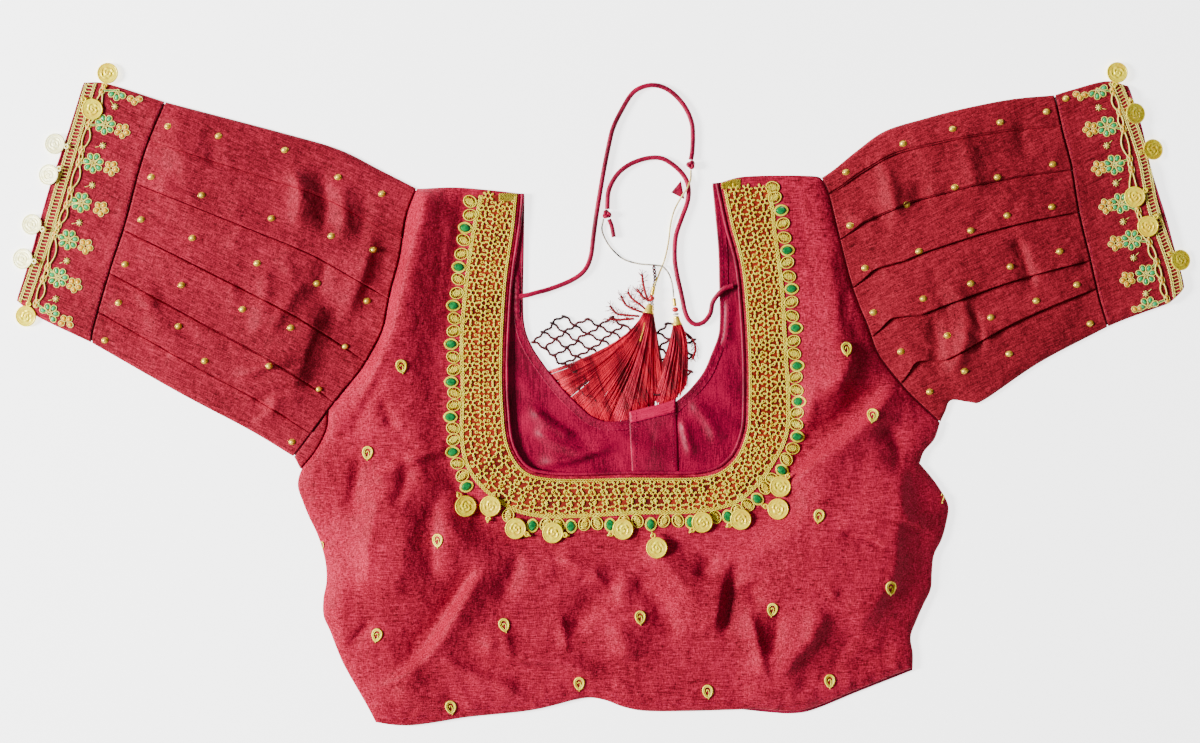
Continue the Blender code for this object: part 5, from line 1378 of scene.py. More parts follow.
def small_creases(rng, count, area, clear_of, clear):
    """Short soft creases of uneven length and depth, all over an area."""
    low, high = area.min(0), area.max(0)
    made = []
    while len(made) < count:
        centre = rng.uniform(low, high)
        if not inside([centre], area)[0] or distance_to([centre], clear_of)[0] < clear:
            continue
        heading = rng.uniform(0, math.pi)
        half = rng.uniform(*SMALL_HALF)
        ahead = pointing(heading)
        across = array([-ahead[1], ahead[0]])
        middle = centre + across * rng.normal(0, 1.6)
        height = rng.choice([-1, 1]) * rng.uniform(*SMALL_HEIGHT)
        line = [centre - ahead * half, middle, centre + ahead * half]
        made.append(Crease("small", line, height, rng.uniform(*SMALL_WIDTH),
                           rng.uniform(*SMALL_WIDTH)))
    return made


def hem_puckers(rng):
    """Short ridges that run up from the hem, where its stitches draw the cloth in."""
    hem = smooth_line(HEM, 1.0)
    inner = beside(hem, 1.0) - hem
    along = lengths_along(hem)
    made, at = [], PUCKER_CLEAR
    while at < along[-1] - PUCKER_CLEAR:
        k = int(np.searchsorted(along, at))
        run = array([-inner[k][1], inner[k][0]]) * rng.normal(0, 2.5)
        reach = rng.uniform(*PUCKER_REACH)
        line = [hem[k] + inner[k] * 0.6, hem[k] + inner[k] * reach / 2 + run * 0.4,
                hem[k] + inner[k] * reach + run]
        made.append(Crease("pucker", line, rng.uniform(*PUCKER_HEIGHT),
                           rng.uniform(*PUCKER_WIDTH), rng.uniform(*PUCKER_WIDTH)))
        at += rng.uniform(*PUCKER_STEP)
    return made


def edge_without_neck(outline):
    """The outline from one end of the neckline round to the other."""
    apart = distance_to(outline, smooth_line(FRONT_NECK, 2.0)) > 5.0
    first = int(np.nonzero(apart & ~np.roll(apart, 1))[0][0])
    return np.roll(outline, -first, axis=0)[np.roll(apart, -first)]


BAND_RAMP = 24.0  # over this, the body's swell begins below the band
CREASE_RAMP = 12.0  # and over this, its creases
UNDER_BAND_RAMP = 90.0  # the band's lift fades upwards over this
ARMHOLE_SPAN = 30.0  # how far from the left armhole its seam is felt
LEAST_RAISED = 0.3
PUCKER_RAMP = 3.0
STITCH_DENT = 0.45
STITCH_WIDTH = 1.2


def front_height(outline, rng):
    """The height of the front's top as a function of flat points."""
    edge = edge_without_neck(outline)
    neck = smooth_line(FRONT_NECK, 2.0)
    hem = smooth_line(HEM, 2.0)
    armhole = smooth_line(ARMHOLE_LEFT, 2.0)
    small = small_creases(rng, 46, outline, neck, 52.0)
    puckers = hem_puckers(rng)

    def top(flat):
        folds = crease_height(flat, FRONT_CREASES + small, FRONT_DEPTH)
        swell = np.full(len(flat), EASE)
        for dome in DOMES:
            away = np.linalg.norm(flat - array(dome.centre), axis=1)
            swell += dome.height * np.exp(-((away / dome.radius) ** 2))
        from_neck = distance_to(flat, neck)
        from_edge = distance_to(flat, edge)
        free = eased((from_neck - BAND_REACH - BAND_CLEAR) / BAND_RAMP)
        creased = eased((from_neck - BAND_REACH - CREASE_CLEAR) / CREASE_RAMP)
        lift = UNDER_BAND_LIFT * eased((UNDER_BAND_RAMP - flat[:, 1]) / UNDER_BAND_RAMP)
        raised = np.clip(lift + free * swell + creased * folds, LEAST_RAISED, MOST_RAISED)
        beside_armhole = np.exp(-((distance_to(flat, armhole) / ARMHOLE_SPAN) ** 2))
        reach = EASE_REACH - (EASE_REACH - ARMHOLE_REACH) * beside_armhole
        high = FRONT_LOW + CLOTH + (1 - np.exp(-from_edge / reach)) * raised
        near_edge = eased(from_edge / PUCKER_RAMP)
        stitched = np.exp(-(((distance_to(flat, hem) - HEM_FOLD) / STITCH_WIDTH) ** 2))
        return high + near_edge * (crease_height(flat, puckers) - STITCH_DENT * stitched)

    return top


def make_front(frame, materials, rng):
    """The front's silk; also returns the function that gives its height."""
    outline = node_outline(frame, "front", 2.4)
    top = front_height(outline, rng)
    piece = cloth_panel("front_silk", "front", outline, top, 1.2, 2.6, materials["silk"],
                        "silk", low_limit=1.5)
    lay_sheet(outline, ["back_left", "back_right"])
    return piece, top


LINING_LEAST = -0.6  # the lining's creases reach no deeper than this
LINING_FADE = 8.0  # they fade over this, outside the neck


def make_backs(frame, materials):
    """The back's two halves: their lining shows inside the neck."""
    neck = np.vstack([smooth_line(FRONT_NECK, 3.0), [FRONT_NECK[0]]])

    def top(flat):
        outside = np.where(inside(flat, neck), 0.0, distance_to(flat, neck))
        folds = crease_height(flat, LINING_CREASES, LINING_DEPTH)
        return CLOTH + np.maximum(folds, LINING_LEAST) * eased(1 - outside / LINING_FADE)

    for side in ("left", "right"):
        outline = node_outline(frame, "back_" + side, 2.4)
        piece = cloth_panel("back_lining_" + side, "back_" + side, outline, top, 1.35, 2.6,
                            materials["satin"], "satin")
        lay_sheet(outline, [])


FACING_CUT = 10.0  # width of the hem facing before it was turned up
PLACKET_TOP = 2.35
GUSSET_TOP = 3.1


def make_small_panels(frame, materials):
    """The hem facing, the placket and the gusset."""
    backs = ["back_left", "back_right"]
    for name, node, high, look, slot, rests, strip_width in (
            ("hem_facing_satin", "hem_facing", CLOTH, "satin", "satin", [], FACING_CUT),
            ("placket_satin", "placket", PLACKET_TOP, "satin", "satin", backs, None),
            ("gusset_silk", "gusset_left", GUSSET_TOP, "silk_left", "silk", ["back_left"],
             None)):
        outline = node_outline(frame, node, 1.8)
        piece = cloth_panel(name, node, outline, level_at(high), 1.0, 2.2, materials[look],
                            slot)
        lay_sheet(outline, rests, strip_width)


# ---------------------------------------------------------------- sleeves and cuffs

def patch(start, end, top, bottom):
    """A function from shares along and down a sleeve to its flat points."""
    even = np.linspace(0, 1, 61)
    start_line, end_line = line_at(start, even), line_at(end, even)
    top_line, bottom_line = line_at(top, even), line_at(bottom, even)
    top_line[0], top_line[-1] = start_line[0], end_line[0]
    bottom_line[0], bottom_line[-1] = start_line[-1], end_line[-1]

    def on(line, share):
        """The point at this share of one of the four sides."""
        return np.stack([np.interp(share, even, line[:, 0]),
                         np.interp(share, even, line[:, 1])], axis=-1)

    def place(along, down):
        down = np.asarray(down, float)
        d = down[:, None]
        corners = ((1 - along) * (1 - d) * start_line[0] + (1 - along) * d * start_line[-1]
                   + along * (1 - d) * end_line[0] + along * d * end_line[-1])
        sides = (1 - along) * on(start_line, down) + along * on(end_line, down)
        return sides + (1 - d) * on(top_line, along) + d * on(bottom_line, along) - corners

    return place


EDGE_ROUND = 0.014  # share of a sleeve's width over which its folded edge is round
UNDERSIDE_START = 0.015  # share of the width between a fold and the flat underside
UNDERSIDE_POINTS = 34
FOLD_THICK = 3.2  # how much narrower a tube is inside, in thicknesses of its cloth
TAKE_UP = 1.02  # the cloth's area, over that of its flat outline


def rounded_edge(down, high):
    """The height over a sleeve's width, brought round to half its edge at both folds."""
    from_fold = np.minimum(np.minimum(down, 1 - down) / EDGE_ROUND, 1.0)
    middle = SLEEVE_EDGE_HEIGHT / 2
    return middle + (high - middle) * np.sqrt(1 - (1 - from_fold) ** 2)


def laid_tube(name, node, place, stations, shares, height, width, material):
    """A flattened tube of cloth, open at both ends, in place of its node."""
    under = np.linspace(1 - UNDERSIDE_START, UNDERSIDE_START, UNDERSIDE_POINTS)
    pinch = 1 - FOLD_THICK * SLEEVE_CLOTH / width
    edge = [SLEEVE_EDGE_HEIGHT / 2]
    outer, inner = [], []
    for along in stations:
        top = shares(along)
        down = np.concatenate([[0.0], top, [1.0], under])
        flat = place(along, down)
        high = np.concatenate([edge, rounded_edge(top, height(along, top, flat[1:len(top) + 1])),
                               edge, np.zeros(len(under))])
        inward = np.concatenate([[0.0], -np.ones(len(top)), [0.0], np.ones(len(under))])
        narrower = place(along, 0.5 + (down - 0.5) * pinch)
        outer.append(np.column_stack([flat, high]))
        inner.append(np.column_stack([narrower, high + inward * SLEEVE_CLOTH]))
    sides, rings = len(down), len(stations)
    count = rings * sides
    faces = []
    for quad in ring_faces(rings, sides):
        faces += [quad, tuple(i + count for i in quad[::-1])]
    for first in (0, (rings - 1) * sides):
        for k in range(sides):
            a, b = first + k, first + (k + 1) % sides
            faces.append((a, b, b + count, a + count))
    piece = make_piece(name, np.vstack(outer + inner), faces, material, outward=True)
    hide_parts(node)
    declare_tube(place)
    return piece


def declare_tube(place):
    """Works out the size and area of both layers opened out, and keeps neither."""
    along = np.linspace(0, 1, 21)
    down = np.linspace(0, 1, 21)
    grid = np.stack([place(a, down) for a in along])
    rim = np.vstack([grid[:, 0], grid[-1, 1:], grid[-2::-1, -1], grid[0, -2:0:-1]])
    widths = np.linalg.norm(np.diff(grid, axis=1), axis=2).sum(1)
    lengths = np.linalg.norm(np.diff(grid, axis=0), axis=2).sum(0)
    flat = (2.0 * float(widths.max()) * MM, float(lengths.max()) * MM)
    area = min(2 * area_of(rim) * TAKE_UP, flat[0] * flat[1])


def pleat_edge(pleat, along):
    """Where a pleat's folded edge is, as a share down the sleeve."""
    return pleat.at_armhole + (pleat.at_cuff - pleat.at_armhole) * along


SLIT_SHARES = (0.0, PLEAT_DROP, 0.0056, 0.0068)  # of the sleeve's width, past the edge
DIP_REACH = 0.028  # share of the sleeve's width over which the cloth past a gap rises again


def pleat_height(along, down, pleats):
    """Knife pleats: a slow climb to the folded edge, then a drop to a narrow gap below it."""
    height = np.zeros(len(down))
    for pleat in pleats:
        past = down - pleat_edge(pleat, along)
        climb = np.clip(1 + past / PLEAT_DEPTH, 0, 1) * (past <= 0)
        fall = np.clip(1 - past / PLEAT_DROP, 0, 1) * (past > 0)
        slit = np.interp(past, SLIT_SHARES, (0.0, 1.0, 1.0, 0.0))
        dip = np.exp(-past / DIP_REACH) * (past > 0)
        height += PLEAT_RISE * (climb + fall) - PLEAT_SLIT * slit - PLEAT_DIP * dip
    return height


def sleeve_shares(along, pleats):
    """Where a sleeve's top has points: evenly, closer at its folds and at each pleat."""
    shares = list(np.linspace(0.02, 0.98, 92)) + [0.002, 0.006, 0.012, 0.988, 0.994, 0.998]
    for pleat in pleats:
        edge = pleat_edge(pleat, along)
        shares += [edge - 0.004, *(edge + share for share in SLIT_SHARES), edge + 0.010,
                   edge + 0.018]
    return np.sort(array(shares))


Arm = namedtuple("Arm", "side outward armhole cuff_seam sleeve_top sleeve_bottom pleats creases"
                        " cuff_edge cuff_top cuff_bottom phase")
ARMS = [
    Arm("left", 1, ARMHOLE_LEFT, CUFF_SEAM_LEFT, SLEEVE_LEFT_TOP, SLEEVE_LEFT_BOTTOM,
        PLEATS_LEFT, SLEEVE_LEFT_CREASES, CUFF_LEFT_EDGE, CUFF_LEFT_TOP, CUFF_LEFT_BOTTOM, 0.4),
    Arm("right", -1, ARMHOLE_RIGHT, CUFF_SEAM_RIGHT, SLEEVE_RIGHT_TOP, SLEEVE_RIGHT_BOTTOM,
        PLEATS_RIGHT, SLEEVE_RIGHT_CREASES, CUFF_RIGHT_EDGE, CUFF_RIGHT_TOP, CUFF_RIGHT_BOTTOM,
        2.2),
]
ARMHOLE_GAP = 0.78  # from the armhole's line to the sleeve
CUFF_GAP = 0.6 / 190  # share of the sleeve's length left open before the cuff
SLEEVE_WIDTH = 180.0
CUFF_WIDTH = 170.0


# At each end of a sleeve, the share of its length over which something fades.
PUFF_FADE = (0.35, 0.3)
PLEAT_FADE = (0.12, 0.06)
CREASE_ENDS = (0.06, 0.05)
PLEAT_LEFT = 0.3  # share of their height that the pleats keep at the very ends
SLEEVE_LEAST = 2.0


def between_ends(along, fade):
    """0 at both ends of a sleeve and 1 between them, with a smooth rise at each."""
    return float(eased(along / fade[0]) * eased((1 - along) / fade[1]))


def make_sleeve(arm, material, rng):
    """A pleated sleeve between the armhole and the cuff seam."""
    armhole = beside(line_at(arm.armhole, np.linspace(0, 1, 25)), -ARMHOLE_GAP * arm.outward)
    place = patch(armhole, arm.cuff_seam, arm.sleeve_top, arm.sleeve_bottom)
    rim = np.vstack([place(a, [0.0]) for a in np.linspace(0, 1, 12)]
                    + [place(1.0, np.linspace(0, 1, 12))]
                    + [place(a, [1.0]) for a in np.linspace(1, 0, 12)])
    small = small_creases(rng, 20, rim, rim, 14.0)

    def height(along, down, flat):
        bulge = SLEEVE_PUFF * between_ends(along, PUFF_FADE)
        over = np.clip(np.sin(math.pi * down), 0, 1) ** 0.6
        base = SLEEVE_EDGE_HEIGHT + (CUFF_TOP - SLEEVE_EDGE_HEIGHT) * np.minimum(1, over * 1.6)
        folds = crease_height(flat, arm.creases + small, SLEEVE_DEPTH)
        folds *= np.minimum(1, over * 1.4) * between_ends(along, CREASE_ENDS)
        kept = PLEAT_LEFT + (1 - PLEAT_LEFT) * between_ends(along, PLEAT_FADE)
        pleated = kept * pleat_height(along, down, arm.pleats)
        return np.maximum(base + bulge * over + pleated + folds, SLEEVE_LEAST)

    stations = np.concatenate([np.linspace(0, 0.04, 6)[:-1], np.linspace(0.04, 0.97, 80),
                               np.linspace(0.97, 1 - CUFF_GAP, 5)[1:]])
    return laid_tube("sleeve_silk_" + arm.side, "sleeve_" + arm.side, place, stations,
                     lambda along: sleeve_shares(along, arm.pleats), height, SLEEVE_WIDTH,
                     material)


CUFF_WAVES = [(3.1, 0.18), (5.3, 0.12), (9.7, 0.07)]  # waves down the cuff, and their height
# Shares of the cuff's length, from its seam: the stitched ridge beside it.
SEAM_RIDGE = 0.055
RIDGE_WIDTH = 0.03
RIDGE_HEIGHT = 0.5
# Shares of the cuff's width, from its folds: over these its top and its waves rise.
CUFF_ROUND = 0.035
WAVE_ROUND = 0.04


def make_cuff(arm, material):
    """A smooth cuff between the cuff seam and the sleeve's open end."""
    place = patch(arm.cuff_seam, arm.cuff_edge, arm.cuff_top, arm.cuff_bottom)

    def height(along, down, _):
        """Height at shares along and down the cuff; its flat points aren't needed."""
        from_fold = np.minimum(down, 1 - down)
        level = SLEEVE_EDGE_HEIGHT + (CUFF_TOP - SLEEVE_EDGE_HEIGHT) * eased(
            from_fold / CUFF_ROUND)
        waves = sum(size * np.sin(2 * math.pi * many * down + arm.phase + many)
                    for many, size in CUFF_WAVES)
        ridge = RIDGE_HEIGHT * math.exp(-((along - SEAM_RIDGE) / RIDGE_WIDTH) ** 2)
        return level + (waves + ridge) * np.minimum(1, from_fold / WAVE_ROUND)

    shares = np.concatenate([[0.002, 0.006, 0.012], np.linspace(0.02, 0.98, 96),
                             [0.988, 0.994, 0.998]])
    stations = np.concatenate([[0.01], np.linspace(0.025, 1.0, 26)])
    return laid_tube("cuff_silk_" + arm.side, "cuff_" + arm.side, place, stations,
                     lambda along: shares, height, CUFF_WIDTH, material)


def make_arms(materials, rng):
    """Both sleeves, then both cuffs."""
    for arm in ARMS:
        make_sleeve(arm, materials["silk_" + arm.side], rng)
    for arm in ARMS:
        make_cuff(arm, materials["silk_" + arm.side])


# ---------------------------------------------------------------- places of the embroidery

PICTURE_MIDDLE = (600.5, 394.5)  # the pixel at the tables' origin
PICTURE_STEP = 0.715  # millimetres to a pixel of the picture that these places were read from

CHAIN_LEFT = [(96, 69), (90.9, 86.3), (72.7, 149.5), (59.3, 195.4), (45.9, 241.3), (24.5, 304)]
CHAIN_RIGHT = [(1112, 81), (1118.7, 92), (1141, 153.6), (1152, 207), (1172, 268), (1178, 297.8)]
NODES_LEFT = [
    (103.3, 91), (89.5, 125.6), (82.6, 150.4), (80, 162.9), (71.7, 190.6), (67.9, 205),
    (59.7, 225.6), (55.5, 235.2), (48.8, 267.1), (44.4, 279.6), (37.3, 303.5),
]
NODES_RIGHT = [
    (1112.2, 92), (1118.7, 112.9), (1122.4, 129.5), (1128.9, 159.1), (1130.7, 170.2),
    (1137.2, 210.9), (1141, 222), (1148.3, 242.3), (1155.7, 262), (1160.9, 280.3),
    (1166, 299),
]
FLOWERS_LEFT = [
    (118.6, 91), (106.2, 125), (94.3, 163.3), (82.3, 202.7), (69.4, 240), (59.3, 277.7),
    (50, 313.6),
]
FLOWERS_RIGHT = [
    (1096.5, 89.8), (1106.3, 126.8), (1113.5, 165), (1119.6, 203.5), (1130.7, 240),
    (1145, 274.7), (1148, 307),
]
CLUSTERS_LEFT = [
    (135.8, 97.8), (123.4, 131.3), (112.3, 168.6), (102, 209.2), (86.7, 246.5),
    (75.6, 285.3), (67, 322.6),
]
CLUSTERS_RIGHT = [
    (1080, 93.5), (1089.7, 129.5), (1098.4, 168.4), (1105.8, 206.3), (1115, 243.3),
    (1126.7, 279.3), (1137, 312.6),
]
STARS_LEFT = [(116, 107), (104, 146), (93.4, 185.5), (80.4, 223), (67.9, 261), (57, 299)]
STARS_RIGHT = [
    (1097.8, 108), (1106, 146), (1115, 183.5), (1122.4, 222), (1132.6, 258), (1145, 293.8),
]
BEADS = [
    (168.9, 126.8), (219.5, 136.6), (285.4, 150.5), (338.8, 177.5), (382.3, 194.1),
    (152.3, 177.3), (202.9, 195.7), (272.5, 218.8), (332, 236.3), (374, 250.1),
    (142.1, 219.8), (193.6, 238.4), (258.2, 263.6), (317.5, 283.6), (367.5, 301.1),
    (126.1, 264.5), (182.7, 285.4), (243.9, 309.5), (292.4, 328), (345.8, 346.6),
    (119.8, 302.9), (179.6, 326.4), (319.7, 389.1), (105.6, 340.4), (206, 361), (271, 366),
    (292.4, 441.8), (845.5, 172.5), (902.2, 144.3), (951.5, 129.6), (999, 123),
    (1045.7, 112), (849.4, 225.8), (905.6, 205.3), (953.4, 187.9), (995.8, 178),
    (1051.6, 164.7), (864.3, 268.2), (917.8, 251.7), (969.4, 231), (1005.9, 216),
    (1050.8, 207.2), (872.8, 312.5), (922.1, 298.8), (969.4, 283.8), (1009, 266.9),
    (1058.6, 251.6), (900.3, 351.6), (946.5, 335.5), (989.5, 317.6), (1034.9, 301),
    (1075.8, 284.9), (929.2, 391.7), (963.5, 371.1), (1008.2, 353.9), (1089.5, 323.7),
    (1065, 99),
]
BUTIS = [
    (402.7, 366.3), (368.6, 452.5), (322.7, 543.3), (438.6, 539.4), (377.8, 634.1),
    (504.7, 623.8), (451.3, 706.3), (579.3, 682.7), (640.2, 616.5), (771.5, 608.4),
    (707.4, 690.4), (829.1, 680.1), (888.8, 586.6), (817.4, 514.8), (871, 415),
    (942.1, 495.3), (845.2, 348.8),
]

Coin = namedtuple("Coin", "name centre eye pale")
COINS = [
    Coin("neck_1", (-96, -79.5), (-100.5, -72), False),
    Coin("neck_2", (-78.5, -79.5), (-80, -88), False),
    Coin("neck_3", (-60.5, -95.5), (-52.5, -99.5), False),
    Coin("neck_4", (-34, -98.5), (-25.5, -100), False),
    Coin("neck_5", (16, -96), (7, -99.5), False),
    Coin("neck_6", (40, -109), (37.5, -100.5), False),
    Coin("neck_7", (72.5, -91), (65.5, -96.5), False),
    Coin("neck_8", (100, -89), (92, -93), False),
    Coin("neck_9", (126.5, -81.5), (117, -79.5), False),
    Coin("neck_10", (128, -65.5), (133, -58.5), False),
    Coin("cuff_left_1", (-352, 229.5), (-354, 221), False),
    Coin("cuff_left_2", (-362.5, 203.5), (-368, 210), False),
    Coin("cuff_left_3", (-389.5, 179), (-381, 177), True),
    Coin("cuff_left_4", (-394, 157), (-386, 161), True),
    Coin("cuff_left_5", (-406, 121.5), (-398, 118), True),
    Coin("cuff_left_6", (-412.5, 97), (-404, 95), True),
    Coin("cuff_left_7", (-410.5, 56), (-408, 65), False),
    Coin("cuff_right_1", (369, 230), (367, 221), False),
    Coin("cuff_right_2", (381.5, 200.5), (378, 209), False),
    Coin("cuff_right_3", (394.5, 175), (386, 173), False),
    Coin("cuff_right_4", (381, 141), (389, 146), False),
    Coin("cuff_right_5", (390.5, 120), (396, 127), False),
    Coin("cuff_right_6", (414, 96), (406, 100), False),
]
COIN_RADIUS = 7.5
EYE_REACH = 8.9  # from the coin's middle to the eye's

Embroidery = namedtuple("Embroidery", "side outward chain nodes flowers clusters stars")
CUFF_EMBROIDERY = [
    Embroidery("left", 1, CHAIN_LEFT, NODES_LEFT, FLOWERS_LEFT, CLUSTERS_LEFT, STARS_LEFT),
    Embroidery("right", -1, CHAIN_RIGHT, NODES_RIGHT, FLOWERS_RIGHT, CLUSTERS_RIGHT,
               STARS_RIGHT),
]


def on_picture(points):
    """Places in the picture's pixels, across and down, as flat points in millimetres."""
    places = array(points)
    return np.column_stack([(places[:, 0] - PICTURE_MIDDLE[0]) * PICTURE_STEP,
                            (PICTURE_MIDDLE[1] - places[:, 1]) * PICTURE_STEP])


# ---------------------------------------------------------------- threads and motifs

OFF_CLOTH = 2.2  # heights below this aren't on the cloth that carries a motif
# A thread's radius, and the height of its middle above the cloth in such radii.
Yarn = namedtuple("Yarn", "radius lift")
ROSETTE_RING = 2.85  # radius of the circle that a rosette's loops are drawn round
ROSETTE_LOOP = 1.22


def placed(local, centre, heading):
    """The points of a motif drawn about the origin, turned and moved."""
    c, s = math.cos(heading), math.sin(heading)
    return array(local) @ array([[c, s], [-s, c]]) + array(centre)


def thread(shape, ground, flat, yarn, closed=False, sides=3):
    """A thread laid on the cloth. Where an open one leaves the cloth it stops."""
    line = ground.laid(flat, 0.0)
    on_cloth = line[:, 2] >= OFF_CLOTH
    line[:, 2] += yarn.radius * yarn.lift
    if on_cloth.all():
        shape.tube(line, yarn.radius, closed, sides)
        return True
    if not closed:
        breaks = np.nonzero(np.diff(on_cloth.astype(int)))[0] + 1
        for run in np.split(np.arange(len(line)), breaks):
            if len(run) > 2 and on_cloth[run[0]]:
                shape.tube(line[run], yarn.radius, False, sides)
    return False


def seed(shape, ground, centre, heading, long_half, wide_half, height):
    """A small stone or bead on the cloth."""
    level = float(ground.height([centre])[0])
    if level < OFF_CLOTH:
        return
    shape.dome((*centre, level - 0.1), heading, long_half, wide_half, height, 3, 9)


def teardrop(length, half_width, count=18):
    """A loop with its point at the origin and its round end ahead."""
    t = full_turn(count)
    return np.column_stack([length * (1 - np.cos(t)) / 2,
                            half_width * np.sin(t) * np.sin(t / 2) ** 0.8])


def oval(half_length, half_width, count=22):
    """A closed oval about the origin."""
    t = full_turn(count)
    return np.column_stack([half_length * np.cos(t), half_width * np.sin(t)])


def zigzag(half_length, half_width, pitch):
    """A thread led to and fro that fills an oval."""
    points = []
    for k, x in enumerate(np.arange(-half_length + pitch * 0.6, half_length, pitch)):
        reach = half_width * math.sqrt(max(0.0, 1 - (x / half_length) ** 2)) * 0.92
        points.append((x, reach if k % 2 else -reach))
    return resampled(points, len(points) * 3)


def rosette(count=66):
    """A ring of six loops round an open middle."""
    t = full_turn(count)
    return np.column_stack([ROSETTE_RING * np.cos(t) + ROSETTE_LOOP * np.cos(5 * t),
                            ROSETTE_RING * np.sin(t) - ROSETTE_LOOP * np.sin(5 * t)])


def spaced(line, pitch):
    """Points a pitch apart along a line, and the heading of the line at each."""
    count = max(2, int(round(lengths_along(line)[-1] / pitch)) + 1)
    points = resampled(line, count)
    run = np.gradient(points, axis=0)
    return points, np.arctan2(run[:, 1], run[:, 0])


def twisted(line, width, pitch):
    """A line with small even waves, as a plied or chained thread has."""
    points, _ = spaced(line, 0.45)
    side = beside(points, 1.0) - points
    along = lengths_along(points)
    return points + side * (width * np.sin(2 * math.pi * along / pitch))[:, None]


# ---------------------------------------------------------------- neck band

INNER_EDGE = 5.3  # from the neckline to the band
INNER_BORDER = 2.0
OUTER_BORDER = 3.0
ROSETTE_PITCH = 8.7
BAND_COLUMNS = 3
WIDTH_EVENED = 15  # the band's width is evened out over this many millimetres
OUTLINE_INSET = 0.4  # from the band's outer line to its outermost border
OUTER_BORDERS = (OUTLINE_INSET, 1.35, 2.3)
BORDER_WAVE = 0.28
BORDER_PITCH = 1.9
BORDER_PITCH_STEP = 0.15  # so that the borders' waves don't line up
BAND_TOP_LEFT = 142.5
BAND_TOP_RIGHT = 147.0
PETAL_CENTRE = 4.6  # beyond the band's outer line
PETAL_TILT = 0.35  # radians, away from each other in a pair
# Half the length and half the width of a petal's ovals, and of the small rings.
PETAL_RIM = (4.7, 4.0)
PETAL_FILL = (4.1, 3.5)
PETAL_EYE = (2.2, 1.7)
SPACER = (1.05, 0.8)
PETAL_FILL_PITCH = 0.62
PETAL_RIM_YARN = Yarn(0.52, 1.1)
PETAL_FILL_YARN = Yarn(0.40, 1.0)
PETAL_EYE_YARN = Yarn(0.34, 2.2)
ROSETTE_YARN = Yarn(0.47, 1.2)
SPACER_YARN = Yarn(0.42, 0.8)
BORDER_YARN = Yarn(0.46, 0.8)
PATCH_YARN = Yarn(0.38, 0.8)
PETALS_BETWEEN_STONES = 2
TOP_PETALS = [(470.3, 201.6), (470.3, 215.1), (772.4, 187.5), (774.5, 197.8)]
STONE_HALF_LENGTH = 3.8
STONE_HALF_WIDTH = 2.9
STONE_LIFT = 0.15
STONE_RINGS = [(1.0, 0.0), (0.95, 0.8), (0.62, 1.75)]  # share of its size, and height
STONE_TOP = 1.95
STONE_RIMS = [(0.4, Yarn(0.48, 1.1)), (1.05, Yarn(0.46, 1.1))]  # how far beyond the stone
PATCH_ROW = 1.15
PATCH_STEP = 0.8
PATCH_WAVE = 0.55
PATCHES = [  # zigzag patches at the shoulder: left, right, bottom, top
    (-72.5, -59.5, 138.5, 144.2), (86.5, 100.5, 147.5, 153.8),
]


class BandLines:
    """Lines that follow the neck inside the gold band."""

    def __init__(self):
        self.neck = smooth_line(FRONT_NECK, 1.0)
        self.outward = beside(self.neck, -1.0) - self.neck
        width = distance_to(self.neck, smooth_line(BAND_OUTER, 1.0))
        even = np.ones(WIDTH_EVENED) / WIDTH_EVENED
        self.width = np.convolve(np.pad(width, WIDTH_EVENED // 2, "edge"), even, "valid")

    def at(self, offset):
        """The line at this distance from the neckline, which may vary along it."""
        line = self.neck + self.outward * np.broadcast_to(offset, len(self.neck))[:, None]
        top = np.where(line[:, 0] < 0, BAND_TOP_LEFT, BAND_TOP_RIGHT)
        return line[line[:, 1] < top]

    def across(self, columns):
        """The line that is this many columns of rosettes out from the inner border."""
        low = INNER_EDGE + INNER_BORDER
        high = self.width - OUTER_BORDER
        return self.at(low + (high - low) * columns / BAND_COLUMNS)


def edge_lobes():
    """Where stones and petals sit along the band's outer line: place and outward heading."""
    spine = smooth_line(BAND_OUTER, 1.0)
    outward = beside(spine, -1.0) - spine
    headings = np.arctan2(outward[:, 1], outward[:, 0])
    marks = [int(np.linalg.norm(spine - array(s), axis=1).argmin()) for s in STONES]
    petals = []
    for a, b in zip(marks, marks[1:]):
        for k in range(PETALS_BETWEEN_STONES):
            i = int(round(a + (b - a) * (k + 1) / (PETALS_BETWEEN_STONES + 1)))
            petals.append((spine[i] + outward[i] * PETAL_CENTRE, headings[i], k))
    for k, spot in enumerate(on_picture(TOP_PETALS)):
        i = int(np.linalg.norm(spine - spot, axis=1).argmin())
        petals.append((spot, headings[i], k % 2))
    return [(array(s), headings[i]) for s, i in zip(STONES, marks)], petals


def band_threads(gold, ground, rng):
    """Columns of rosettes, rings of thread between them, and the borders."""
    lines = BandLines()
    for k in range(BAND_COLUMNS):
        points, headings = spaced(lines.across(k + 0.5), ROSETTE_PITCH)
        for point, heading in zip(points, headings):
            turn = heading + (k % 2) * math.pi / 6 + rng.normal(0, 0.07)
            spot = point + rng.normal(0, 0.12, 2)
            thread(gold, ground, placed(rosette(), spot, turn), ROSETTE_YARN, closed=True)
    for k in range(BAND_COLUMNS + 1):
        points, _ = spaced(lines.across(k), ROSETTE_PITCH)
        for a, b in zip(points, points[1:]):
            ring = placed(oval(*SPACER, 10), (a + b) / 2, 0.0)
            thread(gold, ground, ring, SPACER_YARN, closed=True)
    borders = [INNER_EDGE, INNER_EDGE + 1.15, *(lines.width - inset for inset in OUTER_BORDERS)]
    for k, offset in enumerate(borders):
        pitch = BORDER_PITCH + BORDER_PITCH_STEP * k
        thread(gold, ground, twisted(lines.at(offset), BORDER_WAVE, pitch), BORDER_YARN)


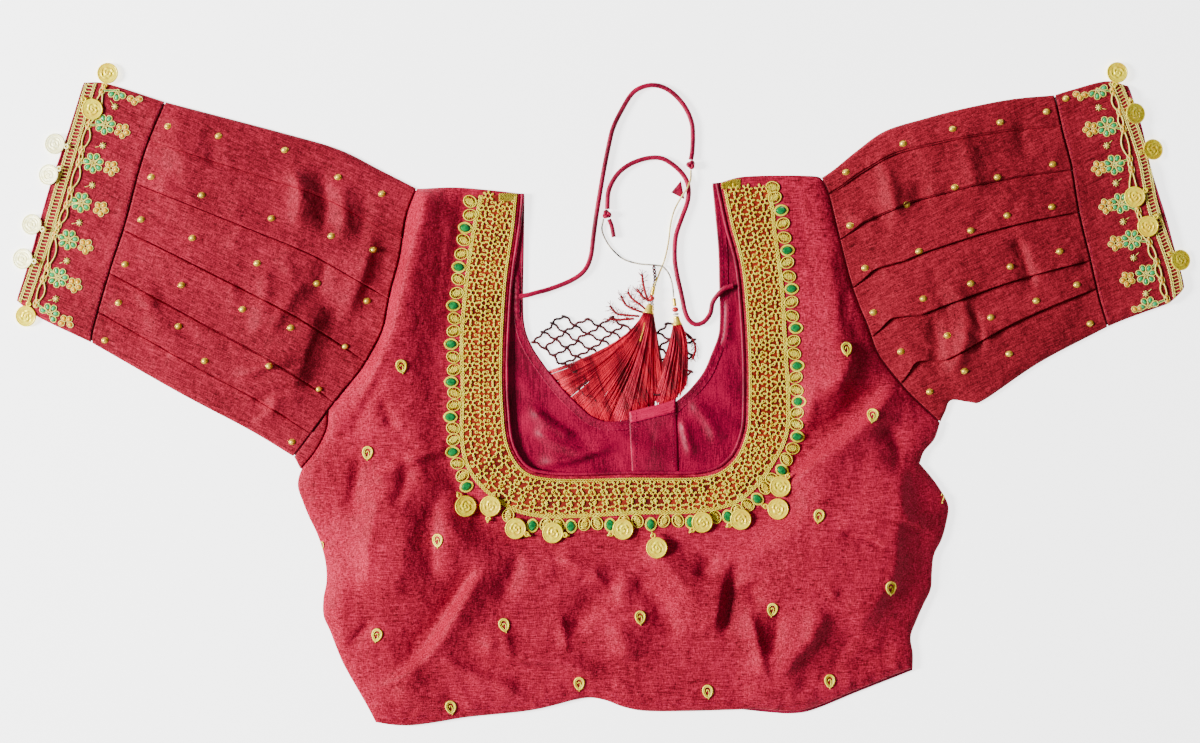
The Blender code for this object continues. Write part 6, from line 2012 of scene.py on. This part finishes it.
def band_petals(gold, ground, petals):
    """Round petals outside the band, filled with thread led to and fro."""
    for centre, heading, k in petals:
        tilt = heading + (PETAL_TILT if k else -PETAL_TILT)
        rim, eye = oval(*PETAL_RIM, 26), oval(*PETAL_EYE, 14)
        fill = zigzag(*PETAL_FILL, PETAL_FILL_PITCH)
        thread(gold, ground, placed(rim, centre, tilt), PETAL_RIM_YARN, closed=True)
        thread(gold, ground, placed(fill, centre, tilt), PETAL_FILL_YARN)
        thread(gold, ground, placed(eye, centre, tilt), PETAL_EYE_YARN, closed=True)


def band_stones(gold, stones_shape, ground, stones):
    """Pointed oval stones, bevelled to a flat face, in a double rim."""
    t = full_turn(24)
    x = np.cos(t)
    local = np.column_stack([x, np.sign(np.sin(t)) * (1 - x**2) ** 0.6])
    sides, rings = len(t), len(STONE_RINGS)
    last = (rings - 1) * sides
    faces = ring_faces(rings, sides)
    faces += [(last + k, last + (k + 1) % sides, last + sides) for k in range(sides)]
    faces.append(tuple(range(sides - 1, -1, -1)))
    for centre, heading in stones:
        level = float(ground.height([centre])[0]) + STONE_LIFT
        points = []
        for share, rise in STONE_RINGS:
            size = array([STONE_HALF_LENGTH, STONE_HALF_WIDTH]) * share
            points += [(*p, level + rise) for p in placed(local * size, centre, heading)]
        points.append((*centre, level + STONE_TOP))
        stones_shape.add(points, faces)
        for grow, yarn in STONE_RIMS:
            size = array([STONE_HALF_LENGTH + grow, STONE_HALF_WIDTH + grow])
            thread(gold, ground, placed(local * size, centre, heading), yarn, closed=True)


def make_band_shade(ground, materials):
    """A dark sheet under the band's threads: painted shade on the silk in the gaps between them.
    """
    lines = BandLines()
    inner, outer = lines.at(INNER_EDGE), lines.at(lines.width - OUTLINE_INSET)
    outline = resampled(np.vstack([inner, outer[::-1], inner[:1]]), 520)[-2::-1]
    flat, faces = triangulated(outline, grid_inside(outline, 2.4, 0.8))
    level = ground.height(flat)
    points, made = wall(flat, faces, level - 0.2, level + 0.12)
    piece = make_piece("band_padding", points, made, materials["padding"], outward=True)


def make_neck_band(ground, materials, rng):
    """Metal-thread rosettes between borders, with petals and green stones outside."""
    gold, green = Gathered(), Gathered()
    make_band_shade(ground, materials)
    stones, petals = edge_lobes()
    band_threads(gold, ground, rng)
    band_petals(gold, ground, petals)
    band_stones(gold, green, ground, stones)
    for left, right, bottom, top in PATCHES:
        for y in np.arange(bottom, top, PATCH_ROW):
            x = np.arange(left, right, PATCH_STEP)
            wave = y + PATCH_WAVE * np.where(np.arange(len(x)) % 2, 1, -1)
            thread(gold, ground, np.column_stack([x, wave]), PATCH_YARN)
    piece = gold.piece("band_gold_threads", materials["zari"], "zari")
    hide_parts("neck_band")
    stone_piece = green.piece("band_green_stones", materials["stone"], "zari", smooth=False)
    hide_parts("neck_band")


# ---------------------------------------------------------------- cuff embroidery

CHAIN_HALF = 2.7
CHAIN_CURL = 0.5  # how far a bar swings to each side
CHAIN_SLANT = 1.0
CHAIN_BORDERS = [  # how far from the chain's middle, and the thread
    (CHAIN_HALF + 0.9, Yarn(0.5, 0.9)), (CHAIN_HALF - 0.3, Yarn(0.42, 0.9)),
]
BAR_YARN = Yarn(0.46, 1.0)
WAVY_YARN = Yarn(0.66, 0.9)
RING_YARN = Yarn(0.4, 0.9)
EYE_YARN = Yarn(0.4, 1.0)
CLUSTER_YARN = Yarn(0.38, 0.9)
STEM_YARN = Yarn(0.32, 0.8)
GREEN_YARN = Yarn(0.34, 0.8)
STAR_STEM_YARN = Yarn(0.32, 0.5)
WAVY_SWELLS = [(1, 3.6), (-1, 1.5)]  # the side that each thread swells to, and how far
NODE_RING = (3.2, 1.9)  # half the length and half the width
NODE_BEADS = (-1.7, 1.5)  # where the two beads at a meeting lie along the threads
NODE_BEAD = (1.7, 1.5, 1.5)  # of a bead or seed: half its length, half its width, its height
CLUSTER_BEAD = (1.9, 1.6, 1.35)
GREEN_SEED = (2.1, 1.5, 1.0)
FLOWER_EYE = (0.9, 0.9)
FLOWER_PETALS = 7
PETAL_LOOP = (5.9, 2.5)  # length and half the width
PETAL_START = 1.4  # from the flower's middle
SEED_START = 4.9
CLUSTER_REACH = 3.3  # from a cluster's middle to each bead's
CLUSTER_BEADS = 5
CLUSTER_RING = (2.3, 2.0)
STAR_ARM = 2.5
STAR_KNOT = (1.1, 1.1, 1.0)
STAR_STEM = (2.8, 5.5)  # from the star's middle


def chain_band(gold, ground, line):
    """A ladder of slanting bars between two borders of knotted thread."""
    points, _ = spaced(smooth_line(line, 1.0), 0.5)
    along = lengths_along(points)
    side = beside(points, 1.0) - points
    for sign in (-1, 1):
        ripple = 0.35 * np.sin(2 * math.pi * along / 1.9)[:, None]
        for reach, yarn in CHAIN_BORDERS:
            thread(gold, ground, points + side * (sign * reach + ripple), yarn)
    for k in range(3, len(points) - 5, 5):
        run = points[k + 1] - points[k]
        run /= np.linalg.norm(run)
        start = points[k] - side[k] * CHAIN_HALF
        bar = np.linspace(0, 1, 7)[:, None]
        curl = np.sin(2 * math.pi * bar) * CHAIN_CURL + bar * CHAIN_SLANT
        thread(gold, ground, start + side[k] * 2 * CHAIN_HALF * bar + run * curl, BAR_YARN)


def wavy_pair(gold, amber, ground, nodes, away):
    """Two threads that part and meet again, with amber beads where they meet."""
    for sign, swell in WAVY_SWELLS:
        points = []
        for a, b in zip(nodes, nodes[1:]):
            t = np.linspace(0, 1, 14, endpoint=False)[:, None]
            run = b - a
            gap = float(np.linalg.norm(run))
            side = array([-run[1], run[0]]) / gap * away * sign
            points.append(a + run * t + side * np.sin(math.pi * t) * swell * min(1.0, gap / 18))
        points.append(nodes[-1:])
        thread(gold, ground, np.vstack(points), WAVY_YARN)
    for a, b in zip(nodes, np.vstack([nodes[1:], nodes[-1:] * 2 - nodes[-2:-1]])):
        heading = math.atan2(*(b - a)[::-1])
        thread(gold, ground, placed(oval(*NODE_RING, 16), a, heading), RING_YARN, closed=True)
        for shift in NODE_BEADS:
            seed(amber, ground, a + pointing(heading) * shift, heading, *NODE_BEAD)


def flower(gold, green, ground, centre, heading):
    """Seven looped petals with a green seed in each."""
    for k in range(FLOWER_PETALS):
        turn = heading + 2 * math.pi * (k + 0.5) / FLOWER_PETALS
        ahead = pointing(turn)
        loop = placed(teardrop(*PETAL_LOOP), centre + ahead * PETAL_START, turn)
        if thread(gold, ground, loop, RING_YARN, closed=True):
            seed(green, ground, centre + ahead * SEED_START, turn, *GREEN_SEED)
    thread(gold, ground, placed(oval(*FLOWER_EYE, 8), centre, 0), EYE_YARN, closed=True)


def cluster(gold, amber, ground, centre, heading):
    """A few amber beads, each in a ring of pale thread."""
    for k in range(CLUSTER_BEADS):
        turn = heading + 2 * math.pi * k / CLUSTER_BEADS
        spot = centre + pointing(turn) * CLUSTER_REACH
        ring = placed(oval(*CLUSTER_RING, 14), spot, turn)
        if thread(gold, ground, ring, CLUSTER_YARN, closed=True):
            seed(amber, ground, spot, turn, *CLUSTER_BEAD)


def star(gold, ground, centre, toward):
    """A small knotted star on a short stem."""
    for k in range(4):
        turn = k * math.pi / 4
        ahead = pointing(turn)
        arm = resampled([centre - ahead * STAR_ARM, centre + ahead * STAR_ARM], 4)
        thread(gold, ground, arm, EYE_YARN)
    seed(gold, ground, centre, 0.0, *STAR_KNOT)
    stem = array(toward) - centre
    stem /= np.linalg.norm(stem)
    stem_line = resampled([centre + stem * reach for reach in STAR_STEM], 5)
    thread(gold, ground, stem_line, STAR_STEM_YARN)


def nearest_of(places, spot):
    """The one of the places that is nearest to a spot."""
    return places[int(np.linalg.norm(places - spot, axis=1).argmin())]


def make_cuff_band(cuff, materials):
    """The embroidery of one cuff: a chain, a wavy pair of threads, flowers and stars."""
    ground = Ground(found("cuff_silk_" + cuff.side))
    gold, green, amber = Gathered(), Gathered(), Gathered()
    chain_band(gold, ground, on_picture(cuff.chain))
    nodes = on_picture(cuff.nodes)
    wavy_pair(gold, amber, ground, nodes, cuff.outward)
    for centre, far in zip(on_picture(cuff.flowers), on_picture(cuff.clusters)):
        run = far - centre
        heading = math.atan2(run[1], run[0])
        flower(gold, green, ground, centre, heading)
        cluster(gold, amber, ground, far, heading)
        stem = resampled([nearest_of(nodes, centre), centre], 6)
        for shift in (-0.6, 0.6):
            thread(gold, ground, beside(stem, shift), STEM_YARN)
        thread(green, ground, stem, GREEN_YARN)
    for centre in on_picture(cuff.stars):
        star(gold, ground, centre, nearest_of(nodes, centre))
    piece = gold.piece("cuff_gold_threads_" + cuff.side, materials["zari_pale"], "zari")
    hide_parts("cuff_band_" + cuff.side)
    green.piece("cuff_green_seeds_" + cuff.side, materials["seed"], "zari")
    amber.piece("cuff_amber_beads_" + cuff.side, materials["amber"], "zari")


# ---------------------------------------------------------------- beads, motifs and sewing

SLEEVE_BEAD = (2.3, 1.9, 1.9)  # half its length, half its width, its height
BEAD_COLLAR = (2.4, 2.0)
COLLAR_YARN = Yarn(0.3, 0.5)
BEAD_TURN = 0.3
BEAD_SINK = 0.15  # how far a bead's foot is pressed into the cloth


def make_beads(ground, materials):
    """Gold beads sewn on the sleeves, each on a small collar of thread."""
    shape = Gathered()
    for x, y in on_picture(BEADS):
        level = float(ground.height([(x, y)])[0])
        if level < OFF_CLOTH:
            continue
        shape.dome((x, y, level - BEAD_SINK), BEAD_TURN, *SLEEVE_BEAD, 5, 16)
        collar = placed(oval(*BEAD_COLLAR, 16), (x, y), BEAD_TURN)
        thread(shape, ground, collar, COLLAR_YARN, closed=True)
    shape.piece("sleeve_beads", materials["cap"], "zari")


def egg(half_height, half_width, count=26):
    """A closed line, round at the top and narrower at the bottom."""
    t = full_turn(count)
    return np.column_stack([half_width * np.sin(t) * (1 + 0.22 * np.cos(t)),
                            half_height * np.cos(t)])


BUTI_OUTER = (4.3, 3.25)  # half the height and half the width of its outer ring
BUTI_INNER = (3.3, 2.3)
BUTI_THICK_YARN = Yarn(0.62, 1.0)
BUTI_YARN = Yarn(0.50, 0.8)
BUTI_HOOK_YARN = Yarn(0.48, 0.9)
BUTI_HOOK = [(0.1, -3.6), (0.8, -1.9), (0.9, 0.1), (0.2, 1.2), (-0.7, 0.9), (-0.8, -0.1)]
BUTI_TAIL = [(-0.3, -4.3), (0.2, -5.0), (-0.2, -5.6)]


def make_butis(ground, materials, rng):
    """Egg-shaped rings of thick thread sewn on the body, a hook of thread in each."""
    gold = Gathered()
    for centre in on_picture(BUTIS):
        tilt = rng.normal(0, 0.15)
        outer, inner = egg(*BUTI_OUTER), egg(*BUTI_INNER)
        thread(gold, ground, placed(outer, centre, tilt), BUTI_THICK_YARN, True, 4)
        thread(gold, ground, placed(inner, centre, tilt), BUTI_YARN, True)
        for line in (BUTI_HOOK, BUTI_TAIL):
            thread(gold, ground, placed(smooth_line(line, 0.5), centre, tilt), BUTI_HOOK_YARN)
    gold.piece("body_motifs", materials["zari"], "zari")


LEAST_STITCHED = 0.5  # a stitch lower than this isn't on the cloth
STITCH_ARCH = (-0.4, 0.8, 0.8, -0.4)  # heights along a stitch, in its thread's radii


def stitches(shape, ground, line, stitch, gap, radius=0.2):
    """A row of stitches along a line."""
    along = lengths_along(line)
    at = 0.0
    while at + stitch < along[-1]:
        shares = np.linspace(at, at + stitch, len(STITCH_ARCH))
        flat = np.column_stack([np.interp(shares, along, line[:, k]) for k in range(2)])
        points = ground.laid(flat, 0.0)
        if points[:, 2].min() > LEAST_STITCHED:
            points[:, 2] += radius * array(STITCH_ARCH)
            shape.tube(points, radius)
        at += stitch + gap


TURNED_EDGE_STITCHES = (2.7, 5.9)  # from the back's neckline
PLACKET_STITCHES = (25.5, 52.0)  # where across the body its two rows run
PLACKET_ROW_TOP = -12.5
PLACKET_ROW_END = -52.0
CUFF_STITCHES = 2.0  # from the cuff's seam


def make_stitching(ground, materials):
    """Topstitching on the lining, the hem, the placket and the cuffs."""
    shape = Gathered()
    left, right = smooth_line(BACK_NECK_LEFT, 1.5), smooth_line(BACK_NECK_RIGHT, 1.5)
    for offset in TURNED_EDGE_STITCHES:
        stitches(shape, ground, beside(left, -offset), 2.4, 0.9)
        stitches(shape, ground, beside(right, -offset), 2.4, 0.9)
    stitches(shape, ground, beside(smooth_line(HEM, 2.0), HEM_FOLD), 2.2, 1.0, 0.16)
    for x in PLACKET_STITCHES:
        row = resampled([(x, PLACKET_ROW_TOP), (x, PLACKET_ROW_END)], 12)
        stitches(shape, ground, row, 2.2, 0.9)
    for arm in ARMS:
        line = beside(smooth_line(arm.cuff_seam, 1.5), -arm.outward * CUFF_STITCHES)[2:-2]
        stitches(shape, ground, line, 2.0, 1.0, 0.18)
    shape.piece("sewing_stitches", materials["stitch"], "satin")


def strip_piece(name, line, radius, height, material, node, slot):
    """A corded edge along a line, in place of its node."""
    shape = Gathered()
    line = array(line)
    shape.tube(np.column_stack([line[:, :2], height(line[:, :2])]), radius, sides=10)
    piece = shape.piece(name, material, slot)
    if node:
        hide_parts(node)
    return piece


# Across the turned edge of the back's neckline: from the edge inwards, and its height.
TURNED_EDGE = [(-0.1, 0.9), (0.3, 1.7), (1.2, 2.15), (2.2, 2.0), (3.0, 1.75), (5.4, 1.85),
               (6.3, 1.8), (6.9, 1.3), (5.0, 0.9), (1.0, 0.5)]
PLACKET_TAB = [(20.3, -12.2), (46, -5.8), (53.4, -3.2), (53.7, -12.5), (46, -14.6), (21.2, -20.5)]
TAB_HEIGHT = 3.15
TAB_THICK = 0.4


def ribbon_piece(name, line, profile, material):
    """A long shape with one closed profile of (sideways to the right, height) points."""
    rings = np.stack([np.column_stack([beside(line, -across), np.full(len(line), height)])
                      for across, height in profile], axis=1)
    count, sides = rings.shape[:2]
    faces = ring_faces(count, sides)
    faces += [tuple(range(sides)), tuple(range((count - 1) * sides, count * sides))]
    piece = make_piece(name, rings.reshape(-1, 3), faces, material, outward=True)


def make_back_trims(materials):
    """The back neckline's turned and stitched edge, and the bright tab on the placket."""
    for side, table in (("left", BACK_NECK_LEFT), ("right", BACK_NECK_RIGHT)):
        line = smooth_line(table, 1.6)
        line = line[line[:, 0] < BACK_SPLIT_X] if side == "left" else line
        ribbon_piece("turned_edge_" + side, line, TURNED_EDGE, materials["piping"])
    outline = smooth_loop(array(PLACKET_TAB), 1.5)
    flat, faces = triangulated(outline, grid_inside(outline, 2.0, 1.0))
    points, made = wall(flat, faces, np.full(len(flat), TAB_HEIGHT - TAB_THICK),
                        np.full(len(flat), TAB_HEIGHT))
    tab = make_piece("placket_tab", points, made, materials["tab"], outward=True)


SEAM_RADIUS = 1.2
SEAM_ALLOWANCES = [  # seam allowances, dark as painted shade in each seam's gap: the seam, sideways, height
    ("armhole_left", ARMHOLE_LEFT, -0.4, 1.5), ("armhole_right", ARMHOLE_RIGHT, 0.4, 1.5),
    ("cuff_left", CUFF_SEAM_LEFT, -0.6, 1.7), ("cuff_right", CUFF_SEAM_RIGHT, 0.6, 1.7),
]


def make_seam_allowances(materials):
    """The turned-in edges under each seam, which hold its pieces together, dark as painted shade.
    """
    for name, seam, sideways, height in SEAM_ALLOWANCES:
        line = beside(smooth_line(seam, 1.5), sideways)[1:-1]
        strip_piece("seam_" + name, line, SEAM_RADIUS, level_at(height), materials["seam"],
                    None, "silk")


SPLIT_GAP = 0.3  # from the back's split to the end of each piping
PIPING_RADIUS = 1.25
BACK_PIPING_RADIUS = 1.15
FACING_EDGE_RADIUS = 0.75
FACING_EDGE_HEIGHT = 3.5
BACK_PIPINGS = [  # side, neckline, the points that are kept, and which of them is at the split
    ("left", BACK_NECK_LEFT, slice(1, None), -1, -SPLIT_GAP),
    ("right", BACK_NECK_RIGHT, slice(None, -1), 0, SPLIT_GAP),
]


def make_pipings(top, materials):
    """The satin edges of the front and back necklines, and of the cuffs."""
    satin = materials["piping"]
    front = beside(smooth_line(FRONT_NECK, 1.6), -1.1)
    front[0][1], front[-1][1] = FRONT_NECK[0][1], FRONT_NECK[-1][1]
    strip_piece("piping_front", front, PIPING_RADIUS,
                lambda flat: top(beside(flat, -1.4)) - CLOTH + 1.1, satin,
                "neck_piping_front", "satin")
    for side, table, kept, at_split, gap in BACK_PIPINGS:
        line = beside(smooth_line(table, 1.6), -0.8)[kept]
        line[at_split][0] = BACK_SPLIT_X + gap
        strip_piece("piping_back_" + side, line, BACK_PIPING_RADIUS,
                    level_at(BACK_PIPING_RADIUS), satin, "neck_piping_back_" + side, "satin")
    for arm in ARMS:
        line = beside(line_at(arm.cuff_edge, np.linspace(0.02, 0.98, 110)), arm.outward * 0.7)
        strip_piece("facing_edge_" + arm.side, line, FACING_EDGE_RADIUS,
                    level_at(FACING_EDGE_HEIGHT), satin, None, "satin")


# ---------------------------------------------------------------- coins

COIN_SIDES = 60
COIN_RINGS = np.concatenate([np.linspace(0.35, 6.2, 17), np.linspace(6.45, COIN_RADIUS, 6)])
COIN_FACE = 0.2  # from a coin's middle plane up to the ground of its relief
COIN_MIDDLE = 0.42
COIN_SIDE = -0.4
COIN_UNDER = 0.52  # from a coin's middle plane to its underside
COIN_UNDER_RADIUS = 7.2
COIN_GAP = 0.1  # between a coin's underside and the cloth
EYE_RING = 1.45
EYE_WIRE = 0.55
LOOP_RADIUS = 0.3


def coin_relief(r, t, pale):
    """Height of a coin's face: a rim, a ring of dots and a plain curling ornament."""
    rim = 0.42 * np.exp(-(((r - 6.95) / 0.36) ** 2))
    dots = 0.30 * np.exp(-(((r - 5.8) / 0.42) ** 2)) * (0.5 + 0.5 * np.cos(26 * t))
    arms = 1 if pale else 2
    curl = np.sin(arms * t + (3.0 if pale else 2.3) * r + 0.5 * np.sin(3 * t))
    petals = 0.5 * np.cos(5 * t - 1.4 * r) * np.exp(-(((r - 3.4) / 1.2) ** 2))
    field = eased((5.0 - r) / 0.6) * (0.2 if pale else 0.4)
    boss = 0.3 * np.exp(-((r / 0.8) ** 2))
    return rim + dots + field * (np.maximum(curl, -0.4) + petals) + boss


def coin_shape(pale):
    """The points and faces of a coin about the origin, without its eye."""
    t = full_turn(COIN_SIDES)
    points = [(0.0, 0.0, COIN_MIDDLE)]
    for r in COIN_RINGS:
        z = COIN_FACE + coin_relief(r, t, pale) - COIN_FACE * (r >= COIN_RADIUS)
        points += list(zip(r * np.cos(t), r * np.sin(t), z))
    for r, z in ((COIN_RADIUS, COIN_SIDE), (COIN_UNDER_RADIUS, -COIN_UNDER)):
        points += [(r * math.cos(a), r * math.sin(a), z) for a in t]
    points.append((0.0, 0.0, -COIN_UNDER))
    n, rings = COIN_SIDES, len(COIN_RINGS) + 2
    faces = [(0, 1 + k, 1 + (k + 1) % n) for k in range(n)]
    faces += [(1 + r * n + k, 1 + (r + 1) * n + k, 1 + (r + 1) * n + (k + 1) % n,
               1 + r * n + (k + 1) % n) for r in range(rings - 1) for k in range(n)]
    last = 1 + (rings - 1) * n
    faces += [(last + k, last + n, last + (k + 1) % n) for k in range(n)]
    return array(points), faces


def plane_of(node):
    """The plane through a solid's middle: its height at the middle, and its two slopes."""
    corners = array([tuple(v.co) for v in node.data.vertices]) / MM - CENTRE_SHIFT
    rows = np.column_stack([np.ones(len(corners)), corners[:, :2]])
    return np.linalg.lstsq(rows, corners[:, 2], rcond=None)[0]


def on_plane(plane, flat):
    """The plane's height at flat points."""
    return plane[0] + flat @ plane[1:]


def make_coin(coin, plane, look, ground, loops):
    """A coin with its cast eye, and the loop of thread that holds it."""
    centre = array(coin.centre)
    run = array(coin.eye) - centre
    heading = math.atan2(run[1], run[0])
    local, faces = coin_shape(coin.pale)
    flat = placed(local[:, :2], centre, heading)
    buried = ground.height(flat[::3]) - (on_plane(plane, flat[::3]) - COIN_UNDER)
    plane[0] += max(0.0, float(buried.max()) + COIN_GAP)
    shape = Gathered()
    shape.add(np.column_stack([flat, on_plane(plane, flat) + local[:, 2]]), faces)
    ring = oval(EYE_RING, EYE_RING, 18) + array([EYE_REACH + 0.1, 0])
    eye = placed(ring, centre, heading)
    shape.tube(np.column_stack([eye, on_plane(plane, eye)]), EYE_WIRE, True, 8)
    t = full_turn(14)
    ring = np.column_stack([EYE_REACH + 1.5 + 1.4 * np.cos(t), 0.5 * np.sin(t)])
    flat = placed(ring, centre, heading)
    lifted = np.maximum(on_plane(plane, flat) + 1.0 * np.sin(t), 0.35)
    loops.tube(np.column_stack([flat, lifted]), LOOP_RADIUS, True, 4)
    return shape.piece("minted_" + coin.name, look, "coin_pale" if coin.pale else "coin_gold")


def make_coins(frame, materials, ground):
    """The coins, each in its solid's own plane."""
    loops = Gathered()
    for coin in COINS:
        node = "coin_" + coin.name
        look = materials["coin_pale" if coin.pale else "coin_gold"]
        piece = make_coin(coin, plane_of(frame["nodes"][node]), look, ground, loops)
        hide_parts(node)
    loops.piece("coin_threads", materials["zari"], "zari")


# ---------------------------------------------------------------- assembly

def clear_scene():
    """Takes out whatever the scene holds before the blouse is loaded."""
    for old in list(bpy.data.objects):
        bpy.data.objects.remove(old, do_unlink=True)


def found(*names):
    """The objects with these names."""
    return [bpy.data.objects[name] for name in names]


def dress(frame):
    """All the pieces, each in place of its solid or on it."""
    rng = np.random.default_rng(SEED)
    materials = all_materials()
    make_camera()
    make_studio(materials)
    make_cords(frame, materials, rng)
    make_net(materials, rng)
    front, top = make_front(frame, materials, rng)
    make_backs(frame, materials)
    make_small_panels(frame, materials)
    make_arms(materials, rng)
    on_front = Ground([front])
    make_pipings(top, materials)
    make_seam_allowances(materials)
    make_back_trims(materials)
    make_neck_band(on_front, materials, rng)
    make_butis(on_front, materials, rng)
    for cuff in CUFF_EMBROIDERY:
        make_cuff_band(cuff, materials)
    arms = found("sleeve_silk_left", "sleeve_silk_right", "cuff_silk_left", "cuff_silk_right")
    make_beads(Ground(arms), materials)
    everything = [front, *arms, *found("back_lining_left", "back_lining_right",
                                       "turned_edge_left", "turned_edge_right",
                                       "placket_satin", "placket_tab")]
    make_stitching(Ground(everything), materials)
    make_coins(frame, materials, Ground([front, *arms]))


clear_scene()
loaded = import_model()
dress(loaded)
